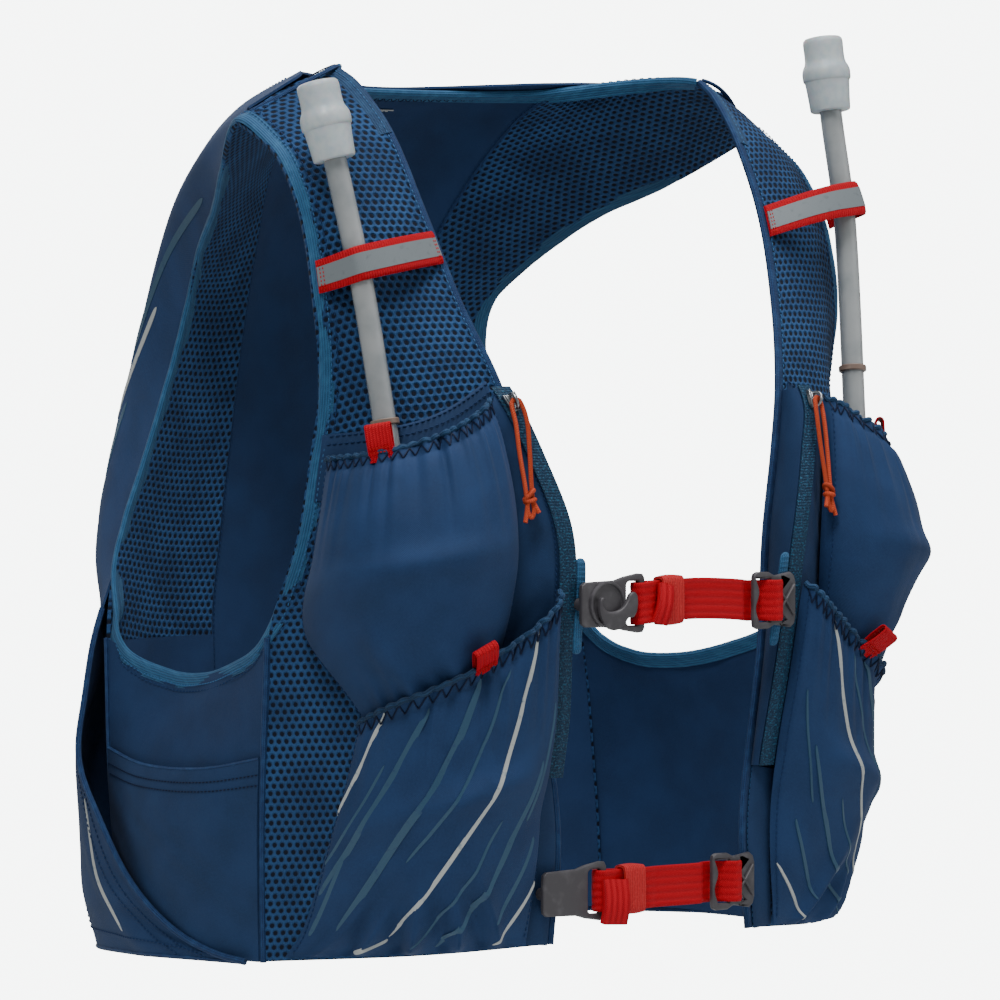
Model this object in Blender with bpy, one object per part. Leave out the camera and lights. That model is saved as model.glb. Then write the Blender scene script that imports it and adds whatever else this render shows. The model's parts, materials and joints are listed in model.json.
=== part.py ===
"""A running hydration vest with two front flasks, as separate sewn and moulded pieces.

Metres, +Z up. The wearer faces -Y, and the wearer's right is -X. The origin is midway
between the shoulder straps, at the level that rests on the shoulders.
"""

import math
from collections import namedtuple

import bpy
import numpy as np
from mathutils import Matrix, Vector

# Body of the vest
VEST_HEIGHT = 0.442  # hem to the neck end of the shoulder line
HALF_WIDTH = 0.170  # centre to the outer end of a shoulder
FRONT_DEPTH = 0.130  # wearer's middle to the front edges
BACK_DEPTH = 0.145  # wearer's middle to the back lining
SEAT_SHARE = 0.962  # of the height, where the straps rest on the shoulders

# Cloth and trim
MESH_THICK = 0.0022
WOVEN_THICK = 0.0012
LAYER_GAP = 0.0005
SEAM_GAP = 0.0004
BINDING_WIDTH = 0.0080
BINDING_THICK = 0.0034
EDGE_BINDING_WIDTH = 0.0055
ZIP_WIDTH = 0.0100
ZIP_THICK = 0.0020
TAB_WIDTH = 0.0125
TAB_THICK = 0.0024
TAB_LENGTH = 0.0110

# Pockets
FLASK_BULGE = 0.039  # how far a full flask pocket stands off the front
LOWER_BULGE = 0.020
SHELL_BULGE = 0.036  # how far the back shell stands off the lining
MOUTH_GATHERS = 5  # folds that the elastic draws along a flask pocket's mouth
GATHER_DEPTH = 0.0022
LOWER_GATHERS = 5

# Flask, straw and bite valve
STRAW_RADIUS = 0.0056
STRAW_BORE = 0.0038
FLASK_CLEARANCE = 0.0027
VALVE_LENGTH = 0.038
VALVE_RADIUS = 0.0118
FIT_GAP = 0.0004
KEEPER_WIDTH = 0.0165
KEEPER_THICK = 0.0016

# Chest and waist straps
WEBBING_WIDTH = 0.0200
WEBBING_THICK = 0.0020
SLEEVE_LENGTH = 0.0130
SLEEVE_THICK = 0.0012
BUCKLE_THICK = 0.0030
BAR_WIDTH = 0.0040
BUCKLE_RIM = 0.0032
STRAP_STANDOFF = 0.0052  # buckles' middle plane in front of the tape they clip over
WEBBING_ARCH = 0.0040  # how far the chest webbing bows up
BOSS_RADIUS = 0.0110
FOOT_RADIUS, FOOT_GAP = 0.0030, 0.0008
CORD_RADIUS = 0.0011
CORD_DROP = 0.050
SLIDER_LENGTH = 0.0095
SLIDER_WIDTH = 0.0070
SLIDER_THICK = 0.0042
RAIL_WIDTH = 0.0060
RAIL_THICK = 0.0026
RAIL_LENGTH = 0.046
RAIL_RISE = 0.004  # by which the rail's middle sits above the chest strap, in v
COLLAR_RADIUS = 0.0066
COLLAR_HEIGHT = 0.0060
VALVE_SOCKET = 0.0200
WINDOW = 0.0078  # width of a buckle's window
HOOK_BAR, LADDER_START = -0.43, 0.56  # bars, as shares of half the strap
CORD_LEAN = 0.17  # how far forward the zip cord hangs for each unit that it drops

RIDGE_GAP = 0.0046  # between front and back cloth along the shoulder line
SIDE_SEAM_GAP = 0.0017  # cloth's distance from a side seam, where thick edges meet
CHORD_SPARE = 0.0018  # for the straight sides between a curved edge's points
TAPE_RISE = LAYER_GAP + 0.0012 + LAYER_GAP  # zip tape's underside above its line
FACING_TUCK = 0.0030  # by which the facing runs in under the tape
SIDE_BULGE = 0.0030
STRIP_THICK = 0.0012
HOOK_PLATE = 0.0210
TAPE_END = 0.0020  # by which the strip below the zip is wider than its tape

RIGHT, LEFT = -1, 1
SIDE_NAMES = {RIGHT: "right", LEFT: "left"}

# Levels of the cloth's grid, as shares of the front's and back's length
FRONT_LEVELS = (0.0, 0.10, 0.20, 0.29, 0.345, 0.372, 0.42, 0.48, 0.54, 0.60)
FRONT_LEVELS += (0.66, 0.72, 0.78, 0.84, 0.89, 0.93, 0.965, 1.0)
BACK_LEVELS = (0.0, 0.09, 0.18, 0.27, 0.34, 0.372, 0.42, 0.49, 0.56, 0.64)
BACK_LEVELS += (0.72, 0.79, 0.86, 0.91, 0.955, 1.0)
ARMHOLE_POINTS = 34
NECK_END = 0.68  # u of the neck end of the shoulder line

# Sections of one front half, hem to shoulder line. at and the heights are shares of
# VEST_HEIGHT, x shares of HALF_WIDTH, y shares of FRONT_DEPTH.
FrontRow = namedtuple(
    "FrontRow", "at inner_x inner_y inner_h mid_x mid_y mid_h outer_x outer_y outer_h"
)
FRONT_ROWS = (
    FrontRow(0.00, 0.368, -0.915, 0.044, 0.74, -0.73, 0.036, 0.97, -0.19, 0.023),
    FrontRow(0.17, 0.342, -0.915, 0.170, 0.765, -0.81, 0.170, 0.99, -0.22, 0.170),
    FrontRow(0.36, 0.415, -0.910, 0.360, 0.78, -0.83, 0.362, 1.00, -0.26, 0.372),
    FrontRow(0.48, 0.435, -0.908, 0.480, 0.78, -0.84, 0.484, 1.00, -0.43, 0.484),
    FrontRow(0.58, 0.482, -0.892, 0.580, 0.78, -0.82, 0.580, 0.98, -0.48, 0.578),
    FrontRow(0.65, 0.522, -0.860, 0.650, 0.79, -0.76, 0.648, 0.97, -0.51, 0.645),
    FrontRow(0.74, 0.590, -0.740, 0.740, 0.81, -0.68, 0.738, 1.00, -0.53, 0.735),
    FrontRow(0.84, 0.635, -0.600, 0.840, 0.84, -0.56, 0.838, 1.005, -0.46, 0.832),
    FrontRow(0.93, 0.655, -0.430, 0.930, 0.84, -0.39, 0.920, 1.00, -0.31, 0.898),
    FrontRow(0.97, 0.675, -0.275, 0.980, 0.84, -0.230, 0.958, 0.995, -0.160, 0.924),
    FrontRow(1.00, 0.690, -0.166, 1.000, 0.84, -0.100, 0.977, 0.99, -0.040, 0.938),
)

# Sections of the right half of the back lining, hem to neckline and shoulder line. The
# four points run from the spine to the armhole edge; y is a share of BACK_DEPTH.
BackRow = namedtuple(
    "BackRow", "at spine_y spine_h near_x near_y near_h far_x far_y far_h edge_x edge_y edge_h"
)
BACK_ROWS = (
    BackRow(0.00, 0.87, 0.000, 0.33, 0.86, 0.001, 0.66, 0.83, 0.006, 0.92, 0.66, 0.024),
    BackRow(0.18, 0.93, 0.180, 0.34, 0.93, 0.180, 0.67, 0.89, 0.180, 0.94, 0.73, 0.180),
    BackRow(0.37, 0.98, 0.370, 0.33, 0.97, 0.370, 0.64, 0.93, 0.370, 0.92, 0.80, 0.370),
    BackRow(0.48, 1.00, 0.480, 0.28, 0.99, 0.480, 0.56, 0.96, 0.480, 0.83, 0.87, 0.480),
    BackRow(0.59, 1.01, 0.590, 0.24, 1.00, 0.590, 0.47, 0.97, 0.590, 0.70, 0.90, 0.590),
    BackRow(0.72, 0.98, 0.715, 0.22, 0.97, 0.717, 0.41, 0.94, 0.720, 0.59, 0.88, 0.724),
    BackRow(0.80, 0.92, 0.815, 0.24, 0.88, 0.810, 0.47, 0.79, 0.800, 0.66, 0.70, 0.793),
    BackRow(0.88, 0.81, 0.905, 0.30, 0.75, 0.895, 0.56, 0.54, 0.880, 0.76, 0.44, 0.850),
    BackRow(0.95, 0.69, 0.962, 0.36, 0.58, 0.958, 0.63, 0.22, 0.948, 0.89, 0.20, 0.890),
    BackRow(0.98, 0.635, 0.977, 0.40, 0.48, 0.978, 0.665, -0.01, 0.990, 0.960, 0.055, 0.920),
    BackRow(1.00, 0.60, 0.985, 0.42, 0.42, 0.988, 0.690, -0.15, 1.000, 0.99, -0.036, 0.938),
)

# Sections of a side panel, hem to armhole: front seam, two points between, back seam.
SideRow = namedtuple("SideRow", "at fore_x fore_y fore_h rear_x rear_y rear_h")
SIDE_ROWS = (
    SideRow(0.0, 1.010, 0.080, 0.024, 1.010, 0.370, 0.024),
    SideRow(0.5, 1.020, 0.100, 0.176, 1.010, 0.420, 0.176),
    SideRow(1.0, 0.950, 0.080, 0.343, 0.900, 0.440, 0.332),
)
ARMHOLE_FOOT_FRONT = 0.372  # of VEST_HEIGHT
ARMHOLE_FOOT_BACK = 0.370

# The free lower part of the back shell, hem to armhole foot: its lip at the side mouth,
# two points between and the spine. x and y are shares of HALF_WIDTH and BACK_DEPTH.
LipRow = namedtuple(
    "LipRow", "at lip_x lip_y lip_h far_x far_y far_h near_x near_y near_h spine_y spine_h"
)
LIP_ROWS = (
    LipRow(0.000, 1.012, -0.14, 0.024, 1.045, 0.38, 0.021, 0.80, 0.97, 0.012, 0.975, 0.000),
    LipRow(0.060, 1.050, 0.15, 0.045, 1.040, 0.59, 0.068, 0.80, 1.02, 0.072, 1.045, 0.070),
    LipRow(0.120, 1.065, 0.41, 0.100, 1.015, 0.74, 0.118, 0.77, 1.05, 0.125, 1.100, 0.125),
    LipRow(0.190, 1.075, 0.59, 0.170, 0.995, 0.83, 0.185, 0.74, 1.08, 0.192, 1.150, 0.192),
    LipRow(0.260, 1.040, 0.75, 0.226, 0.955, 0.89, 0.253, 0.72, 1.10, 0.267, 1.185, 0.267),
    LipRow(0.320, 0.995, 0.80, 0.290, 0.895, 0.90, 0.310, 0.70, 1.10, 0.324, 1.195, 0.324),
    LipRow(0.378, 0.935, 0.825, 0.370, 0.855, 0.91, 0.375, 0.67, 1.11, 0.380, 1.210, 0.380),
)

# How far the upper part of the shell stands off the back, as shares of SHELL_BULGE.
ShellRow = namedtuple("ShellRow", "at edge far near spine")
SHELL_ROWS = (
    ShellRow(0.46, 0.05, 0.84, 1.00, 1.02),
    ShellRow(0.57, 0.08, 1.10, 1.06, 1.04),
    ShellRow(0.68, 0.08, 1.12, 1.08, 1.06),
    ShellRow(0.78, 0.07, 0.92, 1.00, 1.00),
    ShellRow(0.87, 0.06, 0.66, 0.72, 0.78),
    ShellRow(0.94, 0.06, 0.46, 0.44, 0.44),
    ShellRow(1.00, 0.06, 0.08, 0.08, 0.08),
)

# The raised line that the zip follows: how far it stands off the front, and where the
# tape's inner side lies from the front edge. Both are in metres.
RidgeRow = namedtuple("RidgeRow", "at lift start")
RIDGE_ROWS = (
    RidgeRow(0.000, 0.0010, 0.0065),
    RidgeRow(0.180, 0.0010, 0.0050),
    RidgeRow(0.240, 0.0055, 0.0010),
    RidgeRow(0.300, 0.0110, -0.0035),
    RidgeRow(0.370, 0.0155, -0.0060),
    RidgeRow(0.490, 0.0215, -0.0060),
    RidgeRow(0.580, 0.0160, -0.0005),
    RidgeRow(0.625, 0.0120, 0.0020),
    RidgeRow(0.665, 0.0020, 0.0025),
)

# A pocket on the front surface, foot to mouth. u runs from the zip tape (0) to the side
# (1), v is a share of the front's length, and full a share of the bulge.
PocketRow = namedtuple("PocketRow", "at inner_u inner_v outer_u outer_v full")
FLASK_POCKET_ROWS = (
    PocketRow(0.00, 0.36, 0.235, 0.60, 0.215, 0.02),
    PocketRow(0.12, 0.32, 0.285, 0.67, 0.262, 0.22),
    PocketRow(0.24, 0.28, 0.335, 0.75, 0.305, 0.48),
    PocketRow(0.42, 0.23, 0.410, 0.89, 0.375, 0.86),
    PocketRow(0.68, 0.20, 0.510, 0.92, 0.465, 1.00),
    PocketRow(0.88, 0.14, 0.590, 0.92, 0.535, 0.80),
    PocketRow(1.00, 0.10, 0.628, 0.92, 0.572, 0.58),
)
LOWER_POCKET_ROWS = (
    PocketRow(0.00, 0.012, 0.006, 0.93, 0.006, 0.03),
    PocketRow(0.12, 0.012, 0.055, 0.88, 0.035, 0.45),
    PocketRow(0.35, 0.012, 0.150, 0.83, 0.105, 0.90),
    PocketRow(0.65, 0.012, 0.280, 0.79, 0.185, 1.00),
    PocketRow(0.88, 0.012, 0.385, 0.755, 0.250, 1.00),
    PocketRow(1.00, 0.012, 0.430, 0.735, 0.285, 1.00),
)
FACING_EDGE = 0.46  # u where the zip facing ends, under the flask pocket
FACING_TOP = 0.560  # v where its outer edge ends
FLASK_CROWN, LOWER_CROWN = 0.55, 0.50  # how square a pocket is across: less is fuller
NEAR = 0.0045  # the reach within which one pocket lifts the other
POCKET_CLEARANCE = 0.0012
MOUTH_SAG = 0.016  # how far a flask pocket's mouth dips below a straight line, in v

# Where things sit on the front, as shares of its length or of VEST_HEIGHT.
ZIP_FOOT, ZIP_HEAD = 0.230, 0.645
CHEST_LEVEL, WAIST_LEVEL = 0.409, 0.080
WAIST_SHIFT = (-0.006, -0.007)  # of the waist strap's two ends, to the wearer's right
WAIST_DROPS = (0.0008, 0.0002)  # how much further the waist buckles' studs reach
SLIDER_LEVEL = 0.628
SIDE_MOUTH = 0.66  # of the side panel's height

# Straws, foot to bite valve: x is a share of HALF_WIDTH, y of FRONT_DEPTH.
StrawRow = namedtuple("StrawRow", "x y h")
STRAW_ROWS = {
    RIGHT: (
        StrawRow(0.878, -0.776, 0.577),
        StrawRow(0.907, -0.668, 0.752),
        StrawRow(0.926, -0.575, 0.860),
        StrawRow(0.950, -0.520, 0.935),
    ),
    LEFT: (
        StrawRow(0.890, -0.786, 0.577),
        StrawRow(0.956, -0.630, 0.836),
        StrawRow(0.960, -0.550, 0.950),
        StrawRow(0.958, -0.520, 1.006),
    ),
}
KeeperRow = namedtuple("KeeperRow", "neck armhole")
KEEPERS = {RIGHT: KeeperRow(0.798, 0.770), LEFT: KeeperRow(0.833, 0.850)}  # in v
TabRow = namedtuple("TabRow", "s t")
FLASK_TAB, LOWER_TAB = TabRow(0.66, 1.0), TabRow(0.52, 1.0)
LOWER_TAB_LEAN = 1.00  # outward for each unit upward, over the flask pocket's bulge

MATERIALS = {
    "navy_woven": (0.030, 0.070, 0.190, 0.75, 0.0),
    "navy_mesh": (0.035, 0.095, 0.230, 0.85, 0.0),
    "blue_binding": (0.040, 0.150, 0.330, 0.80, 0.0),
    "teal_zip": (0.030, 0.110, 0.210, 0.70, 0.0),
    "red_webbing": (0.720, 0.020, 0.020, 0.70, 0.0),
    "coral_elastic": (0.850, 0.110, 0.090, 0.80, 0.0),
    "grey_plastic": (0.110, 0.110, 0.120, 0.50, 0.0),
    "steel": (0.600, 0.590, 0.570, 0.25, 1.0),
    "orange_cord": (0.900, 0.170, 0.060, 0.75, 0.0),
    "clear_tube": (0.480, 0.490, 0.500, 0.30, 0.0),
    "clear_valve": (0.620, 0.720, 0.780, 0.35, 0.0),
}


def clear_scene():
    for obj in list(bpy.data.objects):
        bpy.data.objects.remove(obj)


def material(name):
    found = bpy.data.materials.get(name)
    if found:
        return found
    red, green, blue, roughness, metallic = MATERIALS[name]
    made = bpy.data.materials.new(name)
    made.use_nodes = True
    shader = made.node_tree.nodes["Principled BSDF"]
    shader.inputs["Base Color"].default_value = (red, green, blue, 1)
    shader.inputs["Roughness"].default_value = roughness
    shader.inputs["Metallic"].default_value = metallic
    return made


def weights(knots, at):
    """Rows of weights that give a smooth curve through values at the knots."""
    knots, at = np.asarray(knots, float), np.atleast_1d(np.asarray(at, float))
    count = len(knots)
    slopes = np.zeros((count, count))
    for i in range(count):
        low, high = max(i - 1, 0), min(i + 1, count - 1)
        slopes[i, high] += 1 / (knots[high] - knots[low])
        slopes[i, low] -= 1 / (knots[high] - knots[low])
    k = np.clip(np.searchsorted(knots, at, side="right") - 1, 0, count - 2)
    span = knots[k + 1] - knots[k]
    t = (at - knots[k]) / span
    points = np.zeros((len(at), count))
    rows = np.arange(len(at))
    points[rows, k] += 2 * t**3 - 3 * t**2 + 1
    points[rows, k + 1] += 3 * t**2 - 2 * t**3
    points += ((t**3 - 2 * t**2 + t) * span)[:, None] * slopes[k]
    points += ((t**3 - t**2) * span)[:, None] * slopes[k + 1]
    return points


def curve_through(points, count, closed=False):
    """count points along a smooth curve through a few points, evenly spaced."""
    points = np.asarray(points, float)
    if closed:
        points = np.vstack([points[-2:], points, points[:3]])
    steps = np.linalg.norm(np.diff(points, axis=0), axis=1)
    knots = np.concatenate([[0], np.cumsum(steps)])
    first, last = (knots[2], knots[-3]) if closed else (0, knots[-1])
    fine = np.linspace(first, last, 16 * count)
    line = weights(knots, fine) @ points
    along = np.concatenate([[0], np.cumsum(np.linalg.norm(np.diff(line, axis=0), axis=1))])
    at = np.linspace(0, along[-1], count + 1)[:-1] if closed else np.linspace(0, along[-1], count)
    return np.stack([np.interp(at, along, line[:, axis]) for axis in range(3)], axis=1)


class Surface:
    """A smooth sheet of cloth through a grid of points: u across, v up, facing out."""

    STEP = 1e-3

    def __init__(self, across, up, grid, turn):
        self.across, self.up, self.grid, self.turn = across, up, np.asarray(grid, float), turn

    def point(self, u, v):
        u, v = np.broadcast_arrays(np.asarray(u, float), np.asarray(v, float))
        wide, tall = weights(self.across, u.ravel()), weights(self.up, v.ravel())
        return np.einsum("mi,mj,ijk->mk", tall, wide, self.grid).reshape(*u.shape, 3)

    def normal(self, u, v):
        u, v = np.broadcast_arrays(np.asarray(u, float), np.asarray(v, float))
        wide = self.point(u + self.STEP, v) - self.point(u - self.STEP, v)
        tall = self.point(u, v + self.STEP) - self.point(u, v - self.STEP)
        out = self.turn * np.cross(wide, tall)
        return out / np.linalg.norm(out, axis=-1, keepdims=True)

    def lifted(self, u, v, height):
        """Points that stand off the sheet by a height."""
        return self.point(u, v) + self.normal(u, v) * np.asarray(height)[..., None]

    def width(self, v):
        """The sheet's width at a height."""
        line = self.point(np.linspace(self.across[0], self.across[-1], 24), v)
        return np.linalg.norm(np.diff(line, axis=0), axis=1).sum()


def placed(x, y, h, depth, side):
    return (side * x * HALF_WIDTH, y * depth, (h - SEAT_SHARE) * VEST_HEIGHT)


def front_surface(side):
    grid = [
        [
            placed(row.inner_x, row.inner_y, row.inner_h, FRONT_DEPTH, side),
            placed(row.mid_x, row.mid_y, row.mid_h, FRONT_DEPTH, side),
            placed(row.outer_x, row.outer_y, row.outer_h, FRONT_DEPTH, side),
        ]
        for row in FRONT_ROWS
    ]
    return Surface((0.0, 0.55, 1.0), [row.at for row in FRONT_ROWS], grid, side)


def back_surface():
    grid = []
    for row in BACK_ROWS:
        half = [
            (row.edge_x, row.edge_y, row.edge_h),
            (row.far_x, row.far_y, row.far_h),
            (row.near_x, row.near_y, row.near_h),
        ]
        right = [placed(*point, BACK_DEPTH, RIGHT) for point in half]
        left = [placed(*point, BACK_DEPTH, LEFT) for point in half]
        spine = placed(0, row.spine_y, row.spine_h, BACK_DEPTH, LEFT)
        grid.append([*right, spine, *left[::-1]])
    across = (-1.0, -0.68, -0.34, 0.0, 0.34, 0.68, 1.0)
    return Surface(across, [row.at for row in BACK_ROWS], grid, -1)


def side_surface(side):
    front, back = front_surface(side), back_surface()
    grid = []
    for row in SIDE_ROWS:
        seam = front.point(1.0, row.at * ARMHOLE_FOOT_FRONT)
        spine = back.point(float(side), row.at * ARMHOLE_FOOT_BACK)
        fore = placed(row.fore_x, row.fore_y, row.fore_h, BACK_DEPTH, side)
        rear = placed(row.rear_x, row.rear_y, row.rear_h, BACK_DEPTH, side)
        grid.append([seam, fore, rear, spine])
    return Surface((0.0, 0.33, 0.68, 1.0), [row.at for row in SIDE_ROWS], grid, side)


def shell_surface():
    """The outer back: fuller than the lining, and free at its two side mouths."""
    back = back_surface()
    across = (-1.0, -0.86, -0.50, 0.0, 0.50, 0.86, 1.0)
    ups, grid = [], []
    for row in LIP_ROWS:
        half = [
            (row.lip_x, row.lip_y, row.lip_h),
            (row.far_x, row.far_y, row.far_h),
            (row.near_x, row.near_y, row.near_h),
        ]
        right = [placed(*point, BACK_DEPTH, RIGHT) for point in half]
        left = [placed(*point, BACK_DEPTH, LEFT) for point in half]
        spine = placed(0, row.spine_y, row.spine_h, BACK_DEPTH, LEFT)
        grid.append([*right, spine, *left[::-1]])
        ups.append(row.at)
    for row in SHELL_ROWS:
        half = [row.edge, row.far, row.near]
        lift = LAYER_GAP + SHELL_BULGE * np.array([*half, row.spine, *half[::-1]])
        inward = back_edge(min(row.at, 0.97), LEFT, 0.0006)
        grid.append(back.lifted(np.array(across) * inward, row.at, lift))
        ups.append(row.at)
    return Surface(across, ups, grid, -1)


def finish_mesh(name, points, faces, finish, smooth_angle=50):
    """An object from points and faces, turned so that its faces point out."""
    points = np.asarray(points, float)
    volume = sum(
        np.dot(points[face[0]], np.cross(points[face[i]], points[face[i + 1]]))
        for face in faces
        for i in range(1, len(face) - 1)
    )
    if volume < 0:
        faces = [face[::-1] for face in faces]
    mesh = bpy.data.meshes.new(name)
    mesh.from_pydata([tuple(p) for p in points], [], [tuple(f) for f in faces])
    mesh.validate()
    mesh.materials.append(material(finish))
    mesh.shade_smooth()
    mesh.set_sharp_from_angle(angle=math.radians(smooth_angle))
    obj = bpy.data.objects.new(name, mesh)
    bpy.context.scene.collection.objects.link(obj)
    return obj


def slab(name, outer, inner, finish):
    """A closed sheet between two grids of points."""
    rows, columns = outer.shape[:2]
    points = np.vstack([outer.reshape(-1, 3), inner.reshape(-1, 3)])
    size = rows * columns

    def at(row, column):
        return row * columns + column

    faces = []
    for i in range(rows - 1):
        for j in range(columns - 1):
            quad = [at(i, j), at(i, j + 1), at(i + 1, j + 1), at(i + 1, j)]
            faces.append(quad)
            faces.append([size + k for k in quad[::-1]])
    rim = [at(0, j) for j in range(columns)]
    rim += [at(i, columns - 1) for i in range(1, rows)]
    rim += [at(rows - 1, j) for j in range(columns - 2, -1, -1)]
    rim += [at(i, 0) for i in range(rows - 2, 0, -1)]
    for k, a in enumerate(rim):
        b = rim[(k + 1) % len(rim)]
        faces.append([b, a, size + a, size + b])
    return finish_mesh(name, points, faces, finish)


def rings(name, loops, finish, closed=False, smooth_angle=50):
    """A closed body through loops of points, with flat ends or joined end to end."""
    loops = np.asarray(loops, float)
    count, sides = loops.shape[:2]
    faces = []
    for i in range(count if closed else count - 1):
        j = (i + 1) % count
        for k in range(sides):
            m = (k + 1) % sides
            faces.append([i * sides + k, i * sides + m, j * sides + m, j * sides + k])
    if not closed:
        faces.append(list(range(sides))[::-1])
        faces.append([(count - 1) * sides + k for k in range(sides)])
    return finish_mesh(name, loops.reshape(-1, 3), faces, finish, smooth_angle)


def tangents(line, closed=False):
    if closed:
        out = np.roll(line, -1, axis=0) - np.roll(line, 1, axis=0)
    else:
        out = np.gradient(line, axis=0)
    return out / np.linalg.norm(out, axis=1, keepdims=True)


def unit(vectors):
    return vectors / np.linalg.norm(vectors, axis=-1, keepdims=True)


def band(name, edge, normals, into, width, thick, base, finish, closed=False):
    """A bound edge: a flat strip with rounded faces, from the edge into the cloth."""
    along = tangents(edge, closed)
    across = unit(into - (into * along).sum(1, keepdims=True) * along)
    up = unit(np.cross(along, across))
    up *= np.sign((up * normals).sum(1, keepdims=True))
    low, high = base - thick / 2, base + thick / 2
    outline = (
        (0.0, base),
        (0.22 * width, high),
        (width, base + 0.3 * thick),
        (width, base - 0.3 * thick),
        (0.22 * width, low),
    )
    loops = [[p + a * x + n * z for x, z in outline] for p, a, n in zip(edge, across, up)]
    return rings(name, loops, finish, closed)


def smooth(share):
    share = np.clip(share, 0, 1)
    return share * share * (3 - 2 * share)


def line_of(rows, field, at):
    """A smooth value from one named column of a table."""
    return weights([row.at for row in rows], at) @ np.array([getattr(row, field) for row in rows])


def across_at(surface, v, distance):
    """u at a distance from the front edge, along the cloth."""
    share = np.linspace(0, 1, 60)
    line = surface.point(share, v)
    along = np.concatenate([[0], np.cumsum(np.linalg.norm(np.diff(line, axis=0), axis=1))])
    return float(np.interp(distance, along, share))


def dense(line, closed=False):
    """The line with points at most a millimetre apart."""
    ends = np.roll(line, -1, axis=0) if closed else line[1:]
    starts = line if closed else line[:-1]
    share = np.linspace(0, 1, 20, endpoint=False)[:, None]
    return np.vstack([a + (b - a) * share for a, b in zip(starts, ends)] + [line[-1:]])


def last_clear(at, start, end, keep_off):
    """The furthest value from start to end at which a point keeps off every line."""
    values = np.linspace(start, end, 160)
    points = at(values)
    clear = np.ones(len(values), bool)
    for line, margin in keep_off:
        near = np.linalg.norm(points[:, None] - line[None], axis=2).min(axis=1)
        clear &= near >= margin
    stop = len(values) if clear.all() else int(np.argmin(clear))
    return values[max(stop - 1, 0)]


def thicken(grid, thick, base_normals):
    """How far to move each point down its base normal for cloth of a thickness."""
    across = np.gradient(grid, axis=1)
    up = np.gradient(grid, axis=0)
    own = unit(np.cross(across, up))
    ratio = np.clip(np.abs((own * base_normals).sum(-1)), 0.34, 1.0)
    return thick / ratio


def armhole_parts(side):
    """Points, ways into the cloth and normals along the armhole's edge."""
    front, back, flank = front_surface(side), back_surface(), side_surface(side)
    fore_v = np.linspace(1.0, ARMHOLE_FOOT_FRONT, 11)[:-1]
    rear_v = np.linspace(ARMHOLE_FOOT_BACK, 1.0, 11)[1:-1]
    base_u = np.linspace(0.08, 0.92, 5)
    edge = [
        front.point(1.0, fore_v),
        flank.point(base_u, 1.0),
        back.point(float(side), rear_v),
    ]
    inner = [
        front.point(0.9, fore_v),
        flank.point(base_u, 0.9),
        back.point(0.9 * side, rear_v),
    ]
    normals = [
        front.normal(0.97, fore_v),
        flank.normal(base_u, 0.97),
        back.normal(0.97 * side, rear_v),
    ]
    edge = np.vstack(edge)
    return edge, unit(np.vstack(inner) - edge), np.vstack(normals)


def armhole_line(side):
    return curve_through(armhole_parts(side)[0], ARMHOLE_POINTS, closed=True)


def bound_armhole(side, spare=0.0):
    """The armhole's line and how far cloth stays off it."""
    margin = BINDING_WIDTH + SEAM_GAP + 0.0003 + spare
    return dense(armhole_line(side), closed=True), margin


def neck_line():
    return back_surface().point(np.linspace(-NECK_END, NECK_END, 17), 1.0)


def shoulder_line(side):
    return back_surface().point(np.linspace(NECK_END, 1.0, 12) * side, 1.0)


def make_front_mesh(side):
    """The mesh base of one front half, from the hem over the chest to the shoulder."""
    surface = front_surface(side)
    armhole = bound_armhole(side, CHORD_SPARE / 2)
    grid = []
    for v in FRONT_LEVELS:
        low = across_at(surface, v, EDGE_BINDING_WIDTH + SEAM_GAP)
        end = 1 - SIDE_SEAM_GAP / surface.width(v)
        high = last_clear(lambda u: surface.point(u, v), 0.7, end, [armhole])
        grid.append([(u, v) for u in np.linspace(low, high, 6)])
    grid = np.array(grid)
    shoulder = (dense(surface.point(np.linspace(0, 1, 12), 1.0)), RIDGE_GAP)
    for k, (u, v) in enumerate(grid[-1]):
        grid[-1][k][1] = last_clear(lambda v: surface.point(u, v), 0.975, 1.0, [shoulder])
    outer = surface.point(grid[..., 0], grid[..., 1])
    inner = surface.lifted(grid[..., 0], grid[..., 1], np.full(grid.shape[:2], -MESH_THICK))
    return slab(f"front_mesh_{SIDE_NAMES[side]}", outer, inner, "navy_mesh")


def back_top(u, spare=0.0):
    """v where the back's cloth ends: short of the neck binding or the shoulder line."""
    surface = back_surface()
    keep_off = [(dense(neck_line()), EDGE_BINDING_WIDTH + SEAM_GAP + CHORD_SPARE + spare)]
    keep_off += [(dense(shoulder_line(side)), RIDGE_GAP + spare) for side in (RIGHT, LEFT)]
    return np.array(
        [last_clear(lambda v: surface.point(one, v), 0.85, 1.0, keep_off) for one in u]
    )


def back_edge(v, side, spare=0.0):
    """u where the back's cloth ends beside the armhole or the side seam."""
    surface = back_surface()
    end = 1 - 2 * SIDE_SEAM_GAP / surface.width(v)
    keep_off = [bound_armhole(side, spare)]
    return last_clear(lambda u: surface.point(u, v), 0.55 * side, end * side, keep_off)


BackSeamRow = namedtuple("BackSeamRow", "at u")
BACK_SEAM_ROWS = (
    BackSeamRow(0.0, 0.44),
    BackSeamRow(0.3, 0.44),
    BackSeamRow(0.72, 0.50),
    BackSeamRow(1.0, 0.42),
)


def back_seam(v):
    return float(line_of(BACK_SEAM_ROWS, "u", v)[0])


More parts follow.
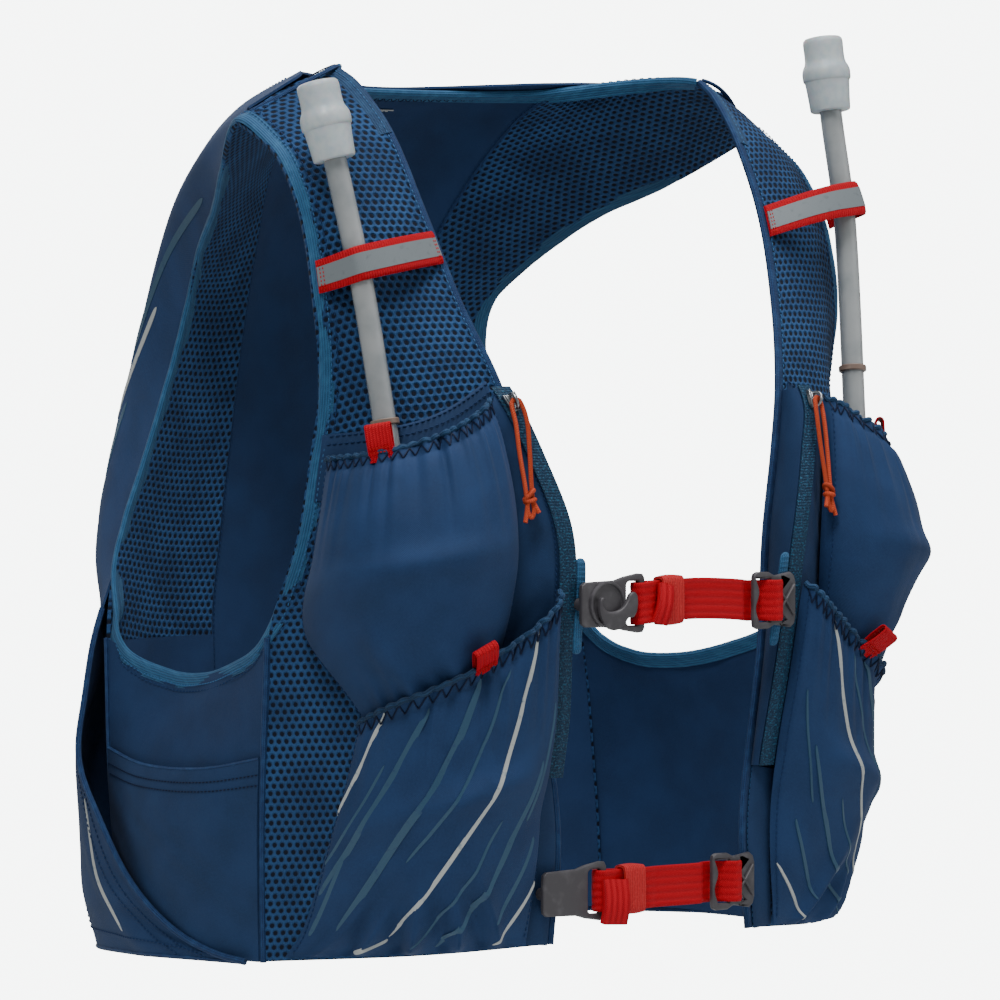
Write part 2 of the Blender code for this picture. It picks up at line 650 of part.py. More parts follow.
def back_strip(name, low, high, columns, thick, finish):
    """Part of the back between two lines, each a function of v that gives u."""
    surface = back_surface()
    grid = []
    for v in BACK_LEVELS:
        u = np.linspace(low(v), high(v), columns)
        top = back_top(u) if v > 0.9 else np.ones(columns)
        grid.append(np.stack([u, np.minimum(v, top)], axis=1))
    grid = np.array(grid)
    last = grid[-1, :, 1]
    for k in (-2, -3):
        grid[k, :, 1] = np.minimum(grid[k, :, 1], last - 0.012 * -(k + 1))
    outer = surface.point(grid[..., 0], grid[..., 1])
    inner = surface.lifted(grid[..., 0], grid[..., 1], np.full(grid.shape[:2], -thick))
    return slab(name, outer, inner, finish)


def make_back():
    """The woven inner back and its two mesh wings beside the armholes."""
    surface = back_surface()

    def part_gap(v):
        return SEAM_GAP / surface.width(v)

    back_strip(
        "back_lining",
        lambda v: -back_seam(v) + part_gap(v),
        lambda v: back_seam(v) - part_gap(v),
        7,
        WOVEN_THICK,
        "navy_woven",
    )
    for side in (RIGHT, LEFT):
        back_strip(
            f"back_wing_{SIDE_NAMES[side]}",
            lambda v: side * (back_seam(v) + part_gap(v)),
            lambda v: back_edge(v, side, 1.25 * CHORD_SPARE),
            4,
            MESH_THICK,
            "navy_mesh",
        )


def make_back_shell():
    """The stretch outer back: a pouch open at both sides."""
    surface = shell_surface()
    rows = [0.0, 0.05, 0.11, 0.18, 0.25, 0.32, 0.378]
    rows += [0.42, 0.47, 0.56, 0.65, 0.74, 0.82, 0.90, 1.0]
    u = np.array([-1, -0.94, -0.86, -0.74, -0.58, -0.4, -0.2])
    u = np.concatenate([u, [0], -u[::-1]])
    top = back_top(u * back_edge(0.97, LEFT), 0.0016)
    v = np.minimum(np.array(rows)[:, None], top[None, :])
    v[-2] = np.minimum(v[-2], top - 0.03)
    u = np.broadcast_to(u, v.shape)
    inner = surface.point(u, v)
    outer = inner + surface.normal(u, v) * WOVEN_THICK
    return slab("back_shell", outer, inner, "navy_woven")


def make_side(side):
    """The stretch side panel and its flat pocket."""
    surface = side_surface(side)
    word = SIDE_NAMES[side]
    edge = SIDE_SEAM_GAP / surface.width(0.5)
    across = np.linspace(edge, 1 - edge, 7)
    keep_off = [bound_armhole(side, 1.6 * CHORD_SPARE)]
    top = [last_clear(lambda v: surface.point(u, v), 0.6, 1.0, keep_off) for u in across]
    u = np.broadcast_to(across, (5, 7))
    v = np.linspace(0, 1, 5)[:, None] * np.array(top)[None, :]
    level = np.zeros(u.shape)
    slab(
        f"side_panel_{word}",
        surface.point(u, v),
        surface.lifted(u, v, level - WOVEN_THICK),
        "navy_woven",
    )
    u, v = np.meshgrid(np.linspace(2 * edge, 1 - 2 * edge, 7), np.linspace(0.0, SIDE_MOUTH, 5))
    full = np.sin(np.pi * np.clip(u, 0, 1)) * (v / SIDE_MOUTH) ** 0.7
    lift = LAYER_GAP * 1.6 + SIDE_BULGE * full
    slab(
        f"side_pocket_{word}",
        surface.lifted(u, v, lift + WOVEN_THICK),
        surface.lifted(u, v, lift),
        "navy_woven",
    )


def make_bindings(side):
    """The light blue band round an armhole and the narrow one down the front edge."""
    front = front_surface(side)
    edge, into, normals = armhole_parts(side)
    line = armhole_line(side)
    near = np.linalg.norm(edge[None] - line[:, None], axis=2)
    share = 1 / (near + 1e-4) ** 3
    share /= share.sum(1, keepdims=True)
    band(
        f"armhole_binding_{SIDE_NAMES[side]}",
        line,
        share @ normals,
        share @ into,
        BINDING_WIDTH,
        BINDING_THICK,
        -MESH_THICK / 2,
        "blue_binding",
        closed=True,
    )
    v = np.array(FRONT_LEVELS)
    band(
        f"front_binding_{SIDE_NAMES[side]}",
        front.point(0.0, v),
        front.normal(0.03, v),
        front.point(0.1, v) - front.point(0.0, v),
        EDGE_BINDING_WIDTH,
        BINDING_THICK,
        -MESH_THICK / 2,
        "navy_woven",
    )


def make_neck_binding():
    """The narrow band along the back of the neck."""
    surface = back_surface()
    u = np.linspace(-NECK_END, NECK_END, 17)
    u[[0, -1]] *= 0.985
    line = surface.point(u, 1.0)
    inner = surface.point(u * 0.97, 0.96)
    band(
        "neck_binding",
        line,
        surface.normal(u, 0.99),
        inner - line,
        EDGE_BINDING_WIDTH,
        BINDING_THICK,
        -WOVEN_THICK / 2,
        "navy_woven",
    )


def ridge(v):
    return line_of(RIDGE_ROWS, "lift", v)


def tape_side(surface, v, outer):
    """u of the zip tape's inner or outer side; below 0 is off the edge of the front."""
    v = np.atleast_1d(v)
    start = line_of(RIDGE_ROWS, "start", v) + (ZIP_WIDTH if outer else 0.0)
    rate = np.array([surface.width(one) for one in v])
    near = np.linalg.norm(surface.point(0.05, v) - surface.point(0.0, v), axis=-1) / 0.05
    return np.where(start > 0, start / near, start / rate)


def facing_lift(surface, u, v):
    """Height of the zip facing's underside: full at the tape, falling to the mesh."""
    start = tape_side(surface, np.ravel(v), True).reshape(np.shape(v))
    fall = 1 - smooth((u - start) / (FACING_EDGE - 0.02 - start))
    return LAYER_GAP + ridge(np.ravel(v)).reshape(np.shape(v)) * fall


def pocket_base(surface, u, v):
    """Height at which a pocket is sewn down, over the facing or the bare mesh."""
    cover = np.clip((FACING_EDGE + 0.06 - u) / 0.05, 0, 1)
    return facing_lift(surface, u, v) + cover * (STRIP_THICK + LAYER_GAP)


def tape_line(surface, v):
    """The zip tape's inner side, and the ways across it and off it."""
    start = line_of(RIDGE_ROWS, "start", v)[:, None]
    across = unit(surface.point(0.12, v) - surface.point(0.0, v))
    off = surface.normal(0.03, v)
    return surface.point(0.0, v) + across * start + off * ridge(v)[:, None], across, off


def make_zip(side):
    """Zip tape on its raised line, the wall inside it and the facing outside it."""
    surface = front_surface(side)
    word = SIDE_NAMES[side]
    v = np.linspace(ZIP_FOOT, ZIP_HEAD, 12)
    line, across, off = tape_line(surface, v)
    height = ZIP_THICK / 2 + TAPE_RISE
    band(f"zipper_{word}", line, off, across, ZIP_WIDTH, ZIP_THICK, height, "teal_zip")
    foot = np.array([across_at(surface, one, EDGE_BINDING_WIDTH + SEAM_GAP) for one in v])
    low = surface.lifted(foot, v, np.full(v.shape, LAYER_GAP))
    high = line + across * SEAM_GAP + off * (TAPE_RISE - SEAM_GAP)
    share = np.linspace(0, 1, 3)[:, None, None]
    outer = low[None] * (1 - share) + high[None] * share
    slab(f"zip_wall_{word}", outer, outer + across[None] * STRIP_THICK, "navy_woven")
    v = np.linspace(0.0, ZIP_FOOT - 2 * SEAM_GAP / VEST_HEIGHT, 5)
    start = EDGE_BINDING_WIDTH + SEAM_GAP
    band(
        f"edge_strip_{word}",
        surface.point(np.array([across_at(surface, one, start) for one in v]), v),
        surface.normal(0.1, v),
        surface.point(0.2, v) - surface.point(0.1, v),
        ZIP_WIDTH - start + TAPE_END,
        STRIP_THICK,
        STRIP_THICK / 2 + LAYER_GAP,
        "navy_woven",
    )
    share = np.linspace(0, 1, 5)
    top = ZIP_HEAD - (ZIP_HEAD - FACING_TOP) * share
    v = ZIP_FOOT + (top - ZIP_FOOT)[None, :] * np.linspace(0, 1, 8)[:, None]
    under = FACING_TUCK / surface.width(0.5)
    low = tape_side(surface, v.ravel(), True).reshape(v.shape) - under
    u = low + (FACING_EDGE - low) * share[None, :]
    lift = facing_lift(surface, u, v)
    slab(
        f"zip_facing_{word}",
        surface.lifted(u, v, lift + STRIP_THICK),
        surface.lifted(u, v, lift),
        "navy_woven",
    )


def on_front(surface, rows, s, t, sag=0.0):
    """u and v on the front for a pocket's own s (across) and t (foot to mouth)."""
    s, t = np.broadcast_arrays(np.asarray(s, float), np.asarray(t, float))
    flat = t.ravel()
    inner_u, inner_v, outer_u, outer_v = (
        line_of(rows, field, flat).reshape(t.shape)
        for field in ("inner_u", "inner_v", "outer_u", "outer_v")
    )
    dip = sag * np.sin(np.pi * s) * np.clip(t, 0, 1) ** 3
    v = inner_v + (outer_v - inner_v) * s - dip
    tape = tape_side(surface, inner_v.ravel(), True).reshape(t.shape)
    share = inner_u + (outer_u - inner_u) * s
    return tape + (1 - tape) * share, v


def pocket_lift(rows, bulge, gathers, crown, s, t):
    """How far a pocket's outer face stands off its base, with folds at the mouth."""
    s, t = np.broadcast_arrays(np.asarray(s, float), np.asarray(t, float))
    full = line_of(rows, "full", t.ravel()).reshape(t.shape)
    over = np.sin(np.pi * np.clip(s, 0, 1)) ** crown
    near = smooth((t - 0.45) / 0.5)
    fold = 0.5 + 0.5 * np.cos(2 * np.pi * gathers * s)
    return WOVEN_THICK + bulge * full * over + GATHER_DEPTH * near * fold * over


def flask_pocket_at(side, s, t):
    """u, v and the lifts of a flask pocket's base and outer face."""
    surface = front_surface(side)
    u, v = on_front(surface, FLASK_POCKET_ROWS, s, t, MOUTH_SAG)
    base = pocket_base(surface, u, v)
    full = pocket_lift(FLASK_POCKET_ROWS, FLASK_BULGE, MOUTH_GATHERS, FLASK_CROWN, s, t)
    return u, v, base, base + full


def lower_pocket_at(side, s, t):
    """The same for a lower pocket, which lies over the foot of the flask pocket."""
    surface = front_surface(side)
    u, v = on_front(surface, LOWER_POCKET_ROWS, s, t)
    base = pocket_base(surface, u, v) + FIT_GAP / 2
    full = pocket_lift(LOWER_POCKET_ROWS, LOWER_BULGE, LOWER_GATHERS, LOWER_CROWN, s, t)
    fine_s, fine_t = np.meshgrid(np.linspace(0, 1, 49), np.linspace(0, 0.7, 57))
    under_u, under_v, _, under = flask_pocket_at(side, fine_s, fine_t)
    wide, tall = surface.width(0.3), VEST_HEIGHT
    apart = ((u.ravel()[:, None] - under_u.ravel()[None]) * wide) ** 2
    apart += ((v.ravel()[:, None] - under_v.ravel()[None]) * tall) ** 2
    close = np.exp(-apart / NEAR**2)
    mean = (close * under.ravel()[None]).sum(axis=1) / (close.sum(axis=1) + 1e-9)
    over = (mean + WOVEN_THICK + POCKET_CLEARANCE).reshape(u.shape)
    inside = apart.min(axis=1).reshape(u.shape) < NEAR**2
    return u, v, base, np.where(inside, np.maximum(base + full, over), base + full)


def make_pocket(name, side, place, columns, ts):
    surface = front_surface(side)
    s, t = np.meshgrid(np.linspace(0, 1, columns), ts)
    u, v, base, lift = place(side, s, t)
    normals = surface.normal(u, v)
    points = surface.point(u, v)
    outer = points + normals * lift[..., None]
    under = np.maximum(base, lift - thicken(outer, WOVEN_THICK, normals))
    return slab(name, outer, points + normals * under[..., None], "navy_woven")


def make_pockets(side):
    word = SIDE_NAMES[side]
    ts = np.array([0.0, 0.16, 0.34, 0.54, 0.74, 0.89, 1.0])
    make_pocket(f"flask_pocket_{word}", side, flask_pocket_at, 21, ts)
    ts = np.array([0.0, 0.12, 0.30, 0.52, 0.72, 0.88, 1.0])
    make_pocket(f"lower_pocket_{word}", side, lower_pocket_at, 21, ts)


def make_flask(side):
    """The soft flask inside its pocket, with the neck that the straw rises from."""
    surface = front_surface(side)
    ts = np.array([0.30, 0.38, 0.50, 0.64, 0.76, 0.86])
    s, t = np.meshgrid(np.linspace(0.22, 0.80, 8), ts)
    u, v, base, lift = flask_pocket_at(side, s, t)
    round_off = np.sin(np.pi * (s - 0.17) / 0.68) ** 0.5 * np.sin(np.pi * (t - 0.24) / 0.68) ** 0.4
    room = np.maximum(lift - base - 2 * FLASK_CLEARANCE, 0.004)
    middle = (lift + base) / 2
    normals, points = surface.normal(u, v), surface.point(u, v)
    half = (room / 2 * round_off)[..., None] * normals
    centre = points + normals * middle[..., None]
    slab(f"flask_{SIDE_NAMES[side]}", centre + half, centre - half, "clear_tube")


def straw_line(side, count):
    rows = [placed(row.x, row.y, row.h, FRONT_DEPTH, side) for row in STRAW_ROWS[side]]
    return curve_through(rows, count)


def tube_rings(line, radii, sides):
    """Loops of points round a line, without twist."""
    along = tangents(line)
    first = np.cross(along[0], (0.0, 0.0, 1.0))
    if np.linalg.norm(first) < 1e-3:
        first = np.array((1.0, 0.0, 0.0))
    loops, across = [], first
    for point, way, radius in zip(line, along, radii):
        across = unit(across - way * np.dot(across, way))
        other = np.cross(way, across)
        turn = np.arange(sides) * 2 * np.pi / sides
        circle = np.cos(turn)[:, None] * across + np.sin(turn)[:, None] * other
        loops.append(point + radius * circle)
    return loops


def make_straw(side):
    """A stiff tube with its collar, and the bite valve over its end."""
    word = SIDE_NAMES[side]
    line = straw_line(side, 7)
    way = unit(line[0] - line[1])
    collar = [line[0] + way * 0.0, line[0] - way * COLLAR_HEIGHT, line[0] - way * COLLAR_HEIGHT]
    collar[2] = collar[2] - way * 0.0008
    outer_line = np.array([*collar, *line[1:]])
    radii = [COLLAR_RADIUS, COLLAR_RADIUS, STRAW_RADIUS, *[STRAW_RADIUS] * 6]
    outer = tube_rings(outer_line, radii, 10)
    inner = tube_rings(line, [STRAW_BORE] * 7, 10)[::-1]
    rings(f"straw_{word}", [*outer, *inner], "clear_tube", closed=True)
    tip, way = line[-1], unit(line[-1] - line[-2])
    profile = [
        (VALVE_RADIUS * share, VALVE_LENGTH * height)
        for share, height in (
            (0.78, 0.00),
            (0.84, 0.03),
            (0.84, 0.16),
            (1.00, 0.22),
            (1.02, 0.50),
            (0.95, 0.58),
            (0.80, 0.63),
            (0.84, 0.86),
            (0.82, 0.96),
            (0.70, 1.00),
            (0.30, 0.985),
        )
    ]
    socket = STRAW_RADIUS + FIT_GAP
    profile += [(STRAW_BORE * 0.9, VALVE_SOCKET + 0.002), (socket, VALVE_SOCKET), (socket, 0.0)]
    loops = []
    start = tip - way * (VALVE_SOCKET - FIT_GAP)
    for radius, height in profile:
        centre = np.array([start + way * height, start + way * (height + 0.01)])
        loops.append(tube_rings(centre, [radius, radius], 12)[0])
    rings(f"bite_valve_{word}", loops, "clear_valve", closed=True, smooth_angle=40)


def make_keeper(side):
    """The elastic band across the strap that holds the straw down."""
    surface = front_surface(side)
    row = KEEPERS[side]
    fine = np.linspace(0, 1, 160)
    wide = surface.width(0.8)
    start = 0.010 / wide
    end = 1 - (BINDING_WIDTH + 0.001) / wide
    u = start + (end - start) * fine
    v = row.neck + (row.armhole - row.neck) * fine
    straw = straw_line(side, 60)
    reach = STRAW_RADIUS + FIT_GAP + 0.0003
    need = np.zeros(fine.shape)
    for shift in (-0.6, -0.3, 0.0, 0.3, 0.6):
        at_v = v + shift * KEEPER_WIDTH / VEST_HEIGHT
        points, normals = surface.point(u, at_v), surface.normal(u, at_v)
        for a, b in zip(straw[:-1], straw[1:]):
            way = unit(b - a)
            rel = points - a
            off = rel - (rel @ way)[:, None] * way
            lean = normals - (normals @ way)[:, None] * way
            qa, qb = (lean**2).sum(1), 2 * (lean * off).sum(1)
            root = qb**2 - 4 * qa * ((off**2).sum(1) - reach**2)
            lift = np.where(root > 0, (-qb + np.sqrt(np.maximum(root, 0))) / (2 * qa), 0)
            along = ((points + normals * lift[:, None] - a) * way).sum(1)
            near = (along > -0.004) & (along < np.linalg.norm(b - a) + 0.004)
            need = np.where(near, np.maximum(need, lift), need)
    base = LAYER_GAP + 0.0003
    level = np.maximum(base, need)
    at = fine * (end - start) * wide
    hull = [0]
    for i in range(1, len(at)):
        while len(hull) > 1:
            j, k = hull[-2], hull[-1]
            if (level[k] - level[j]) * (at[i] - at[j]) <= (level[i] - level[j]) * (at[k] - at[j]):
                hull.pop()
            else:
                break
        hull.append(i)
    smooth_level = np.interp(at, at[hull], level[hull])
    over = fine[level > base + 1e-5]
    lo, hi = over[0], over[-1]
    marks = [np.linspace(0, lo, 3), np.linspace(lo, hi, 8)[1:], np.linspace(hi, 1, 3)[1:]]
    marks = np.concatenate(marks)
    lift = np.interp(marks, fine, smooth_level)
    lift[3:9] += 0.0003
    across, up = np.meshgrid(marks, (-0.5, 0.5))
    grid_u = start + (end - start) * across
    grid_v = row.neck + (row.armhole - row.neck) * across + up * KEEPER_WIDTH / VEST_HEIGHT / 0.95
    low = np.broadcast_to(lift, grid_u.shape)
    slab(
        f"straw_keeper_{SIDE_NAMES[side]}",
        surface.lifted(grid_u, grid_v, low + KEEPER_THICK),
        surface.lifted(grid_u, grid_v, low),
        "red_webbing",
    )


class Frame:
    """A flat working frame: a along, b out from the wearer, w up."""

    def __init__(self, origin, along, out):
        self.origin = np.asarray(origin, float)
        self.a = unit(np.asarray(along, float))
        out = np.asarray(out, float)
        self.b = unit(out - self.a * np.dot(out, self.a))
        self.w = np.cross(self.a, self.b)
        if self.w[2] < 0:
            self.w = -self.w

    def at(self, a, b, w):
        return self.origin + a * self.a + b * self.b + w * self.w


def ribbon(name, path, thick, width, frame, finish, closed=False, bow=None):
    """A strip of webbing whose path lies in a frame's a-b plane."""
    path = np.asarray(path, float)
    flat = np.column_stack([path, np.zeros(len(path))])
    if closed:
        before, after = np.roll(flat, 1, axis=0), np.roll(flat, -1, axis=0)
    else:
        before = np.vstack([2 * flat[0] - flat[1], flat[:-1]])
        after = np.vstack([flat[1:], 2 * flat[-1] - flat[-2]])
    way_in, way_out = unit(flat - before), unit(after - flat)
    side_in = np.column_stack([-way_in[:, 1], way_in[:, 0]])
    side_out = np.column_stack([-way_out[:, 1], way_out[:, 0]])
    mitre = unit(side_in + side_out)
    stretch = 1 / np.clip((mitre * side_in).sum(1), 0.5, 1)
    loops = []
    for point, way, long in zip(path, mitre, stretch):
        rise = bow(point[0]) if bow else 0.0
        loop = []
        for sign, w in ((-1, -0.5), (1, -0.5), (1, 0.5), (-1, 0.5)):
            a, b = point + sign * way * long * thick / 2
            loop.append(frame.at(a, b, w * width + rise))
        loops.append(loop)
    return rings(name, loops, finish, closed, smooth_angle=45)


def block_lattice(xs, ys, is_solid, thick):
    """Points and faces of a flat plate on a grid of cells, some of them open."""
    columns, rows = len(xs), len(ys)
    points = [(x, y, z) for z in (-thick / 2, thick / 2) for y in ys for x in xs]
    layer = columns * rows

    def at(i, j, top):
        return top * layer + j * columns + i

    def solid(i, j):
        return 0 <= i < columns - 1 and 0 <= j < rows - 1 and is_solid(i, j)

    faces = []
    for j in range(rows - 1):
        for i in range(columns - 1):
            if not solid(i, j):
                continue
            corners = [(i, j), (i + 1, j), (i + 1, j + 1), (i, j + 1)]
            faces.append([at(*c, 1) for c in corners])
            faces.append([at(*c, 0) for c in corners[::-1]])
            for (a, b), (di, dj) in zip(
                zip(corners, corners[1:] + corners[:1]), ((0, -1), (1, 0), (0, 1), (-1, 0))
            ):
                if not solid(i + di, j + dj):
                    faces.append([at(*a, 0), at(*b, 0), at(*b, 1), at(*a, 1)])
    used = sorted({k for face in faces for k in face})
    index = {k: n for n, k in enumerate(used)}
    return [points[k] for k in used], [[index[k] for k in face] for face in faces]


def plate(name, frame, a_marks, w_marks, is_solid, thick, finish, bow=0.0):
    """A buckle plate in a frame, from a lattice of cells."""
    points, faces = block_lattice(a_marks, w_marks, is_solid, thick)
    placed_points = [frame.at(x, z, y + bow) for x, y, z in points]
    return finish_mesh(name, placed_points, faces, finish, 30)


def joined(name, pieces):
    """Several overlapping bodies made into one."""
    base = pieces[0]
    for other in pieces[1:]:
        cut = base.modifiers.new("join", "BOOLEAN")
        cut.operation = "UNION"
        cut.solver = "EXACT"
        cut.object = other
    bpy.context.view_layer.update()
    graph = bpy.context.evaluated_depsgraph_get()
    mesh = bpy.data.meshes.new_from_object(base.evaluated_get(graph))
    base.modifiers.clear()
    base.data = mesh
    for other in pieces[1:]:
        bpy.data.objects.remove(other)
    base.name = name
    mesh.set_sharp_from_angle(angle=math.radians(35))
    return base


def disc(frame, a, w, radius, low, high, sides, finish):
    """A round boss on a plate."""
    turn = np.arange(sides) * 2 * np.pi / sides
    loops = [
        [frame.at(a + radius * math.cos(q), b, w + radius * math.sin(q)) for q in turn]
        for b in (low, high)
    ]
    return rings("disc", loops, finish)


def strap_frame(level, above, shift=(0.0, 0.0)):
    """The frame of a front strap, from the wearer's right edge to the left."""
    ends = []
    for side in (RIGHT, LEFT):
        surface = front_surface(side)
        line, across, off = tape_line(surface, np.array([level]))
        ends.append(line[0] + off[0] * above + across[0] * ZIP_WIDTH / 2)
    way = unit(ends[1] - ends[0])
    ends = [end + way * move for end, move in zip(ends, shift)]
    along = ends[1] - ends[0]
    return Frame((ends[0] + ends[1]) / 2, along, (0.0, -1.0, 0.0)), np.linalg.norm(along) / 2


def clip_foot(frame, at, rise, drop):
    """The short stud by which a buckle stands on the tape or strip behind it."""
    reach = STRAP_STANDOFF - FOOT_GAP + drop
    return disc(frame, at, rise, FOOT_RADIUS, -reach, reach, 8, "grey_plastic")


def make_strap(word, level, above, arch, shift=(0.0, 0.0), drops=(0.0, 0.0)):
    """One front strap: hook, webbing with its sleeve, and ladder buckle."""
    frame, half = strap_frame(level, above + STRAP_STANDOFF, shift)

    bar = HOOK_BAR * half
    ladder = LADDER_START * half

    def bow(a):
        share = (min(max(a, bar - BAR_WIDTH), ladder) / (0.75 * half)) ** 2
        return arch * max(0.0, 1 - share)

    near = BUCKLE_THICK / 2 + WEBBING_THICK / 2 + 2 * FIT_GAP
    reach = math.hypot(BAR_WIDTH, BUCKLE_THICK) / 2 + WEBBING_THICK / 2 + FIT_GAP
    pair = WEBBING_THICK / 2 + FIT_GAP / 2
    turn = [
        (bar - reach * math.cos(q), reach * math.sin(q)) for q in np.linspace(-1.5, 1.5, 8)
    ]
    first, second, third = ladder, ladder + WINDOW + BAR_WIDTH, ladder + 2 * (WINDOW + BAR_WIDTH)
    mid = second + BAR_WIDTH / 2
    path = [
        (bar + 0.0270, -pair),
        (bar + 0.0110, -pair),
        (bar + 0.0040, -reach * 0.9),
        *turn,
        (bar + 0.0040, reach * 0.9),
        (bar + 0.0110, pair),
        (bar + 0.0285, pair),
        (bar + 0.0350, 0.0),
        (first - 0.0080, 0.0),
        (first - 0.0030, -near),
        (first + BAR_WIDTH + 0.0006, -near),
    ]
    path += [
        (mid + reach * math.cos(q), reach * math.sin(q)) for q in np.linspace(1.9, -1.6, 8)
    ]
    ribbon(
        f"{word}_webbing", path, WEBBING_THICK, WEBBING_WIDTH, frame, "red_webbing", bow=bow
    )
    room = WEBBING_THICK + FIT_GAP / 2 + FIT_GAP + SLEEVE_THICK / 2
    tall = WEBBING_WIDTH / 2 + FIT_GAP + SLEEVE_THICK / 2
    loops = []
    for a in np.linspace(bar + 0.0120, bar + 0.0120 + SLEEVE_LENGTH, 3):
        rise = bow(a)
        corners = ((-room, -tall), (room, -tall), (room, tall), (-room, tall))
        grow = SLEEVE_THICK / 2
        ring_out = [(b + np.sign(b) * grow, w + np.sign(w) * grow) for b, w in corners]
        ring_in = [(b - np.sign(b) * grow, w - np.sign(w) * grow) for b, w in corners]
        loops.append((a, rise, ring_out, ring_in))
    outer = [[frame.at(a, b, w + rise) for b, w in out] for a, rise, out, _ in loops]
    inner = [[frame.at(a, b, w + rise) for b, w in into] for a, rise, _, into in loops]
    rings(f"{word}_sleeve", [*outer, *inner[::-1]], "coral_elastic", closed=True)
    slot = WEBBING_WIDTH / 2 + 2 * FIT_GAP
    edge = slot + BUCKLE_RIM
    marks = [first, first + BAR_WIDTH, second, second + BAR_WIDTH, third, third + BAR_WIDTH]
    rise = bow(first)
    buckle = plate(
        "ladder",
        frame,
        marks,
        [-edge, -slot, slot, edge],
        lambda i, j: j != 1 or i in (0, 2, 4),
        BUCKLE_THICK,
        "grey_plastic",
        bow=rise,
    )
    foot = third + BAR_WIDTH - FOOT_RADIUS
    joined(f"{word}_ladder", [buckle, clip_foot(frame, foot, rise, drops[1])])
    rise = bow(bar)
    slot_start = bar - BAR_WIDTH / 2 - WINDOW
    pieces = [
        plate(
            "hook",
            frame,
            [slot_start - 0.0035, slot_start, bar - BAR_WIDTH / 2, bar + BAR_WIDTH / 2],
            [-edge, -slot, slot, edge],
            lambda i, j: j != 1 or i in (0, 2),
            BUCKLE_THICK,
            "grey_plastic",
            bow=rise,
        )
    ]
    boss = slot_start - 0.0035 - BOSS_RADIUS * 0.82
    thick = BUCKLE_THICK
    pieces.append(disc(frame, boss, rise, BOSS_RADIUS, -thick / 2, thick * 0.95, 16, "grey_plastic"))
    clip = boss - BOSS_RADIUS - 0.0045
    pieces.append(
        plate(
            "clip",
            frame,
            [clip, boss - BOSS_RADIUS * 0.6],
            [-HOOK_PLATE / 2, HOOK_PLATE / 2],
            lambda i, j: True,
            thick * 0.9,
            "grey_plastic",
            bow=rise,
        )
    )
    pieces.append(clip_foot(frame, clip + FOOT_RADIUS, rise, drops[0]))
    joined(f"{word}_hook", pieces)


def make_rail(side):
    """The short piped rail beside the zip that the chest buckles slide on."""
    surface = front_surface(side)
    middle = CHEST_LEVEL + RAIL_RISE
    reach = RAIL_LENGTH / 2 / VEST_HEIGHT
    v = np.linspace(middle - reach, middle + reach, 6)
    line, across, off = tape_line(surface, v)
    line = line - across * RAIL_WIDTH / 2 + off * TAPE_RISE
    loops = []
    for point, a, n in zip(line, across, off):
        turn = np.arange(8) * np.pi / 4 + np.pi / 8
        loops.append(
            [
                point + a * math.cos(q) * RAIL_WIDTH * 0.5 + n * math.sin(q) * RAIL_THICK * 0.54
                for q in turn
            ]
        )
    rings(f"edge_rail_{SIDE_NAMES[side]}", loops, "navy_woven")


def make_slider(side):
    """The zip's slider with its puller eye, and the knotted cord through the eye."""
    surface = front_surface(side)
    word = SIDE_NAMES[side]
    line, across, off = tape_line(surface, np.array([SLIDER_LEVEL - 0.004, SLIDER_LEVEL]))
    up = unit(line[1] - line[0])
    above = TAPE_RISE + ZIP_THICK * 0.65 + SEAM_GAP + SLIDER_THICK * 0.3
    origin = line[1] + across[1] * ZIP_WIDTH / 2 + off[1] * above
    frame = Frame(origin, -up, off[1])
    third = SLIDER_LENGTH / 3
    eye = CORD_RADIUS + FIT_GAP
    half = SLIDER_WIDTH / 2
    body = plate(
        "body",
        frame,
        [-1.5 * third, 1.5 * third],
        [-half, half],
        lambda i, j: True,
        SLIDER_THICK * 0.6,
        "steel",
    )
    lift = SLIDER_THICK * 0.3 + eye * 2
    turn = np.linspace(0, np.pi, 7)
    ring_path = [(lift * 0.9 * math.cos(q), SLIDER_THICK * 0.2 + lift * math.sin(q)) for q in turn]
    puller = ribbon("puller", ring_path, 0.0010, 0.0022, frame, "steel")
    joined(f"zip_slider_{word}", [body, puller])
    centre = SLIDER_THICK * 0.3 + eye
    drop = CORD_DROP
    near = CORD_RADIUS + SEAM_GAP
    strand = 0.0030
    points = []
    for sign in (-1, 1):
        side_points = [
            (drop + 0.009, centre + 0.001, sign * (near + 0.0006)),
            (drop, centre, sign * near),
            (drop * 0.85, centre, sign * near),
            (drop * 0.6, centre, sign * strand),
            (drop * 0.3, centre, sign * strand),
            (0.0022, centre, sign * (strand * 0.9)),
            (-0.0004, centre, sign * (strand * 0.45)),
        ]
        points.append(side_points if sign < 0 else side_points[::-1])
    path = np.array([frame.at(*p) for p in points[0] + points[1]])
    down = np.clip((path - origin) @ -up - SLIDER_LENGTH * 0.6, 0, None)
    swing = np.array([0.0, -CORD_LEAN, -1.0]) + up
    path = path + swing * down[:, None]
    path = curve_through(path, 22)
    rings(f"zip_cord_{word}", tube_rings(path, [CORD_RADIUS] * 22, 5), "orange_cord")


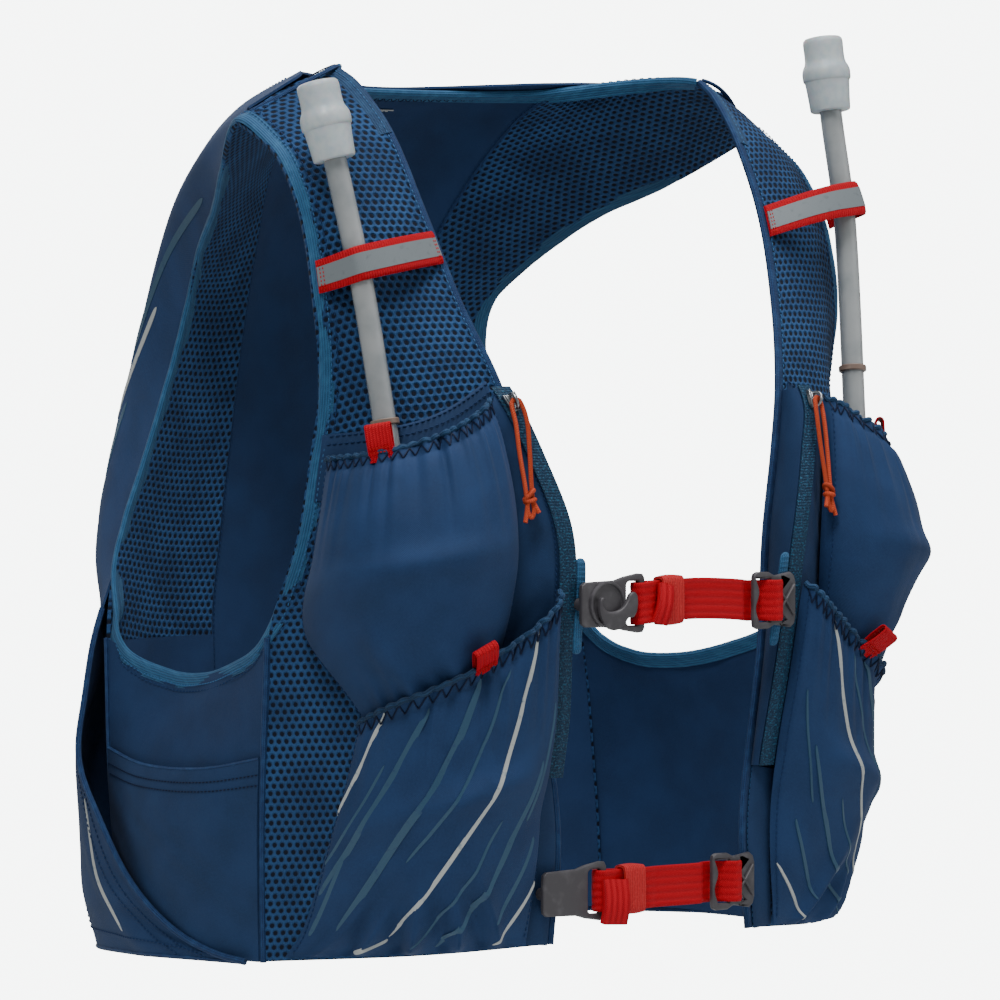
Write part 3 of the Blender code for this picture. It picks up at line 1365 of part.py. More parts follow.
def tab(name, side, place, row, lean):
    """A folded loop of webbing that stands up from a pocket's mouth."""
    width, height = TAB_WIDTH, TAB_LENGTH
    surface = front_surface(side)
    reach = 0.02
    s = np.array([row.s, row.s + reach, row.s])
    t = np.array([row.t, row.t, row.t - 0.02])
    u, v, _, lift = place(side, s, t)
    points = surface.lifted(u, v, lift)
    along = unit(points[1] - points[0])
    normal = surface.normal(u[0], v[0])
    up = unit(np.cross(along, normal))
    up = unit(up * np.sign(up[2]) + lean * normal)
    origin = points[0] + up * SEAM_GAP * 1.5 + normal * TAB_THICK * (0.45 * lean - 0.2)
    frame = Frame(origin, up, normal)
    half = TAB_THICK * 0.75
    arc = [(height + half * math.sin(q), half * math.cos(q)) for q in np.linspace(0, np.pi, 6)]
    path = [(0.0004, 0.35 * half), (0.4 * height, half), *arc, (0.4 * height, -half)]
    path.append((0.0004, -0.35 * half - 0.0008))
    return ribbon(name, path, TAB_THICK * 0.4, width, frame, "red_webbing")


def make_tabs(side):
    word = SIDE_NAMES[side]
    tab(f"flask_tab_{word}", side, flask_pocket_at, FLASK_TAB, 0.0)
    tab(f"lower_tab_{word}", side, lower_pocket_at, LOWER_TAB, LOWER_TAB_LEAN)


def main():
    clear_scene()
    make_back()
    make_back_shell()
    make_neck_binding()
    for side in (RIGHT, LEFT):
        make_front_mesh(side)
        make_side(side)
        make_bindings(side)
        make_zip(side)
        make_pockets(side)
        make_flask(side)
        make_straw(side)
        make_keeper(side)
        make_rail(side)
        make_slider(side)
        make_tabs(side)
    make_strap("chest", CHEST_LEVEL, TAPE_RISE + ZIP_THICK, WEBBING_ARCH)
    make_strap("waist", WAIST_LEVEL, LAYER_GAP + STRIP_THICK, 0.0, WAIST_SHIFT, WAIST_DROPS)


main()
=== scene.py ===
"""Looks of a running hydration vest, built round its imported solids.

The cloth, trim, buckles, flasks and tubes are made here at full detail. Every length is
in metres, +Z is up and the wearer faces -Y.
"""

from __future__ import annotations

import json
import logging
import math
from dataclasses import dataclass, field
from enum import Enum
from typing import Callable, NamedTuple, Optional, Sequence, Union

import bmesh
import bpy
import numpy as np
from mathutils import Matrix

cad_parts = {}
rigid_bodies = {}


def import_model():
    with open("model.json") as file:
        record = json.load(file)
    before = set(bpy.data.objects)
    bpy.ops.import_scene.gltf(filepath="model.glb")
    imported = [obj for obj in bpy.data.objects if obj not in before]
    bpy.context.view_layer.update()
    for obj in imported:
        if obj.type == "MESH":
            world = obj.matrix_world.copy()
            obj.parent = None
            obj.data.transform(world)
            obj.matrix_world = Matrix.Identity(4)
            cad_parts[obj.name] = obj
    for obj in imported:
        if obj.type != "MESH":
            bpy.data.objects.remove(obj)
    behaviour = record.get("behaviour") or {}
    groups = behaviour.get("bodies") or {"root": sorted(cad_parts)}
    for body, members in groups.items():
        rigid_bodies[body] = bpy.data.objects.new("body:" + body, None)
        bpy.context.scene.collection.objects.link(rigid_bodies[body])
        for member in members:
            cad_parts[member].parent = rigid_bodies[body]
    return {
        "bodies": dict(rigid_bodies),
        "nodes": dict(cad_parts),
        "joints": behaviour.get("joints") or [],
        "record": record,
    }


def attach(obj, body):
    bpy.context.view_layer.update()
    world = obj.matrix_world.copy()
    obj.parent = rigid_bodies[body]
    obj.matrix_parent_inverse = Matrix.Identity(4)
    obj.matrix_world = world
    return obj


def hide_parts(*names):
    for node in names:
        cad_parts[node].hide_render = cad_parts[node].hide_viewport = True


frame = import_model()

LOG = logging.getLogger("vest")
ROOT = "root"

# Driving sizes of the vest, the same as its solids have
VEST_HEIGHT = 0.442
HALF_WIDTH = 0.170
FRONT_DEPTH = 0.130
BACK_DEPTH = 0.145
SEAT_SHARE = 0.962

MESH_THICK = 0.0022
STITCH_LIFT = 0.0002
WOVEN_THICK = 0.0012
LAYER_GAP = 0.0005
SEAM_GAP = 0.0004
FIT_GAP = 0.0004
BINDING_WIDTH = 0.0080
EDGE_BINDING_WIDTH = 0.0055
ZIP_WIDTH = 0.0100
ZIP_THICK = 0.0020
STRIP_THICK = 0.0012
TAPE_RISE = 2 * LAYER_GAP + 0.0012
FLASK_BULGE = 0.039
LOWER_BULGE = 0.020
SHELL_BULGE = 0.036
SIDE_BULGE = 0.0030
NECK_END = 0.68
ARMHOLE_FOOT_FRONT = 0.372
ARMHOLE_FOOT_BACK = 0.370
FACING_EDGE = 0.46
FACING_TOP = 0.560
FLASK_CROWN, LOWER_CROWN = 0.55, 0.50
POCKET_CLEARANCE = 0.0012
MOUTH_SAG = 0.016
ZIP_FOOT, ZIP_HEAD = 0.230, 0.645
CHEST_LEVEL, WAIST_LEVEL = 0.409, 0.080
WAIST_SHIFT = (-0.006, -0.007)
SLIDER_LEVEL = 0.628
SIDE_MOUTH = 0.66

Array = np.ndarray
Piece = bpy.types.Object
Point = tuple[float, float, float]


class Side(Enum):
    """The wearer's right (-X) or left (+X) half of the vest."""

    RIGHT = -1
    LEFT = 1

    @property
    def word(self) -> str:
        """The word that ends the names of this side's nodes."""
        return self.name.lower()

    @property
    def sign(self) -> int:
        """-1 on the wearer's right, 1 on the left."""
        return self.value


class FrontRow(NamedTuple):
    """One section of a front half, hem to shoulder line, in shares of the driving sizes."""
    at: float
    inner_x: float
    inner_y: float
    inner_h: float
    mid_x: float
    mid_y: float
    mid_h: float
    outer_x: float
    outer_y: float
    outer_h: float


FRONT_ROWS: tuple[FrontRow, ...] = (
    FrontRow(0.00, 0.368, -0.915, 0.044, 0.74, -0.73, 0.036, 0.97, -0.19, 0.023),
    FrontRow(0.17, 0.342, -0.915, 0.170, 0.765, -0.81, 0.170, 0.99, -0.22, 0.170),
    FrontRow(0.36, 0.415, -0.910, 0.360, 0.78, -0.83, 0.362, 1.00, -0.26, 0.372),
    FrontRow(0.48, 0.435, -0.908, 0.480, 0.78, -0.84, 0.484, 1.00, -0.43, 0.484),
    FrontRow(0.58, 0.482, -0.892, 0.580, 0.78, -0.82, 0.580, 0.98, -0.48, 0.578),
    FrontRow(0.65, 0.522, -0.860, 0.650, 0.79, -0.76, 0.648, 0.97, -0.51, 0.645),
    FrontRow(0.74, 0.590, -0.740, 0.740, 0.81, -0.68, 0.738, 1.00, -0.53, 0.735),
    FrontRow(0.84, 0.635, -0.600, 0.840, 0.84, -0.56, 0.838, 1.005, -0.46, 0.832),
    FrontRow(0.93, 0.655, -0.430, 0.930, 0.84, -0.39, 0.920, 1.00, -0.31, 0.898),
    FrontRow(0.97, 0.675, -0.275, 0.980, 0.84, -0.230, 0.958, 0.995, -0.160, 0.924),
    FrontRow(1.00, 0.690, -0.166, 1.000, 0.84, -0.100, 0.977, 0.99, -0.040, 0.938),
)


class BackRow(NamedTuple):
    """One section of the back lining's half: spine, two points between, edge."""
    at: float
    spine_y: float
    spine_h: float
    near_x: float
    near_y: float
    near_h: float
    far_x: float
    far_y: float
    far_h: float
    edge_x: float
    edge_y: float
    edge_h: float


BACK_ROWS: tuple[BackRow, ...] = (
    BackRow(0.00, 0.87, 0.000, 0.33, 0.86, 0.001, 0.66, 0.83, 0.006, 0.92, 0.66, 0.024),
    BackRow(0.18, 0.93, 0.180, 0.34, 0.93, 0.180, 0.67, 0.89, 0.180, 0.94, 0.73, 0.180),
    BackRow(0.37, 0.98, 0.370, 0.33, 0.97, 0.370, 0.64, 0.93, 0.370, 0.92, 0.80, 0.370),
    BackRow(0.48, 1.00, 0.480, 0.28, 0.99, 0.480, 0.56, 0.96, 0.480, 0.83, 0.87, 0.480),
    BackRow(0.59, 1.01, 0.590, 0.24, 1.00, 0.590, 0.47, 0.97, 0.590, 0.70, 0.90, 0.590),
    BackRow(0.72, 0.98, 0.715, 0.22, 0.97, 0.717, 0.41, 0.94, 0.720, 0.59, 0.88, 0.724),
    BackRow(0.80, 0.92, 0.815, 0.24, 0.88, 0.810, 0.47, 0.79, 0.800, 0.66, 0.70, 0.793),
    BackRow(0.88, 0.81, 0.905, 0.30, 0.75, 0.895, 0.56, 0.54, 0.880, 0.76, 0.44, 0.850),
    BackRow(0.95, 0.69, 0.962, 0.36, 0.58, 0.958, 0.63, 0.22, 0.948, 0.89, 0.20, 0.890),
    BackRow(0.98, 0.635, 0.977, 0.40, 0.48, 0.978, 0.665, -0.01, 0.990, 0.960, 0.055, 0.920),
    BackRow(1.00, 0.60, 0.985, 0.42, 0.42, 0.988, 0.690, -0.15, 1.000, 0.99, -0.036, 0.938),
)


class SideRow(NamedTuple):
    """One section of a side panel: two points between its seams."""
    at: float
    fore_x: float
    fore_y: float
    fore_h: float
    rear_x: float
    rear_y: float
    rear_h: float


SIDE_ROWS: tuple[SideRow, ...] = (
    SideRow(0.0, 1.010, 0.080, 0.024, 1.010, 0.370, 0.024),
    SideRow(0.5, 1.020, 0.100, 0.176, 1.010, 0.420, 0.176),
    SideRow(1.0, 0.950, 0.080, 0.343, 0.900, 0.440, 0.332),
)


class LipRow(NamedTuple):
    """One section of the back shell's free lower part, from its lip to the spine."""
    at: float
    lip_x: float
    lip_y: float
    lip_h: float
    far_x: float
    far_y: float
    far_h: float
    near_x: float
    near_y: float
    near_h: float
    spine_y: float
    spine_h: float


LIP_ROWS: tuple[LipRow, ...] = (
    LipRow(0.000, 1.012, -0.14, 0.024, 1.045, 0.38, 0.021, 0.80, 0.97, 0.012, 0.975, 0.000),
    LipRow(0.060, 1.050, 0.15, 0.045, 1.040, 0.59, 0.068, 0.80, 1.02, 0.072, 1.045, 0.070),
    LipRow(0.120, 1.065, 0.41, 0.100, 1.015, 0.74, 0.118, 0.77, 1.05, 0.125, 1.100, 0.125),
    LipRow(0.190, 1.075, 0.59, 0.170, 0.995, 0.83, 0.185, 0.74, 1.08, 0.192, 1.150, 0.192),
    LipRow(0.260, 1.040, 0.75, 0.226, 0.955, 0.89, 0.253, 0.72, 1.10, 0.267, 1.185, 0.267),
    LipRow(0.320, 0.995, 0.80, 0.290, 0.895, 0.90, 0.310, 0.70, 1.10, 0.324, 1.195, 0.324),
    LipRow(0.378, 0.935, 0.825, 0.370, 0.855, 0.91, 0.375, 0.67, 1.11, 0.380, 1.210, 0.380),
)


class ShellRow(NamedTuple):
    """How far the shell's upper part stands off the back, in shares of SHELL_BULGE."""
    at: float
    edge: float
    far: float
    near: float
    spine: float


SHELL_ROWS: tuple[ShellRow, ...] = (
    ShellRow(0.46, 0.05, 0.84, 1.00, 1.02),
    ShellRow(0.57, 0.08, 1.10, 1.06, 1.04),
    ShellRow(0.68, 0.08, 1.12, 1.08, 1.06),
    ShellRow(0.78, 0.07, 0.92, 1.00, 1.00),
    ShellRow(0.87, 0.06, 0.66, 0.72, 0.78),
    ShellRow(0.94, 0.06, 0.46, 0.44, 0.44),
    ShellRow(1.00, 0.06, 0.08, 0.08, 0.08),
)


VALVE_OUTLINE = (
    (0.80, 0.000), (0.85, 0.010), (0.87, 0.030), (0.90, 0.180), (0.94, 0.330), (0.96, 0.385),
    (0.965, 0.400), (1.00, 0.410), (1.03, 0.430), (1.04, 0.470), (1.04, 0.520), (1.02, 0.560),
    (0.97, 0.600), (0.90, 0.640), (0.865, 0.690), (0.855, 0.760), (0.86, 0.860), (0.865, 0.920),
    (0.84, 0.965), (0.76, 0.990), (0.60, 1.000), (0.30, 0.992), (0.22, 0.960),
)
"""The bite valve from its socket to its lip: shares of its radius and of its length."""

HOOK_INSIDE = (
    (-0.0056, 0.0030), (-0.0066, 0.0002), (-0.0052, -0.0022), (-0.0022, -0.0034),
    (0.0030, -0.0030), (0.0066, -0.0012), (0.0092, 0.0020), (0.0104, 0.0046),
)
HOOK_OUTSIDE = (
    (0.0132, 0.0056), (0.0152, 0.0034), (0.0150, -0.0030), (0.0128, -0.0064),
    (0.0096, -0.0068), (0.0072, -0.0096), (0.0030, -0.0122), (-0.0016, -0.0120),
    (-0.0056, -0.0092), (-0.0082, -0.0044), (-0.0086, 0.0006), (-0.0074, 0.0034),
)
"""The open hook of the chest buckle, measured from its boss along and across the webbing."""


class RidgeRow(NamedTuple):
    """The raised zip line: its height off the front and its start from the edge."""
    at: float
    lift: float
    start: float


RIDGE_ROWS: tuple[RidgeRow, ...] = (
    RidgeRow(0.000, 0.0010, 0.0065),
    RidgeRow(0.180, 0.0010, 0.0050),
    RidgeRow(0.240, 0.0055, 0.0010),
    RidgeRow(0.300, 0.0110, -0.0035),
    RidgeRow(0.370, 0.0155, -0.0060),
    RidgeRow(0.490, 0.0215, -0.0060),
    RidgeRow(0.580, 0.0160, -0.0005),
    RidgeRow(0.625, 0.0120, 0.0020),
    RidgeRow(0.665, 0.0020, 0.0025),
)


class PocketRow(NamedTuple):
    """A pocket's two sides at one level, and how full it is there."""
    at: float
    inner_u: float
    inner_v: float
    outer_u: float
    outer_v: float
    full: float


FLASK_POCKET_ROWS: tuple[PocketRow, ...] = (
    PocketRow(0.00, 0.36, 0.235, 0.60, 0.215, 0.02),
    PocketRow(0.12, 0.32, 0.285, 0.67, 0.262, 0.22),
    PocketRow(0.24, 0.28, 0.335, 0.75, 0.305, 0.48),
    PocketRow(0.42, 0.23, 0.410, 0.89, 0.375, 0.86),
    PocketRow(0.68, 0.20, 0.510, 0.92, 0.465, 1.00),
    PocketRow(0.88, 0.14, 0.590, 0.92, 0.535, 0.80),
    PocketRow(1.00, 0.10, 0.628, 0.92, 0.572, 0.58),
)

LOWER_POCKET_ROWS: tuple[PocketRow, ...] = (
    PocketRow(0.00, 0.012, 0.006, 0.93, 0.006, 0.03),
    PocketRow(0.12, 0.012, 0.055, 0.88, 0.035, 0.45),
    PocketRow(0.35, 0.012, 0.150, 0.83, 0.105, 0.90),
    PocketRow(0.65, 0.012, 0.280, 0.79, 0.185, 1.00),
    PocketRow(0.88, 0.012, 0.385, 0.755, 0.250, 1.00),
    PocketRow(1.00, 0.012, 0.430, 0.735, 0.285, 1.00),
)


class StrawRow(NamedTuple):
    """A point of a drinking tube: shares of HALF_WIDTH, FRONT_DEPTH and VEST_HEIGHT."""

    x: float
    y: float
    h: float


STRAW_ROWS: dict[Side, tuple[StrawRow, ...]] = {
    Side.RIGHT: (
        StrawRow(0.878, -0.776, 0.577),
        StrawRow(0.907, -0.668, 0.752),
        StrawRow(0.926, -0.575, 0.860),
        StrawRow(0.950, -0.520, 0.935),
    ),
    Side.LEFT: (
        StrawRow(0.890, -0.786, 0.577),
        StrawRow(0.956, -0.630, 0.836),
        StrawRow(0.960, -0.550, 0.950),
        StrawRow(0.958, -0.520, 1.006),
    ),
}


def unit(vectors: Array) -> Array:
    """Vectors of length 1 that point the same way."""
    vectors = np.asarray(vectors, float)
    return vectors / np.maximum(np.linalg.norm(vectors, axis=-1, keepdims=True), 1e-12)


def smooth(share: Union[Array, float]) -> Array:
    """A soft step from 0 to 1."""
    share = np.clip(share, 0, 1)
    return share * share * (3 - 2 * share)


def dome(share: Array, power: float = 1.0) -> Array:
    """Rises from 0 to 1 in the middle and falls back to 0, for shares from 0 to 1."""
    return np.sin(np.pi * np.clip(share, 0, 1)) ** power


def weights(knots: Sequence[float], at: Array) -> Array:
    """Rows of weights that give a smooth curve through values at the knots.

    Args:
        knots: Where the values lie.
        at: Where the curve is read.

    Returns:
        One row of weights for each place read.
    """
    knots, at = np.asarray(knots, float), np.atleast_1d(np.asarray(at, float))
    count = len(knots)
    slopes = np.zeros((count, count))
    for i in range(count):
        low, high = max(i - 1, 0), min(i + 1, count - 1)
        slopes[i, high] += 1 / (knots[high] - knots[low])
        slopes[i, low] -= 1 / (knots[high] - knots[low])
    k = np.clip(np.searchsorted(knots, at, side="right") - 1, 0, count - 2)
    span = knots[k + 1] - knots[k]
    t = (at - knots[k]) / span
    points = np.zeros((len(at), count))
    rows = np.arange(len(at))
    points[rows, k] += 2 * t**3 - 3 * t**2 + 1
    points[rows, k + 1] += 3 * t**2 - 2 * t**3
    points += ((t**3 - 2 * t**2 + t) * span)[:, None] * slopes[k]
    points += ((t**3 - t**2) * span)[:, None] * slopes[k + 1]
    return points


def line_of(rows: Sequence[NamedTuple], column: str, at: Array) -> Array:
    """A smooth value from one named column of a table.

    Args:
        rows: The table, whose rows have a column called at.
        column: The column to read.
        at: Where to read it, of any shape.

    Returns:
        The values, in the shape of at.
    """
    at = np.asarray(at, float)
    values = np.array([getattr(row, column) for row in rows])
    return (weights([row.at for row in rows], at.ravel()) @ values).reshape(at.shape)


def curve_through(points: Array, count: int, closed: bool = False) -> Array:
    """Evenly spaced points along a smooth curve through a few points.

    Args:
        points: The points that the curve passes.
        count: How many points to give back.
        closed: Whether the curve joins its own start.

    Returns:
        An array of count points.
    """
    points = np.asarray(points, float)
    if closed:
        points = np.vstack([points[-2:], points, points[:3]])
    steps = np.linalg.norm(np.diff(points, axis=0), axis=1)
    knots = np.concatenate([[0], np.cumsum(steps)])
    first, last = (knots[2], knots[-3]) if closed else (0, knots[-1])
    line = weights(knots, np.linspace(first, last, 16 * count)) @ points
    along = np.concatenate([[0], np.cumsum(np.linalg.norm(np.diff(line, axis=0), axis=1))])
    at = np.linspace(0, along[-1], count + 1)[:-1] if closed else np.linspace(0, along[-1], count)
    return np.stack([np.interp(at, along, line[:, axis]) for axis in range(3)], axis=1)


def tangents(line: Array, closed: bool = False) -> Array:
    """The way a line runs at each of its points."""
    if closed:
        return unit(np.roll(line, -1, axis=0) - np.roll(line, 1, axis=0))
    return unit(np.gradient(line, axis=0))


def lengths(line: Array) -> Array:
    """The distance along a line to each of its points."""
    steps = np.linalg.norm(np.diff(line, axis=0), axis=1)
    return np.concatenate([[0], np.cumsum(steps)])


def placed(x: float, y: float, h: float, depth: float, sign: int) -> Point:
    """A point from shares of the vest's width, a depth and its height."""
    return (sign * x * HALF_WIDTH, y * depth, (h - SEAT_SHARE) * VEST_HEIGHT)


class Ripple:
    """Waves of uneven spacing and depth, the same each run."""

    def __init__(self, seed: int, count: int, low: float, high: float) -> None:
        """Draws the waves.

        Args:
            seed: Which set of waves.
            count: How many waves are added up.
            low: The fewest waves in a unit of length.
            high: The most waves in a unit of length.
        """
        draw = np.random.default_rng(seed)
        self.rates = draw.uniform(low, high, count)
        self.starts = draw.uniform(0, 2 * np.pi, count)
        self.sizes = draw.uniform(0.5, 1.0, count)
        self.sizes /= self.sizes.sum()

    def at(self, where: Array) -> Array:
        """The waves' height, from -1 to 1, at distances of any shape."""
        where = np.asarray(where, float)[..., None]
        return (np.sin(2 * np.pi * self.rates * where + self.starts) * self.sizes).sum(-1)


@dataclass
class Surface:
    """A smooth sheet through a grid of points: u across, v up, facing out.

    Attributes:
        across: u of the grid's columns.
        up: v of the grid's rows.
        grid: The points, row by row.
        turn: 1 or -1, which side faces out.
    """

    across: Sequence[float]
    up: Sequence[float]
    grid: Array
    turn: int
    step: float = 1e-3

    def point(self, u: Array, v: Array) -> Array:
        """Points on the sheet, in the shape of u and v."""
        u, v = np.broadcast_arrays(np.asarray(u, float), np.asarray(v, float))
        wide, tall = weights(self.across, u.ravel()), weights(self.up, v.ravel())
        flat = np.einsum("mi,mj,ijk->mk", tall, wide, np.asarray(self.grid))
        return flat.reshape(*u.shape, 3)

    def normal(self, u: Array, v: Array) -> Array:
        """Ways off the sheet, in the shape of u and v."""
        u, v = np.broadcast_arrays(np.asarray(u, float), np.asarray(v, float))
        wide = self.point(u + self.step, v) - self.point(u - self.step, v)
        tall = self.point(u, v + self.step) - self.point(u, v - self.step)
        return unit(self.turn * np.cross(wide, tall))

    def lifted(self, u: Array, v: Array, height: Union[Array, float]) -> Array:
        """Points that stand off the sheet by a height."""
        height = np.broadcast_to(height, np.broadcast(u, v).shape)
        return self.point(u, v) + self.normal(u, v) * height[..., None]

    def width(self, v: float) -> float:
        """The sheet's width at a height."""
        return float(lengths(self.point(np.linspace(self.across[0], self.across[-1], 24), v))[-1])

    def at_distance(self, v: float, distance: float) -> float:
        """u at a distance along the cloth from where u is 0."""
        share = np.linspace(0, 1, 60)
        return float(np.interp(distance, lengths(self.point(share, v)), share))


class VestForm:
    """The shapes that every cloth piece lies on, the same as the solids'."""

    def __init__(self) -> None:
        """Works out the surfaces once."""
        self.fronts = {side: self._front(side.sign) for side in Side}
        self.back = self._back()
        self.flanks = {side: self._flank(side) for side in Side}
        self.shell = self._shell()
        self._lower_lifts: dict[Side, tuple[Array, Array, Array]] = {}

    @staticmethod
    def _front(sign: int) -> Surface:
        """One front half, from its free edge to the side seam or armhole."""
        grid = [
            [
                placed(row.inner_x, row.inner_y, row.inner_h, FRONT_DEPTH, sign),
                placed(row.mid_x, row.mid_y, row.mid_h, FRONT_DEPTH, sign),
                placed(row.outer_x, row.outer_y, row.outer_h, FRONT_DEPTH, sign),
            ]
            for row in FRONT_ROWS
        ]
        return Surface((0.0, 0.55, 1.0), [row.at for row in FRONT_ROWS], np.array(grid), sign)

    @staticmethod
    def _mirrored(points: Sequence[Point], spine: Point) -> list[Point]:
        """A row of points from the right edge over the spine to the left edge."""
        right = [placed(*point, BACK_DEPTH, -1) for point in points]
        left = [placed(*point, BACK_DEPTH, 1) for point in points]
        return [*right, placed(*spine, BACK_DEPTH, 1), *left[::-1]]

    def _back(self) -> Surface:
        """The back lining, from the right armhole to the left."""
        grid = []
        for row in BACK_ROWS:
            half = [(row.edge_x, row.edge_y, row.edge_h), (row.far_x, row.far_y, row.far_h),
                (row.near_x, row.near_y, row.near_h)]
            grid.append(self._mirrored(half, (0, row.spine_y, row.spine_h)))
        across = (-1.0, -0.68, -0.34, 0.0, 0.34, 0.68, 1.0)
        return Surface(across, [row.at for row in BACK_ROWS], np.array(grid), -1)

    def _flank(self, side: Side) -> Surface:
        """A side panel, from the front seam to the back seam."""
        front, sign = self.fronts[side], side.sign
        grid = []
        for row in SIDE_ROWS:
            seam = front.point(1.0, row.at * ARMHOLE_FOOT_FRONT)
            spine = self.back.point(float(sign), row.at * ARMHOLE_FOOT_BACK)
            fore = placed(row.fore_x, row.fore_y, row.fore_h, BACK_DEPTH, sign)
            rear = placed(row.rear_x, row.rear_y, row.rear_h, BACK_DEPTH, sign)
            grid.append([seam, fore, rear, spine])
        ups = [row.at for row in SIDE_ROWS]
        return Surface((0.0, 0.33, 0.68, 1.0), ups, np.array(grid), sign)

    def back_edge(self, v: float, spare: float = 0.0) -> float:
        """u where the back's cloth ends beside the armhole or side seam."""
        inset = BINDING_WIDTH + SEAM_GAP + spare if v > ARMHOLE_FOOT_BACK else 0.003
        share = np.linspace(1.0, 0.5, 80)
        line = self.back.point(share, v)
        return float(np.interp(inset * 1.15, lengths(line), share))

    def _shell(self) -> Surface:
        """The outer back, fuller than the lining and free at its two side mouths."""
        across = (-1.0, -0.86, -0.50, 0.0, 0.50, 0.86, 1.0)
        ups, grid = [], []
        for row in LIP_ROWS:
            half = [(row.lip_x, row.lip_y, row.lip_h), (row.far_x, row.far_y, row.far_h),
                (row.near_x, row.near_y, row.near_h)]
            grid.append(self._mirrored(half, (0, row.spine_y, row.spine_h)))
            ups.append(row.at)
        for row in SHELL_ROWS:
            half = [row.edge, row.far, row.near]
            lift = LAYER_GAP + SHELL_BULGE * np.array([*half, row.spine, *half[::-1]])
            inward = self.back_edge(min(row.at, 0.97), 0.0006)
            grid.append(self.back.lifted(np.array(across) * inward, row.at, lift))
            ups.append(row.at)
        return Surface(across, ups, np.array([np.array(row) for row in grid]), -1)

    def tape_side(self, side: Side, v: Array, outer: bool) -> Array:
        """u of the zip tape's inner or outer side; below 0 is off the front's edge.

        Args:
            side: Which half of the vest.
            v: Levels on the front.
            outer: Whether the tape's outer side is asked for.

        Returns:
            One u for each level.
        """
        surface = self.fronts[side]
        v = np.asarray(v, float)
        flat = v.ravel()
        start = line_of(RIDGE_ROWS, "start", flat) + (ZIP_WIDTH if outer else 0.0)
        knots = np.linspace(0, 0.7, 36)
        rate = np.interp(flat, knots, [surface.width(one) for one in knots])
        gap = surface.point(0.05, flat) - surface.point(0.0, flat)
        near = np.linalg.norm(gap, axis=-1) / 0.05
        return np.where(start > 0, start / near, start / rate).reshape(v.shape)

    def tape_line(self, side: Side, v: Array) -> tuple[Array, Array, Array]:
        """The zip tape's inner side, and the ways across it and off it."""
        surface = self.fronts[side]
        start = line_of(RIDGE_ROWS, "start", v)[:, None]
        across = unit(surface.point(0.12, v) - surface.point(0.0, v))
        off = surface.normal(0.03, v)
        height = line_of(RIDGE_ROWS, "lift", v)[:, None]
        return surface.point(0.0, v) + across * start + off * height, across, off

    def facing_lift(self, side: Side, u: Array, v: Array) -> Array:
        """Height of the zip facing's underside: full at the tape, falling to the mesh."""
        start = self.tape_side(side, v, True)
        fall = 1 - smooth((u - start) / (FACING_EDGE - 0.02 - start))
        return LAYER_GAP + line_of(RIDGE_ROWS, "lift", v) * fall

    def pocket_base(self, side: Side, u: Array, v: Array) -> Array:
        """Height at which a pocket is sewn down, over the facing or the bare mesh."""
        cover = np.clip((FACING_EDGE + 0.06 - u) / 0.05, 0, 1)
        return self.facing_lift(side, u, v) + cover * (STRIP_THICK + LAYER_GAP)

    def on_front(self, side: Side, rows: Sequence[PocketRow], s: Array, t: Array,
        sag: float = 0.0) -> tuple[Array, Array]:
        """u and v on the front for a pocket's own s (across) and t (foot to mouth)."""
        s, t = np.broadcast_arrays(np.asarray(s, float), np.asarray(t, float))
        columns = ("inner_u", "inner_v", "outer_u", "outer_v")
        inner_u, inner_v, outer_u, outer_v = (line_of(rows, name, t) for name in columns)
        dip = sag * np.sin(np.pi * s) * np.clip(t, 0, 1) ** 3
        v = inner_v + (outer_v - inner_v) * s - dip
        tape = self.tape_side(side, inner_v, True)
        return tape + (1 - tape) * (inner_u + (outer_u - inner_u) * s), v

    @staticmethod
    def fullness(rows: Sequence[PocketRow], bulge: float, crown: float, s: Array, t: Array) -> Array:
        """How far a pocket's outer face stands off its base, before its gathers."""
        s, t = np.broadcast_arrays(np.asarray(s, float), np.asarray(t, float))
        over = dome(s, crown)
        return WOVEN_THICK + bulge * line_of(rows, "full", t) * over

    def flask_pocket(self, side: Side, s: Array, t: Array) -> tuple[Array, Array, Array, Array]:
        """u, v and the heights of a flask pocket's base and outer face."""
        u, v = self.on_front(side, FLASK_POCKET_ROWS, s, t, MOUTH_SAG)
        base = self.pocket_base(side, u, v)
        full = self.fullness(FLASK_POCKET_ROWS, FLASK_BULGE, FLASK_CROWN, s, t)
        return u, v, base, base + full

    def _lower_coarse(self, side: Side) -> tuple[Array, Array, Array]:
        """The lower pocket's height on a coarse grid, lifted over the flask pocket."""
        reach = 0.0045
        row_s, row_t = np.linspace(0, 1, 41), np.linspace(0, 1, 31)
        s, t = np.meshgrid(row_s, row_t)
        u, v = self.on_front(side, LOWER_POCKET_ROWS, s, t)
        base = self.pocket_base(side, u, v) + FIT_GAP / 2
        full = self.fullness(LOWER_POCKET_ROWS, LOWER_BULGE, LOWER_CROWN, s, t)
        fine_s, fine_t = np.meshgrid(np.linspace(0, 1, 49), np.linspace(0, 0.7, 57))
        under_u, under_v, _, under = self.flask_pocket(side, fine_s, fine_t)
        wide = self.fronts[side].width(0.3)
        apart = ((u.ravel()[:, None] - under_u.ravel()[None]) * wide) ** 2
        apart += ((v.ravel()[:, None] - under_v.ravel()[None]) * VEST_HEIGHT) ** 2
        close = np.exp(-apart / reach**2)
        mean = (close * under.ravel()[None]).sum(axis=1) / (close.sum(axis=1) + 1e-9)
        over = (mean + WOVEN_THICK + POCKET_CLEARANCE).reshape(u.shape)
        inside = apart.min(axis=1).reshape(u.shape) < reach**2
        lift = np.where(inside, np.maximum(base + full, over), base + full)
        return row_s, row_t, lift

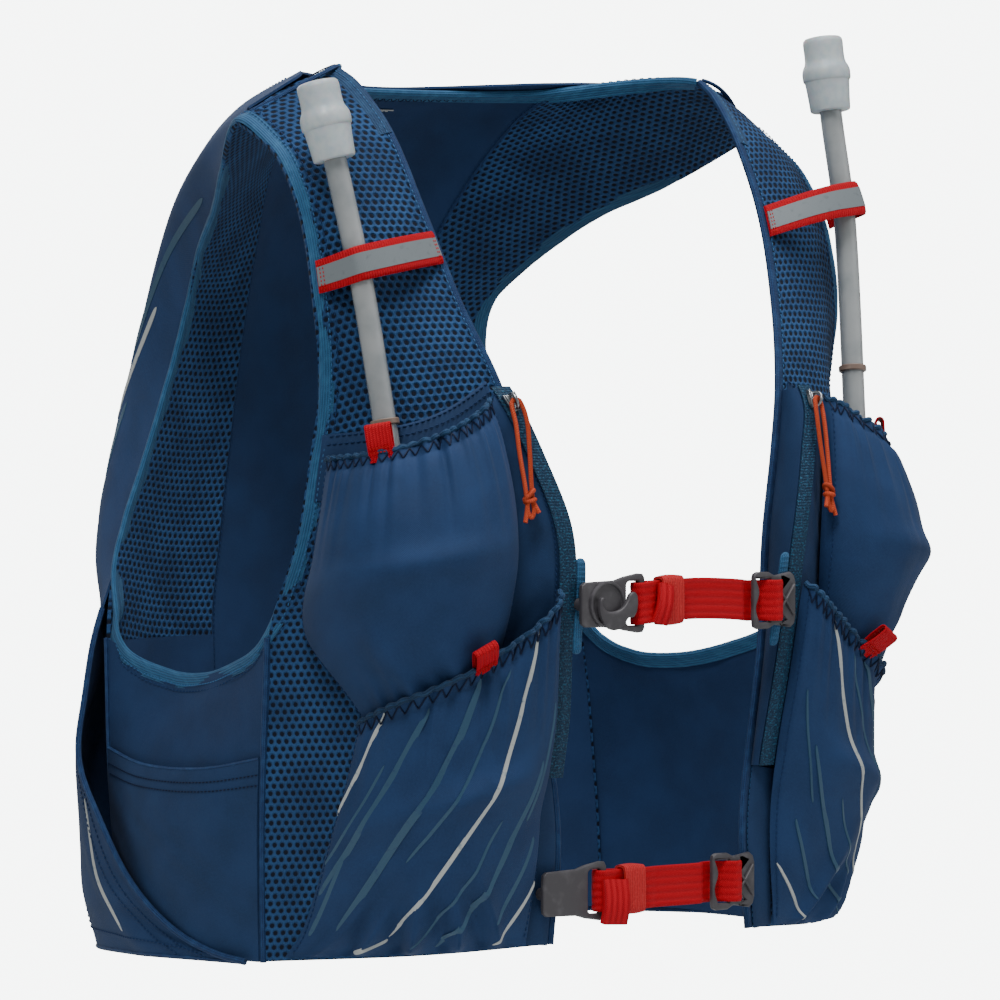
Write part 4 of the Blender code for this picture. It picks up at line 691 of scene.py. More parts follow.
    def lower_pocket(self, side: Side, s: Array, t: Array) -> tuple[Array, Array, Array, Array]:
        """u, v and the heights of a lower pocket's base and outer face."""
        if side not in self._lower_lifts:
            self._lower_lifts[side] = self._lower_coarse(side)
        row_s, row_t, lift = self._lower_lifts[side]
        s, t = np.broadcast_arrays(np.asarray(s, float), np.asarray(t, float))
        u, v = self.on_front(side, LOWER_POCKET_ROWS, s, t)
        base = self.pocket_base(side, u, v) + FIT_GAP / 2
        wide, tall = weights(row_s, s.ravel()), weights(row_t, t.ravel())
        height = np.einsum("mi,mj,ij->m", tall, wide, lift).reshape(s.shape)
        return u, v, base, np.maximum(height, base + WOVEN_THICK)

    def armhole(self, side: Side, count: int) -> tuple[Array, Array, Array]:
        """Points along an armhole's edge, with ways into the cloth and off it."""
        sign, front, flank = float(side.sign), self.fronts[side], self.flanks[side]
        fore_v = np.linspace(1.0, ARMHOLE_FOOT_FRONT, 11)[:-1]
        rear_v = np.linspace(ARMHOLE_FOOT_BACK, 1.0, 11)[1:-1]
        base_u = np.linspace(0.08, 0.92, 5)
        edge = [front.point(1.0, fore_v), flank.point(base_u, 1.0), self.back.point(sign, rear_v)]
        inner = [front.point(0.9, fore_v), flank.point(base_u, 0.9)]
        inner.append(self.back.point(0.9 * sign, rear_v))
        normals = [front.normal(0.97, fore_v), flank.normal(base_u, 0.97)]
        normals.append(self.back.normal(0.97 * sign, rear_v))
        knots, into = np.vstack(edge), unit(np.vstack(inner) - np.vstack(edge))
        line = curve_through(knots, count, closed=True)
        near = np.linalg.norm(knots[None] - line[:, None], axis=2)
        share = 1 / (near + 1e-4) ** 3
        share /= share.sum(1, keepdims=True)
        return line, unit(share @ into), unit(share @ np.vstack(normals))

    def straw_line(self, side: Side, count: int) -> Array:
        """A drinking tube's centreline, foot to tip."""
        rows = [placed(row.x, row.y, row.h, FRONT_DEPTH, side.sign) for row in STRAW_ROWS[side]]
        return curve_through(np.array(rows), count)


FORM = VestForm()


Value = Union["Wire", float]


class Wire:
    """A value inside a material that sums can be written with."""

    def __init__(self, paint: "Paint", socket: bpy.types.NodeSocket) -> None:
        """Keeps the material and the socket that gives the value."""
        self.paint, self.socket = paint, socket

    def sum(self, operation: str, *others: Value, clamp: bool = False) -> "Wire":
        """Adds one Math node.

        Args:
            operation: The node's operation.
            others: The values after this one.
            clamp: Whether the result stays from 0 to 1.

        Returns:
            The node's result.
        """
        settings = {"operation": operation, "use_clamp": clamp}
        values = {k: v for k, v in enumerate((self, *others))}
        return self.paint.node("ShaderNodeMath", settings, values)

    def __add__(self, other: Value) -> "Wire":
        """This plus another."""
        return self.sum("ADD", other)

    def __sub__(self, other: Value) -> "Wire":
        """This less another."""
        return self.sum("SUBTRACT", other)

    def __rsub__(self, other: float) -> "Wire":
        """A number less this."""
        return (self * -1.0) + other

    def __mul__(self, other: Value) -> "Wire":
        """This times another."""
        return self.sum("MULTIPLY", other)

    def __truediv__(self, other: Value) -> "Wire":
        """This over another."""
        return self.sum("DIVIDE", other)

    __radd__, __rmul__ = __add__, __mul__

    def step(self, low: float, high: float) -> "Wire":
        """A soft step that is 0 at low and 1 at high."""
        settings = {"interpolation_type": "SMOOTHSTEP"}
        return self.paint.node("ShaderNodeMapRange", settings, {0: self, 1: low, 2: high})

    def wave(self, pitch: float) -> "Wire":
        """A wave from 0 to 1 that comes back each pitch."""
        return (self * (2 * math.pi / pitch)).sum("SINE") * 0.5 + 0.5

    def ping(self, pitch: float) -> "Wire":
        """Distance from the middle of the cell of a pitch that this lies in."""
        return ((self / pitch).sum("FRACT") - 0.5).sum("ABSOLUTE") * pitch


class Paint:
    """A material being made: a principled shader and the nodes that feed it."""

    def __init__(self, name: str, **constants: Union[float, tuple[float, ...]]) -> None:
        """Starts a material.

        Args:
            name: The material's name.
            constants: Values of the shader's own sockets, by their names with _ for spaces.
        """
        self.material = bpy.data.materials.new(name)
        self.material.use_nodes = True
        self.tree = self.material.node_tree
        self.shader = self.tree.nodes["Principled BSDF"]
        for socket, value in constants.items():
            self.shader.inputs[socket.replace("_", " ")].default_value = value

    def node(self, kind: str, settings: dict, values: dict, output: int = 0) -> Wire:
        """Adds a node.

        Args:
            kind: The node's type.
            settings: Its own options, which are set first.
            values: Values or wires of its sockets, by name or place.
            output: Which of its results is wanted.

        Returns:
            That result.
        """
        made = self.tree.nodes.new(kind)
        for option, value in settings.items():
            setattr(made, option, value)
        for socket, value in values.items():
            target = made.inputs[socket]
            if isinstance(value, Wire):
                self.tree.links.new(value.socket, target)
            else:
                target.default_value = value
        return Wire(self, made.outputs[output])

    def cloth(self) -> tuple[Wire, Wire, Wire]:
        """The place on the cloth in metres: across, along, and both as a vector."""
        place = self.node("ShaderNodeUVMap", {"uv_map": "cloth"}, {})
        across = self.node("ShaderNodeSeparateXYZ", {}, {0: place}, 0)
        along = Wire(self, across.socket.node.outputs[1])
        return across, along, place

    def spot(self) -> Wire:
        """The place in the piece's own room."""
        return self.node("ShaderNodeTexCoord", {}, {}, 3)

    def noise(self, place: Wire, scale: float, detail: float = 2.0) -> Wire:
        """Soft noise from 0 to 1."""
        values = {"Vector": place, "Scale": scale, "Detail": detail}
        return self.node("ShaderNodeTexNoise", {}, values)

    def cells(self, place: Wire, scale: float) -> Wire:
        """Distance to the nearest of many scattered points."""
        return self.node("ShaderNodeTexVoronoi", {}, {"Vector": place, "Scale": scale})

    def mix(self, share: Wire, low: Union[Wire, "Colour"], high: Union[Wire, "Colour"]) -> Wire:
        """A colour between two others."""
        settings = {"data_type": "RGBA", "clamp_factor": True}
        return self.node("ShaderNodeMix", settings, {0: share, 6: low, 7: high}, 2)

    def feed(self, socket: str, value: Wire) -> None:
        """Links a value to one of the shader's sockets."""
        self.tree.links.new(value.socket, self.shader.inputs[socket])

    def relief(self, height: Wire, depth: float, strength: float = 1.0) -> None:
        """Raises the surface by a height times a depth in metres."""
        values = {"Strength": strength, "Distance": depth, "Height": height}
        self.feed("Normal", self.node("ShaderNodeBump", {}, values))


Colour = tuple[float, float, float, float]
DYE_SHARE = 0.80


def colour(code: str) -> Colour:
    """A shader's colour from a colour as seen on a screen, such as 22427a."""
    seen = [int(code[k : k + 2], 16) / 255 for k in (0, 2, 4)]
    flat = [c / 12.92 if c <= 0.04045 else ((c + 0.055) / 1.055) ** 2.4 for c in seen]
    return (flat[0] * DYE_SHARE, flat[1] * DYE_SHARE, flat[2] * DYE_SHARE, 1.0)


@dataclass(frozen=True)
class Finish:
    """What every finish has: a name and the material made for it."""

    name: str

    def paint(self) -> Paint:
        """Makes the material's nodes."""
        return Paint(self.name)

    def material(self) -> bpy.types.Material:
        """The material, made at its first use."""
        found = bpy.data.materials.get(self.name)
        return found if found else self.paint().material


@dataclass(frozen=True)
class StretchWoven(Finish):
    """Fine stretch cloth: a close weave, faint creases and uneven dye."""

    base: str = "223c66"
    worn: str = "2d507e"
    deep: str = "1a3054"
    pitch: float = 0.00075
    crease: float = 0.0006

    def paint(self) -> Paint:
        """Makes the weave, its dye and its creases."""
        paint = Paint(self.name, Specular_IOR_Level=0.2, Sheen_Weight=0.03, Sheen_Roughness=0.5)
        across, along, place = paint.cloth()
        weave = (across.wave(self.pitch) * along.wave(self.pitch * 1.15))
        weave = weave + (1 - across.wave(self.pitch)) * (1 - along.wave(self.pitch * 1.15))
        dye = paint.noise(place, 38.0, 4.0)
        fleck = paint.noise(place, 900.0, 1.0)
        tone = paint.mix(dye.step(0.3, 0.7), colour(self.deep), colour(self.base))
        tone = paint.mix(weave * 0.35 + fleck * 0.35 - 0.12, tone, colour(self.worn))
        paint.feed("Base Color", tone)
        creases = paint.noise(place, 55.0, 3.0)
        height = weave * 0.00010 + creases * self.crease + fleck * 0.00006
        paint.feed("Roughness", dye * 0.12 + 0.64)
        paint.relief(height, 1.0, 0.8)
        return paint


@dataclass(frozen=True)
class HoledMesh(Finish):
    """Perforated knit: round holes in staggered rows, with a knit web between them."""

    web: str = "2c568a"
    shade: str = "20416e"
    # The holes' near-black navy is partly the navy cloth seen through them and mostly painted shade of the
    # vest's inside.
    hole: str = "0b1428"
    pitch: float = 0.0041
    radius: float = 0.00128

    def paint(self) -> Paint:
        """Makes the holes from two grids that lie between each other."""
        paint = Paint(self.name, Roughness=0.8, Specular_IOR_Level=0.2, Sheen_Weight=0.03)
        across, along, place = paint.cloth()
        drift = paint.noise(place, 60.0, 2.0) * 0.0008
        across, along = across + drift, along + drift
        rise = self.pitch * math.sqrt(3)
        near = []
        for shift in (0.0, 0.5):
            dx = (across + shift * self.pitch).ping(self.pitch)
            dy = (along + shift * rise).ping(rise)
            near.append((dx * dx + dy * dy).sum("SQRT"))
        distance = near[0].sum("MINIMUM", near[1])
        solid = distance.step(self.radius * 0.72, self.radius * 1.12)
        knit = along.wave(0.00062) * across.wave(0.0009)
        dye = paint.noise(place, 45.0, 3.0)
        tone = paint.mix(dye.step(0.3, 0.7), colour(self.shade), colour(self.web))
        tone = paint.mix(knit * 0.4, tone, colour("3a70a8"))
        # Painted shade: the sheet is coloured near-black in the holes, where the shaded inside would show
        # through.
        tone = paint.mix(solid, colour(self.hole), tone)
        paint.feed("Base Color", tone)
        rim = distance.step(self.radius * 0.8, self.radius * 1.5)
        paint.relief(rim * 0.0009 + knit * 0.00012, 1.0, 0.9)
        return paint


@dataclass(frozen=True)
class RibbedBinding(Finish):
    """Folded stretch binding with fine lengthwise ribs."""

    base: str = "3a75a4"
    deep: str = "27527c"
    light: str = "4f8cba"
    rib: float = 0.00125
    tick: float = 0.00085

    def paint(self) -> Paint:
        """Makes the ribs and the small stitches of the knit along them."""
        paint = Paint(self.name, Roughness=0.66, Specular_IOR_Level=0.25, Sheen_Weight=0.04)
        across, along, place = paint.cloth()
        rib = across.wave(self.rib)
        tick = (along + rib * 0.0003).wave(self.tick)
        dye = paint.noise(place, 160.0, 3.0)
        tone = paint.mix(rib * 0.7 + tick * 0.3, colour(self.deep), colour(self.base))
        tone = paint.mix((dye - 0.45) * 1.6, tone, colour(self.light))
        paint.feed("Base Color", tone)
        paint.relief(rib * 0.00028 + tick * 0.00014 + dye * 0.0002, 1.0, 0.9)
        return paint


@dataclass(frozen=True)
class CoilZipTape(Finish):
    """Woven zip tape over a reversed coil: rough and speckled."""

    base: str = "1e4b6c"
    deep: str = "12304b"
    light: str = "2f6788"

    def paint(self) -> Paint:
        """Makes the speckle, the coil's bumps and the tape's weave."""
        paint = Paint(self.name, Roughness=0.62, Specular_IOR_Level=0.25)
        _, along, place = paint.cloth()
        speck = paint.cells(place, 1500.0)
        patch = paint.noise(place, 900.0, 2.0)
        tooth = along.wave(0.0015)
        tone = paint.mix(speck.step(0.15, 0.6), colour(self.base), colour(self.deep))
        tone = paint.mix(patch.step(0.52, 0.68), tone, colour(self.light))
        paint.feed("Base Color", tone)
        paint.relief(patch * 0.0003 - speck * 0.0002 + tooth * 0.0002, 1.0, 0.9)
        return paint


@dataclass(frozen=True)
class Webbing(Finish):
    """Narrow webbing with lengthwise ribs of slanting picks."""

    base: str = "dc0a22"
    deep: str = "a30418"
    light: str = "f2323c"
    rib: float = 0.0036
    pick: float = 0.0009

    def paint(self) -> Paint:
        """Makes the ribs and the picks that cross them."""
        paint = Paint(self.name, Roughness=0.6, Specular_IOR_Level=0.12)
        across, along, place = paint.cloth()
        rib = across.wave(self.rib)
        pick = (along + across.ping(self.rib) * 0.9).wave(self.pick)
        fibre = paint.noise(place, 1500.0, 1.0)
        lit = rib * 0.5 + pick * 0.35 + fibre * 0.2
        tone = paint.mix(lit.step(-0.1, 0.7), colour(self.deep), colour(self.base))
        tone = paint.mix((fibre + pick * 0.4 - 0.6), tone, colour(self.light))
        paint.feed("Base Color", tone)
        paint.relief(rib * 0.00028 + pick * 0.00026 + fibre * 0.0001, 1.0, 0.9)
        return paint


@dataclass(frozen=True)
class Elastic(Finish):
    """Soft elastic band: close cross ribs with a bright dye."""

    base: str = "ee3a3c"
    deep: str = "c32228"
    light: str = "fb6a64"
    rib: float = 0.0011

    def paint(self) -> Paint:
        """Makes the cross ribs."""
        paint = Paint(self.name, Roughness=0.65, Specular_IOR_Level=0.15)
        across, along, place = paint.cloth()
        rib, thread = along.wave(self.rib), across.wave(0.0007)
        fibre = paint.noise(place, 900.0, 2.0)
        lit = rib * 0.55 + thread * 0.2 + fibre * 0.3
        tone = paint.mix(lit.step(0.1, 0.8), colour(self.deep), colour(self.base))
        tone = paint.mix((fibre - 0.5) * 1.3, tone, colour(self.light))
        paint.feed("Base Color", tone)
        paint.relief(rib * 0.00035 + thread * 0.00012 + fibre * 0.0001, 1.0, 0.9)
        return paint


@dataclass(frozen=True)
class MouldedPlastic(Finish):
    """Moulded acetal: a fine matt grain, with paler patches at random."""

    base: str = "4c494e"
    worn: str = "5e5b60"
    rough: float = 0.42
    grain: float = 2600.0

    def paint(self) -> Paint:
        """Makes the grain and the worn patches."""
        paint = Paint(self.name, Roughness=self.rough, Specular_IOR_Level=0.5)
        spot = paint.spot()
        grain, patch = paint.noise(spot, self.grain, 2.0), paint.noise(spot, 160.0, 3.0)
        paint.feed("Base Color", paint.mix(patch.step(0.45, 0.75), colour(self.base), colour(self.worn)))
        paint.feed("Roughness", patch * 0.2 + (self.rough - 0.08))
        paint.relief(grain * 0.00006, 1.0, 0.6)
        return paint


@dataclass(frozen=True)
class CastMetal(Finish):
    """Plated zinc of a zip slider."""

    base: str = "b9bcc0"
    worn: str = "85898e"

    def paint(self) -> Paint:
        """Makes the plating and its small scratches."""
        paint = Paint(self.name, Metallic=1.0, Roughness=0.28)
        spot = paint.spot()
        patch = paint.noise(spot, 700.0, 4.0)
        paint.feed("Base Color", paint.mix(patch.step(0.4, 0.7), colour(self.base), colour(self.worn)))
        paint.feed("Roughness", patch * 0.25 + 0.16)
        paint.relief(patch * 0.00005, 1.0, 0.6)
        return paint


@dataclass(frozen=True)
class BraidedCord(Finish):
    """Round braided cord: slanting plaits both ways."""

    base: str = "f25c38"
    deep: str = "bc3a1c"
    light: str = "ff8a62"
    plait: float = 0.0011

    def paint(self) -> Paint:
        """Makes the plaits from two slanting waves."""
        paint = Paint(self.name, Roughness=0.6, Specular_IOR_Level=0.15)
        across, along, place = paint.cloth()
        over, under = (along + across).wave(self.plait), (along - across).wave(self.plait)
        braid = over.sum("MAXIMUM", under)
        fibre = paint.noise(place, 1800.0, 1.0)
        tone = paint.mix(braid.step(0.35, 0.95), colour(self.deep), colour(self.base))
        tone = paint.mix((fibre - 0.45) * 1.4, tone, colour(self.light))
        paint.feed("Base Color", tone)
        paint.relief(braid * 0.0003 + fibre * 0.0001, 1.0, 0.9)
        return paint


@dataclass(frozen=True)
class ClearPlastic(Finish):
    """See-through tube or soft flask film, a little cloudy and scuffed."""

    tint: str = "dfe5e8"
    clear: float = 0.86
    rough: float = 0.12
    wave: float = 0.0003

    def paint(self) -> Paint:
        """Makes the cloudiness and its faint unevenness."""
        paint = Paint(self.name, IOR=1.42, Transmission_Weight=self.clear, Coat_Roughness=0.05)
        paint.shader.inputs["Coat Weight"].default_value = 0.4
        spot = paint.spot()
        patch, scuff = paint.noise(spot, 70.0, 3.0), paint.noise(spot, 900.0, 2.0)
        paint.feed("Base Color", paint.mix(patch.step(0.3, 0.8), colour(self.tint), colour("d6dde1")))
        paint.feed("Roughness", scuff * 0.12 + self.rough - 0.04)
        paint.relief(patch * self.wave, 1.0, 0.6)
        return paint


@dataclass(frozen=True)
class Silicone(Finish):
    """Milky bite valve silicone with a soft gloss."""

    tint: str = "f1f9fd"

    def paint(self) -> Paint:
        """Makes the milky body and its fine dust."""
        paint = Paint(self.name, IOR=1.41, Transmission_Weight=0.28, Subsurface_Weight=0.35,
            Subsurface_Scale=0.004)
        spot = paint.spot()
        dust = paint.noise(spot, 260.0, 4.0)
        paint.feed("Base Color", paint.mix(dust.step(0.35, 0.75), colour(self.tint), colour("dcecf4")))
        paint.feed("Roughness", dust * 0.2 + 0.22)
        paint.relief(dust * 0.00004, 1.0, 0.4)
        return paint


@dataclass(frozen=True)
class ReflectivePrint(Finish):
    """Printed reflective streak: glass beads in a thin film, worn a little thin."""

    base: str = "c9cdcb"
    worn: str = "7f97a6"

    def paint(self) -> Paint:
        """Makes the beads and the worn places."""
        paint = Paint(self.name, Metallic=0.15, Roughness=0.42)
        across, _, place = paint.cloth()
        bead, wear = paint.noise(place, 2600.0, 1.0), paint.noise(place, 220.0, 4.0)
        paint.feed("Base Color", paint.mix(wear.step(0.56, 0.74), colour(self.base), colour(self.worn)))
        paint.feed("Roughness", bead * 0.3 + 0.28)
        paint.relief(bead * 0.00008 + across.wave(0.0008) * 0.00004, 1.0, 0.7)
        return paint


@dataclass(frozen=True)
class Thread(Finish):
    """Sewing thread: two plies twisted."""

    base: str = "1d3a6c"
    light: str = "38609c"

    def paint(self) -> Paint:
        """Makes the twist of the plies."""
        paint = Paint(self.name, Roughness=0.55, Specular_IOR_Level=0.2)
        across, along, _ = paint.cloth()
        ply = (along + across * 1.5).wave(0.0006)
        paint.feed("Base Color", paint.mix(ply, colour(self.base), colour(self.light)))
        paint.relief(ply * 0.0001, 1.0, 0.7)
        return paint


@dataclass(frozen=True)
class PaleBoard(Finish):
    """Matt studio board for the floor."""

    base: str = "f1f3f2"

    def paint(self) -> Paint:
        """Makes a faint unevenness in the board."""
        paint = Paint(self.name, Roughness=0.9)
        patch = paint.noise(paint.spot(), 4.0, 3.0)
        paint.feed("Base Color", paint.mix(patch, colour(self.base), colour("eceeed")))
        return paint


OUTER_CLOTH = StretchWoven("outer_cloth")
POCKET_CLOTH = StretchWoven("pocket_cloth", base="233e6a", worn="31568a", deep="1b3258", crease=0.0005)
INNER_CLOTH = StretchWoven("inner_cloth", base="213c68", worn="2b4c7b", deep="1b3157")
MESH_CLOTH = HoledMesh("holed_mesh")
BINDING = RibbedBinding("armhole_ribbing")
EDGE_BINDING = RibbedBinding("edge_ribbing", base="1f4478", deep="142f59", light="2f6096")
ZIP_TAPE = CoilZipTape("zip_tape")
WEBBING = Webbing("red_webbing_weave")
ELASTIC = Elastic("coral_elastic_weave")
BUCKLE = MouldedPlastic("buckle_plastic")
METAL = CastMetal("plated_zinc")
CORD = BraidedCord("orange_braid")
TUBE = ClearPlastic("clear_tubing", tint="f6f9fa", clear=0.66, rough=0.08)
FILM = ClearPlastic("flask_film", tint="dbe3e8", clear=0.7, rough=0.2, wave=0.0012)
VALVE = Silicone("valve_silicone")
GREY_PRINT = ReflectivePrint("grey_reflective_print")
TEAL_PRINT = ReflectivePrint("teal_reflective_print", base="2c5674", worn="21456e")
THREAD = Thread("navy_thread", base="132a52", light="21457a")
PALE_THREAD = Thread("blue_thread", base="285a90", light="4a80b4")
RED_THREAD = Thread("red_thread", base="b0000a", light="e21a1c")
LABEL = StretchWoven("plain_label", base="e4e6e4", worn="f3f4f2", deep="d0d3d2", pitch=0.0005)
BOARD = PaleBoard("pale_board")
COLLAR = MouldedPlastic("tube_collar_plastic", base="8a7468", worn="a08b7d", rough=0.35)
KEEPER_WEAVE = Webbing("red_keeper_weave", rib=0.0014, pick=0.0007)
TAB_WEAVE = Webbing("red_tab_weave", rib=0.0016, pick=0.0010)
LABEL_THREAD = Thread("pale_label_thread", base="dfe2e0", light="f5f6f4")
STRIPE_PRINT = ReflectivePrint("pale_stripe_print", base="878f94", worn="757e84")
DARK_THREAD = Thread("dark_thread", base="0b1530", light="15264a")
# Paler blue ribbing. On the pocket lips its paler tone is partly a painted highlight along the top fold and
# partly the lip's own binding; on the fronts' neck ends it is the binding's colour.
LIP_HIGHLIGHT_AND_NECK_BINDING = RibbedBinding("lip_ribbing", base="27507c", deep="1a3759", light="3a6c9a")


def grid_lengths(grid: Array) -> Array:
    """Places on the flat cloth, in metres, of a grid of points.

    Args:
        grid: Points in rows and columns.

    Returns:
        Across and along for each point.
    """
    rows = np.linalg.norm(np.diff(grid, axis=1), axis=2)
    columns = np.linalg.norm(np.diff(grid, axis=0), axis=2)
    across = np.concatenate([np.zeros((len(grid), 1)), np.cumsum(rows, axis=1)], axis=1)
    across -= across[:, -1:] / 2
    along = np.concatenate([np.zeros((1, grid.shape[1])), np.cumsum(columns, axis=0)])
    return np.stack([across, along], axis=2)


def flat_size(grid: Array) -> tuple[float, float]:
    """The mean width and length of a grid of points laid flat."""
    rows = np.linalg.norm(np.diff(grid, axis=1), axis=2).sum(axis=1)
    columns = np.linalg.norm(np.diff(grid, axis=0), axis=2).sum(axis=0)
    return float(rows.mean()), float(columns.mean())


class Maker:
    """Makes the pieces' meshes and links them to the scene."""

    def mesh(self, name: str, points: Array, faces: Union[Array, list], finish: Finish,
        places: Optional[Array] = None, sharp: float = 60.0) -> Piece:
        """Makes one piece from points and faces.

        Args:
            name: The piece's name.
            points: The points, in metres.
            faces: Indices of the points of each face.
            finish: The piece's finish.
            places: Each point's place on the cloth, in metres.
            sharp: The angle in degrees above which an edge looks sharp.

        Returns:
            The piece.
        """
        data = bpy.data.meshes.new(name)
        loops = faces.tolist() if isinstance(faces, np.ndarray) else faces
        data.from_pydata(np.asarray(points).reshape(-1, 3).tolist(), [], loops)
        if places is not None:
            layer = data.uv_layers.new(name="cloth")
            index = np.empty(len(data.loops), dtype=np.int32)
            data.loops.foreach_get("vertex_index", index)
            layer.data.foreach_set("uv", np.asarray(places, np.float32)[index].ravel())
        data.materials.append(finish.material())
        data.shade_smooth()
        data.set_sharp_from_angle(angle=math.radians(sharp))
        data.update()
        piece = bpy.data.objects.new(name, data)
        bpy.context.scene.collection.objects.link(piece)
        return piece

    @staticmethod
    def _outward(points: Array, faces: Array) -> Array:
        """The faces turned so that a closed body's faces point out."""
        a, b, c, d = (points[faces[:, k]] for k in range(4))
        volume = (np.cross(b - a, c - a) * a).sum() + (np.cross(c - a, d - a) * a).sum()
        return faces if volume > 0 else faces[:, ::-1]

    def slab(self, name: str, outer: Array, inner: Array, finish: Finish) -> Piece:
        """A closed sheet between two grids of points.

        Args:
            name: The piece's name.
            outer: The outer face's points, in rows and columns.
            inner: The inner face's points.
            finish: The piece's finish.

        Returns:
            The piece.
        """
        rows, columns = outer.shape[:2]
        size = rows * columns
        index = np.arange(size).reshape(rows, columns)
        a, b, c, d = index[:-1, :-1], index[:-1, 1:], index[1:, 1:], index[1:, :-1]
        front = np.stack([a, b, c, d], axis=-1).reshape(-1, 4)
        back = front[:, ::-1] + size
        rim = np.concatenate([index[0], index[1:, -1], index[-1, -2::-1], index[-2:0:-1, 0]])
        ahead = np.roll(rim, -1)
        edge = np.stack([ahead, rim, rim + size, ahead + size], axis=-1)
        points = np.vstack([outer.reshape(-1, 3), inner.reshape(-1, 3)])
        places = grid_lengths(outer).reshape(-1, 2)
        faces = self._outward(points - points.mean(0), np.vstack([front, back, edge]))
        return self.mesh(name, points, faces, finish, np.vstack([places, places]))

    def rings(self, name: str, loops: Array, finish: Finish, closed: bool = False,
        sharp: float = 60.0) -> Piece:
        """A body through loops of points, with flat ends or joined end to end.

        Args:
            name: The piece's name.
            loops: Loops of points, one after another.
            finish: The piece's finish.
            closed: Whether the last loop joins the first.
            sharp: The angle in degrees above which an edge looks sharp.

        Returns:
            The piece.
        """
        loops = np.asarray(loops, float)
        joined = np.concatenate([loops, loops[:, :1]], axis=1)
        if closed:
            joined = np.concatenate([joined, joined[:1]])
        spread = grid_lengths(joined)
        spread[..., 0] -= spread[..., 0].min(axis=1, keepdims=True)
        rows, columns = joined.shape[:2]
        index = np.arange(rows * columns).reshape(rows, columns)
        a, b, c, d = index[:-1, :-1], index[:-1, 1:], index[1:, 1:], index[1:, :-1]
        faces = np.stack([a, b, c, d], axis=-1).reshape(-1, 4)
        points = joined.reshape(-1, 3)
        centre = points.mean(0)
        faces = self._outward(points - centre, faces)
        every: list = faces.tolist()
        if not closed:
            turned = bool((faces[0] != np.array([a[0, 0], b[0, 0], c[0, 0], d[0, 0]])).any())
            first, last = index[0, :-1].tolist(), index[-1, :-1].tolist()
            every.append(first if turned else first[::-1])
            every.append(last[::-1] if turned else last)
        piece = self.mesh(name, points, every, finish, spread.reshape(-1, 2), sharp)
        return self._weld(piece, sharp)

    @staticmethod
    def _weld(piece: Piece, sharp: float) -> Piece:
        """Joins a piece's doubled points and turns its faces out.

        Args:
            piece: The piece.
            sharp: The angle in degrees above which an edge looks sharp.

        Returns:
            The piece.
        """
        weld = bmesh.new()
        weld.from_mesh(piece.data)
        bmesh.ops.remove_doubles(weld, verts=weld.verts, dist=1e-7)
        bmesh.ops.recalc_face_normals(weld, faces=weld.faces)
        weld.to_mesh(piece.data)
        weld.free()
        piece.data.set_sharp_from_angle(angle=math.radians(sharp))
        return piece

    @staticmethod
    def loops_round(line: Array, radii: Sequence[float], sides: int, flat: float = 1.0) -> list[Array]:
        """Loops of points round a line, without twist.

        Args:
            line: The centreline.
            radii: The radius at each of its points.
            sides: How many points each loop has.
            flat: The loop's second axis as a share of its first.

        Returns:
            The loops.
        """
        along = tangents(line)
        first = np.cross(along[0], (0.0, 0.0, 1.0))
        across = first if np.linalg.norm(first) > 1e-3 else np.array((1.0, 0.0, 0.0))
        turn = np.arange(sides) * 2 * np.pi / sides
        loops = []
        for point, way, radius in zip(line, along, radii):
            across = unit(across - way * np.dot(across, way))
            other = np.cross(way, across) * flat
            circle = np.cos(turn)[:, None] * across + np.sin(turn)[:, None] * other
            loops.append(point + radius * circle)
        return loops

    def tube(self, name: str, line: Array, radius: float, sides: int, finish: Finish, closed: bool = False,
        flat: float = 1.0) -> Piece:
        """A round or flattened cord along a line."""
        loops = self.loops_round(line, [radius] * len(line), sides, flat)
        return self.rings(name, loops, finish, closed)

    def band(self, name: str, edge: Array, normals: Array, into: Array, size: tuple[float, float],
        base: float, finish: Finish, closed: bool = False, ribs: int = 0) -> Piece:
        """A bound edge with rounded faces, from the edge into the cloth.

        Args:
            name: The piece's name.
            edge: The line of the edge.
            normals: The ways off the cloth at it.
            into: The ways into the cloth at it.
            size: The band's width and thickness.
            base: Where its middle plane lies off the edge's own plane.
            finish: The piece's finish.
            closed: Whether the edge joins its own start.
            ribs: How many lengthwise ribs its faces have.

        Returns:
            The piece.
        """
        width, thick = size
        along = tangents(edge, closed)
        across = unit(into - (into * along).sum(1, keepdims=True) * along)
        up = unit(np.cross(along, across))
        up *= np.sign((up * normals).sum(1, keepdims=True))
        share = np.linspace(0, 1, 15)
        swell = np.where(share < 0.22, np.sqrt(np.clip(share / 0.22, 0, 1)), 1.0)
        swell = swell * (1 - 0.42 * smooth((share - 0.3) / 0.7))
        rib = 0.93 + 0.07 * np.cos(2 * np.pi * ribs * share) if ribs else 1.0
        half = thick / 2 * swell * rib
        x = np.concatenate([share, share[::-1][:-1]]) * width
        z = np.concatenate([half, -half[::-1][:-1]]) + base
        loops = edge[:, None] + across[:, None] * x[None, :, None] + up[:, None] * z[None, :, None]
        return self.rings(name, loops, finish, closed)

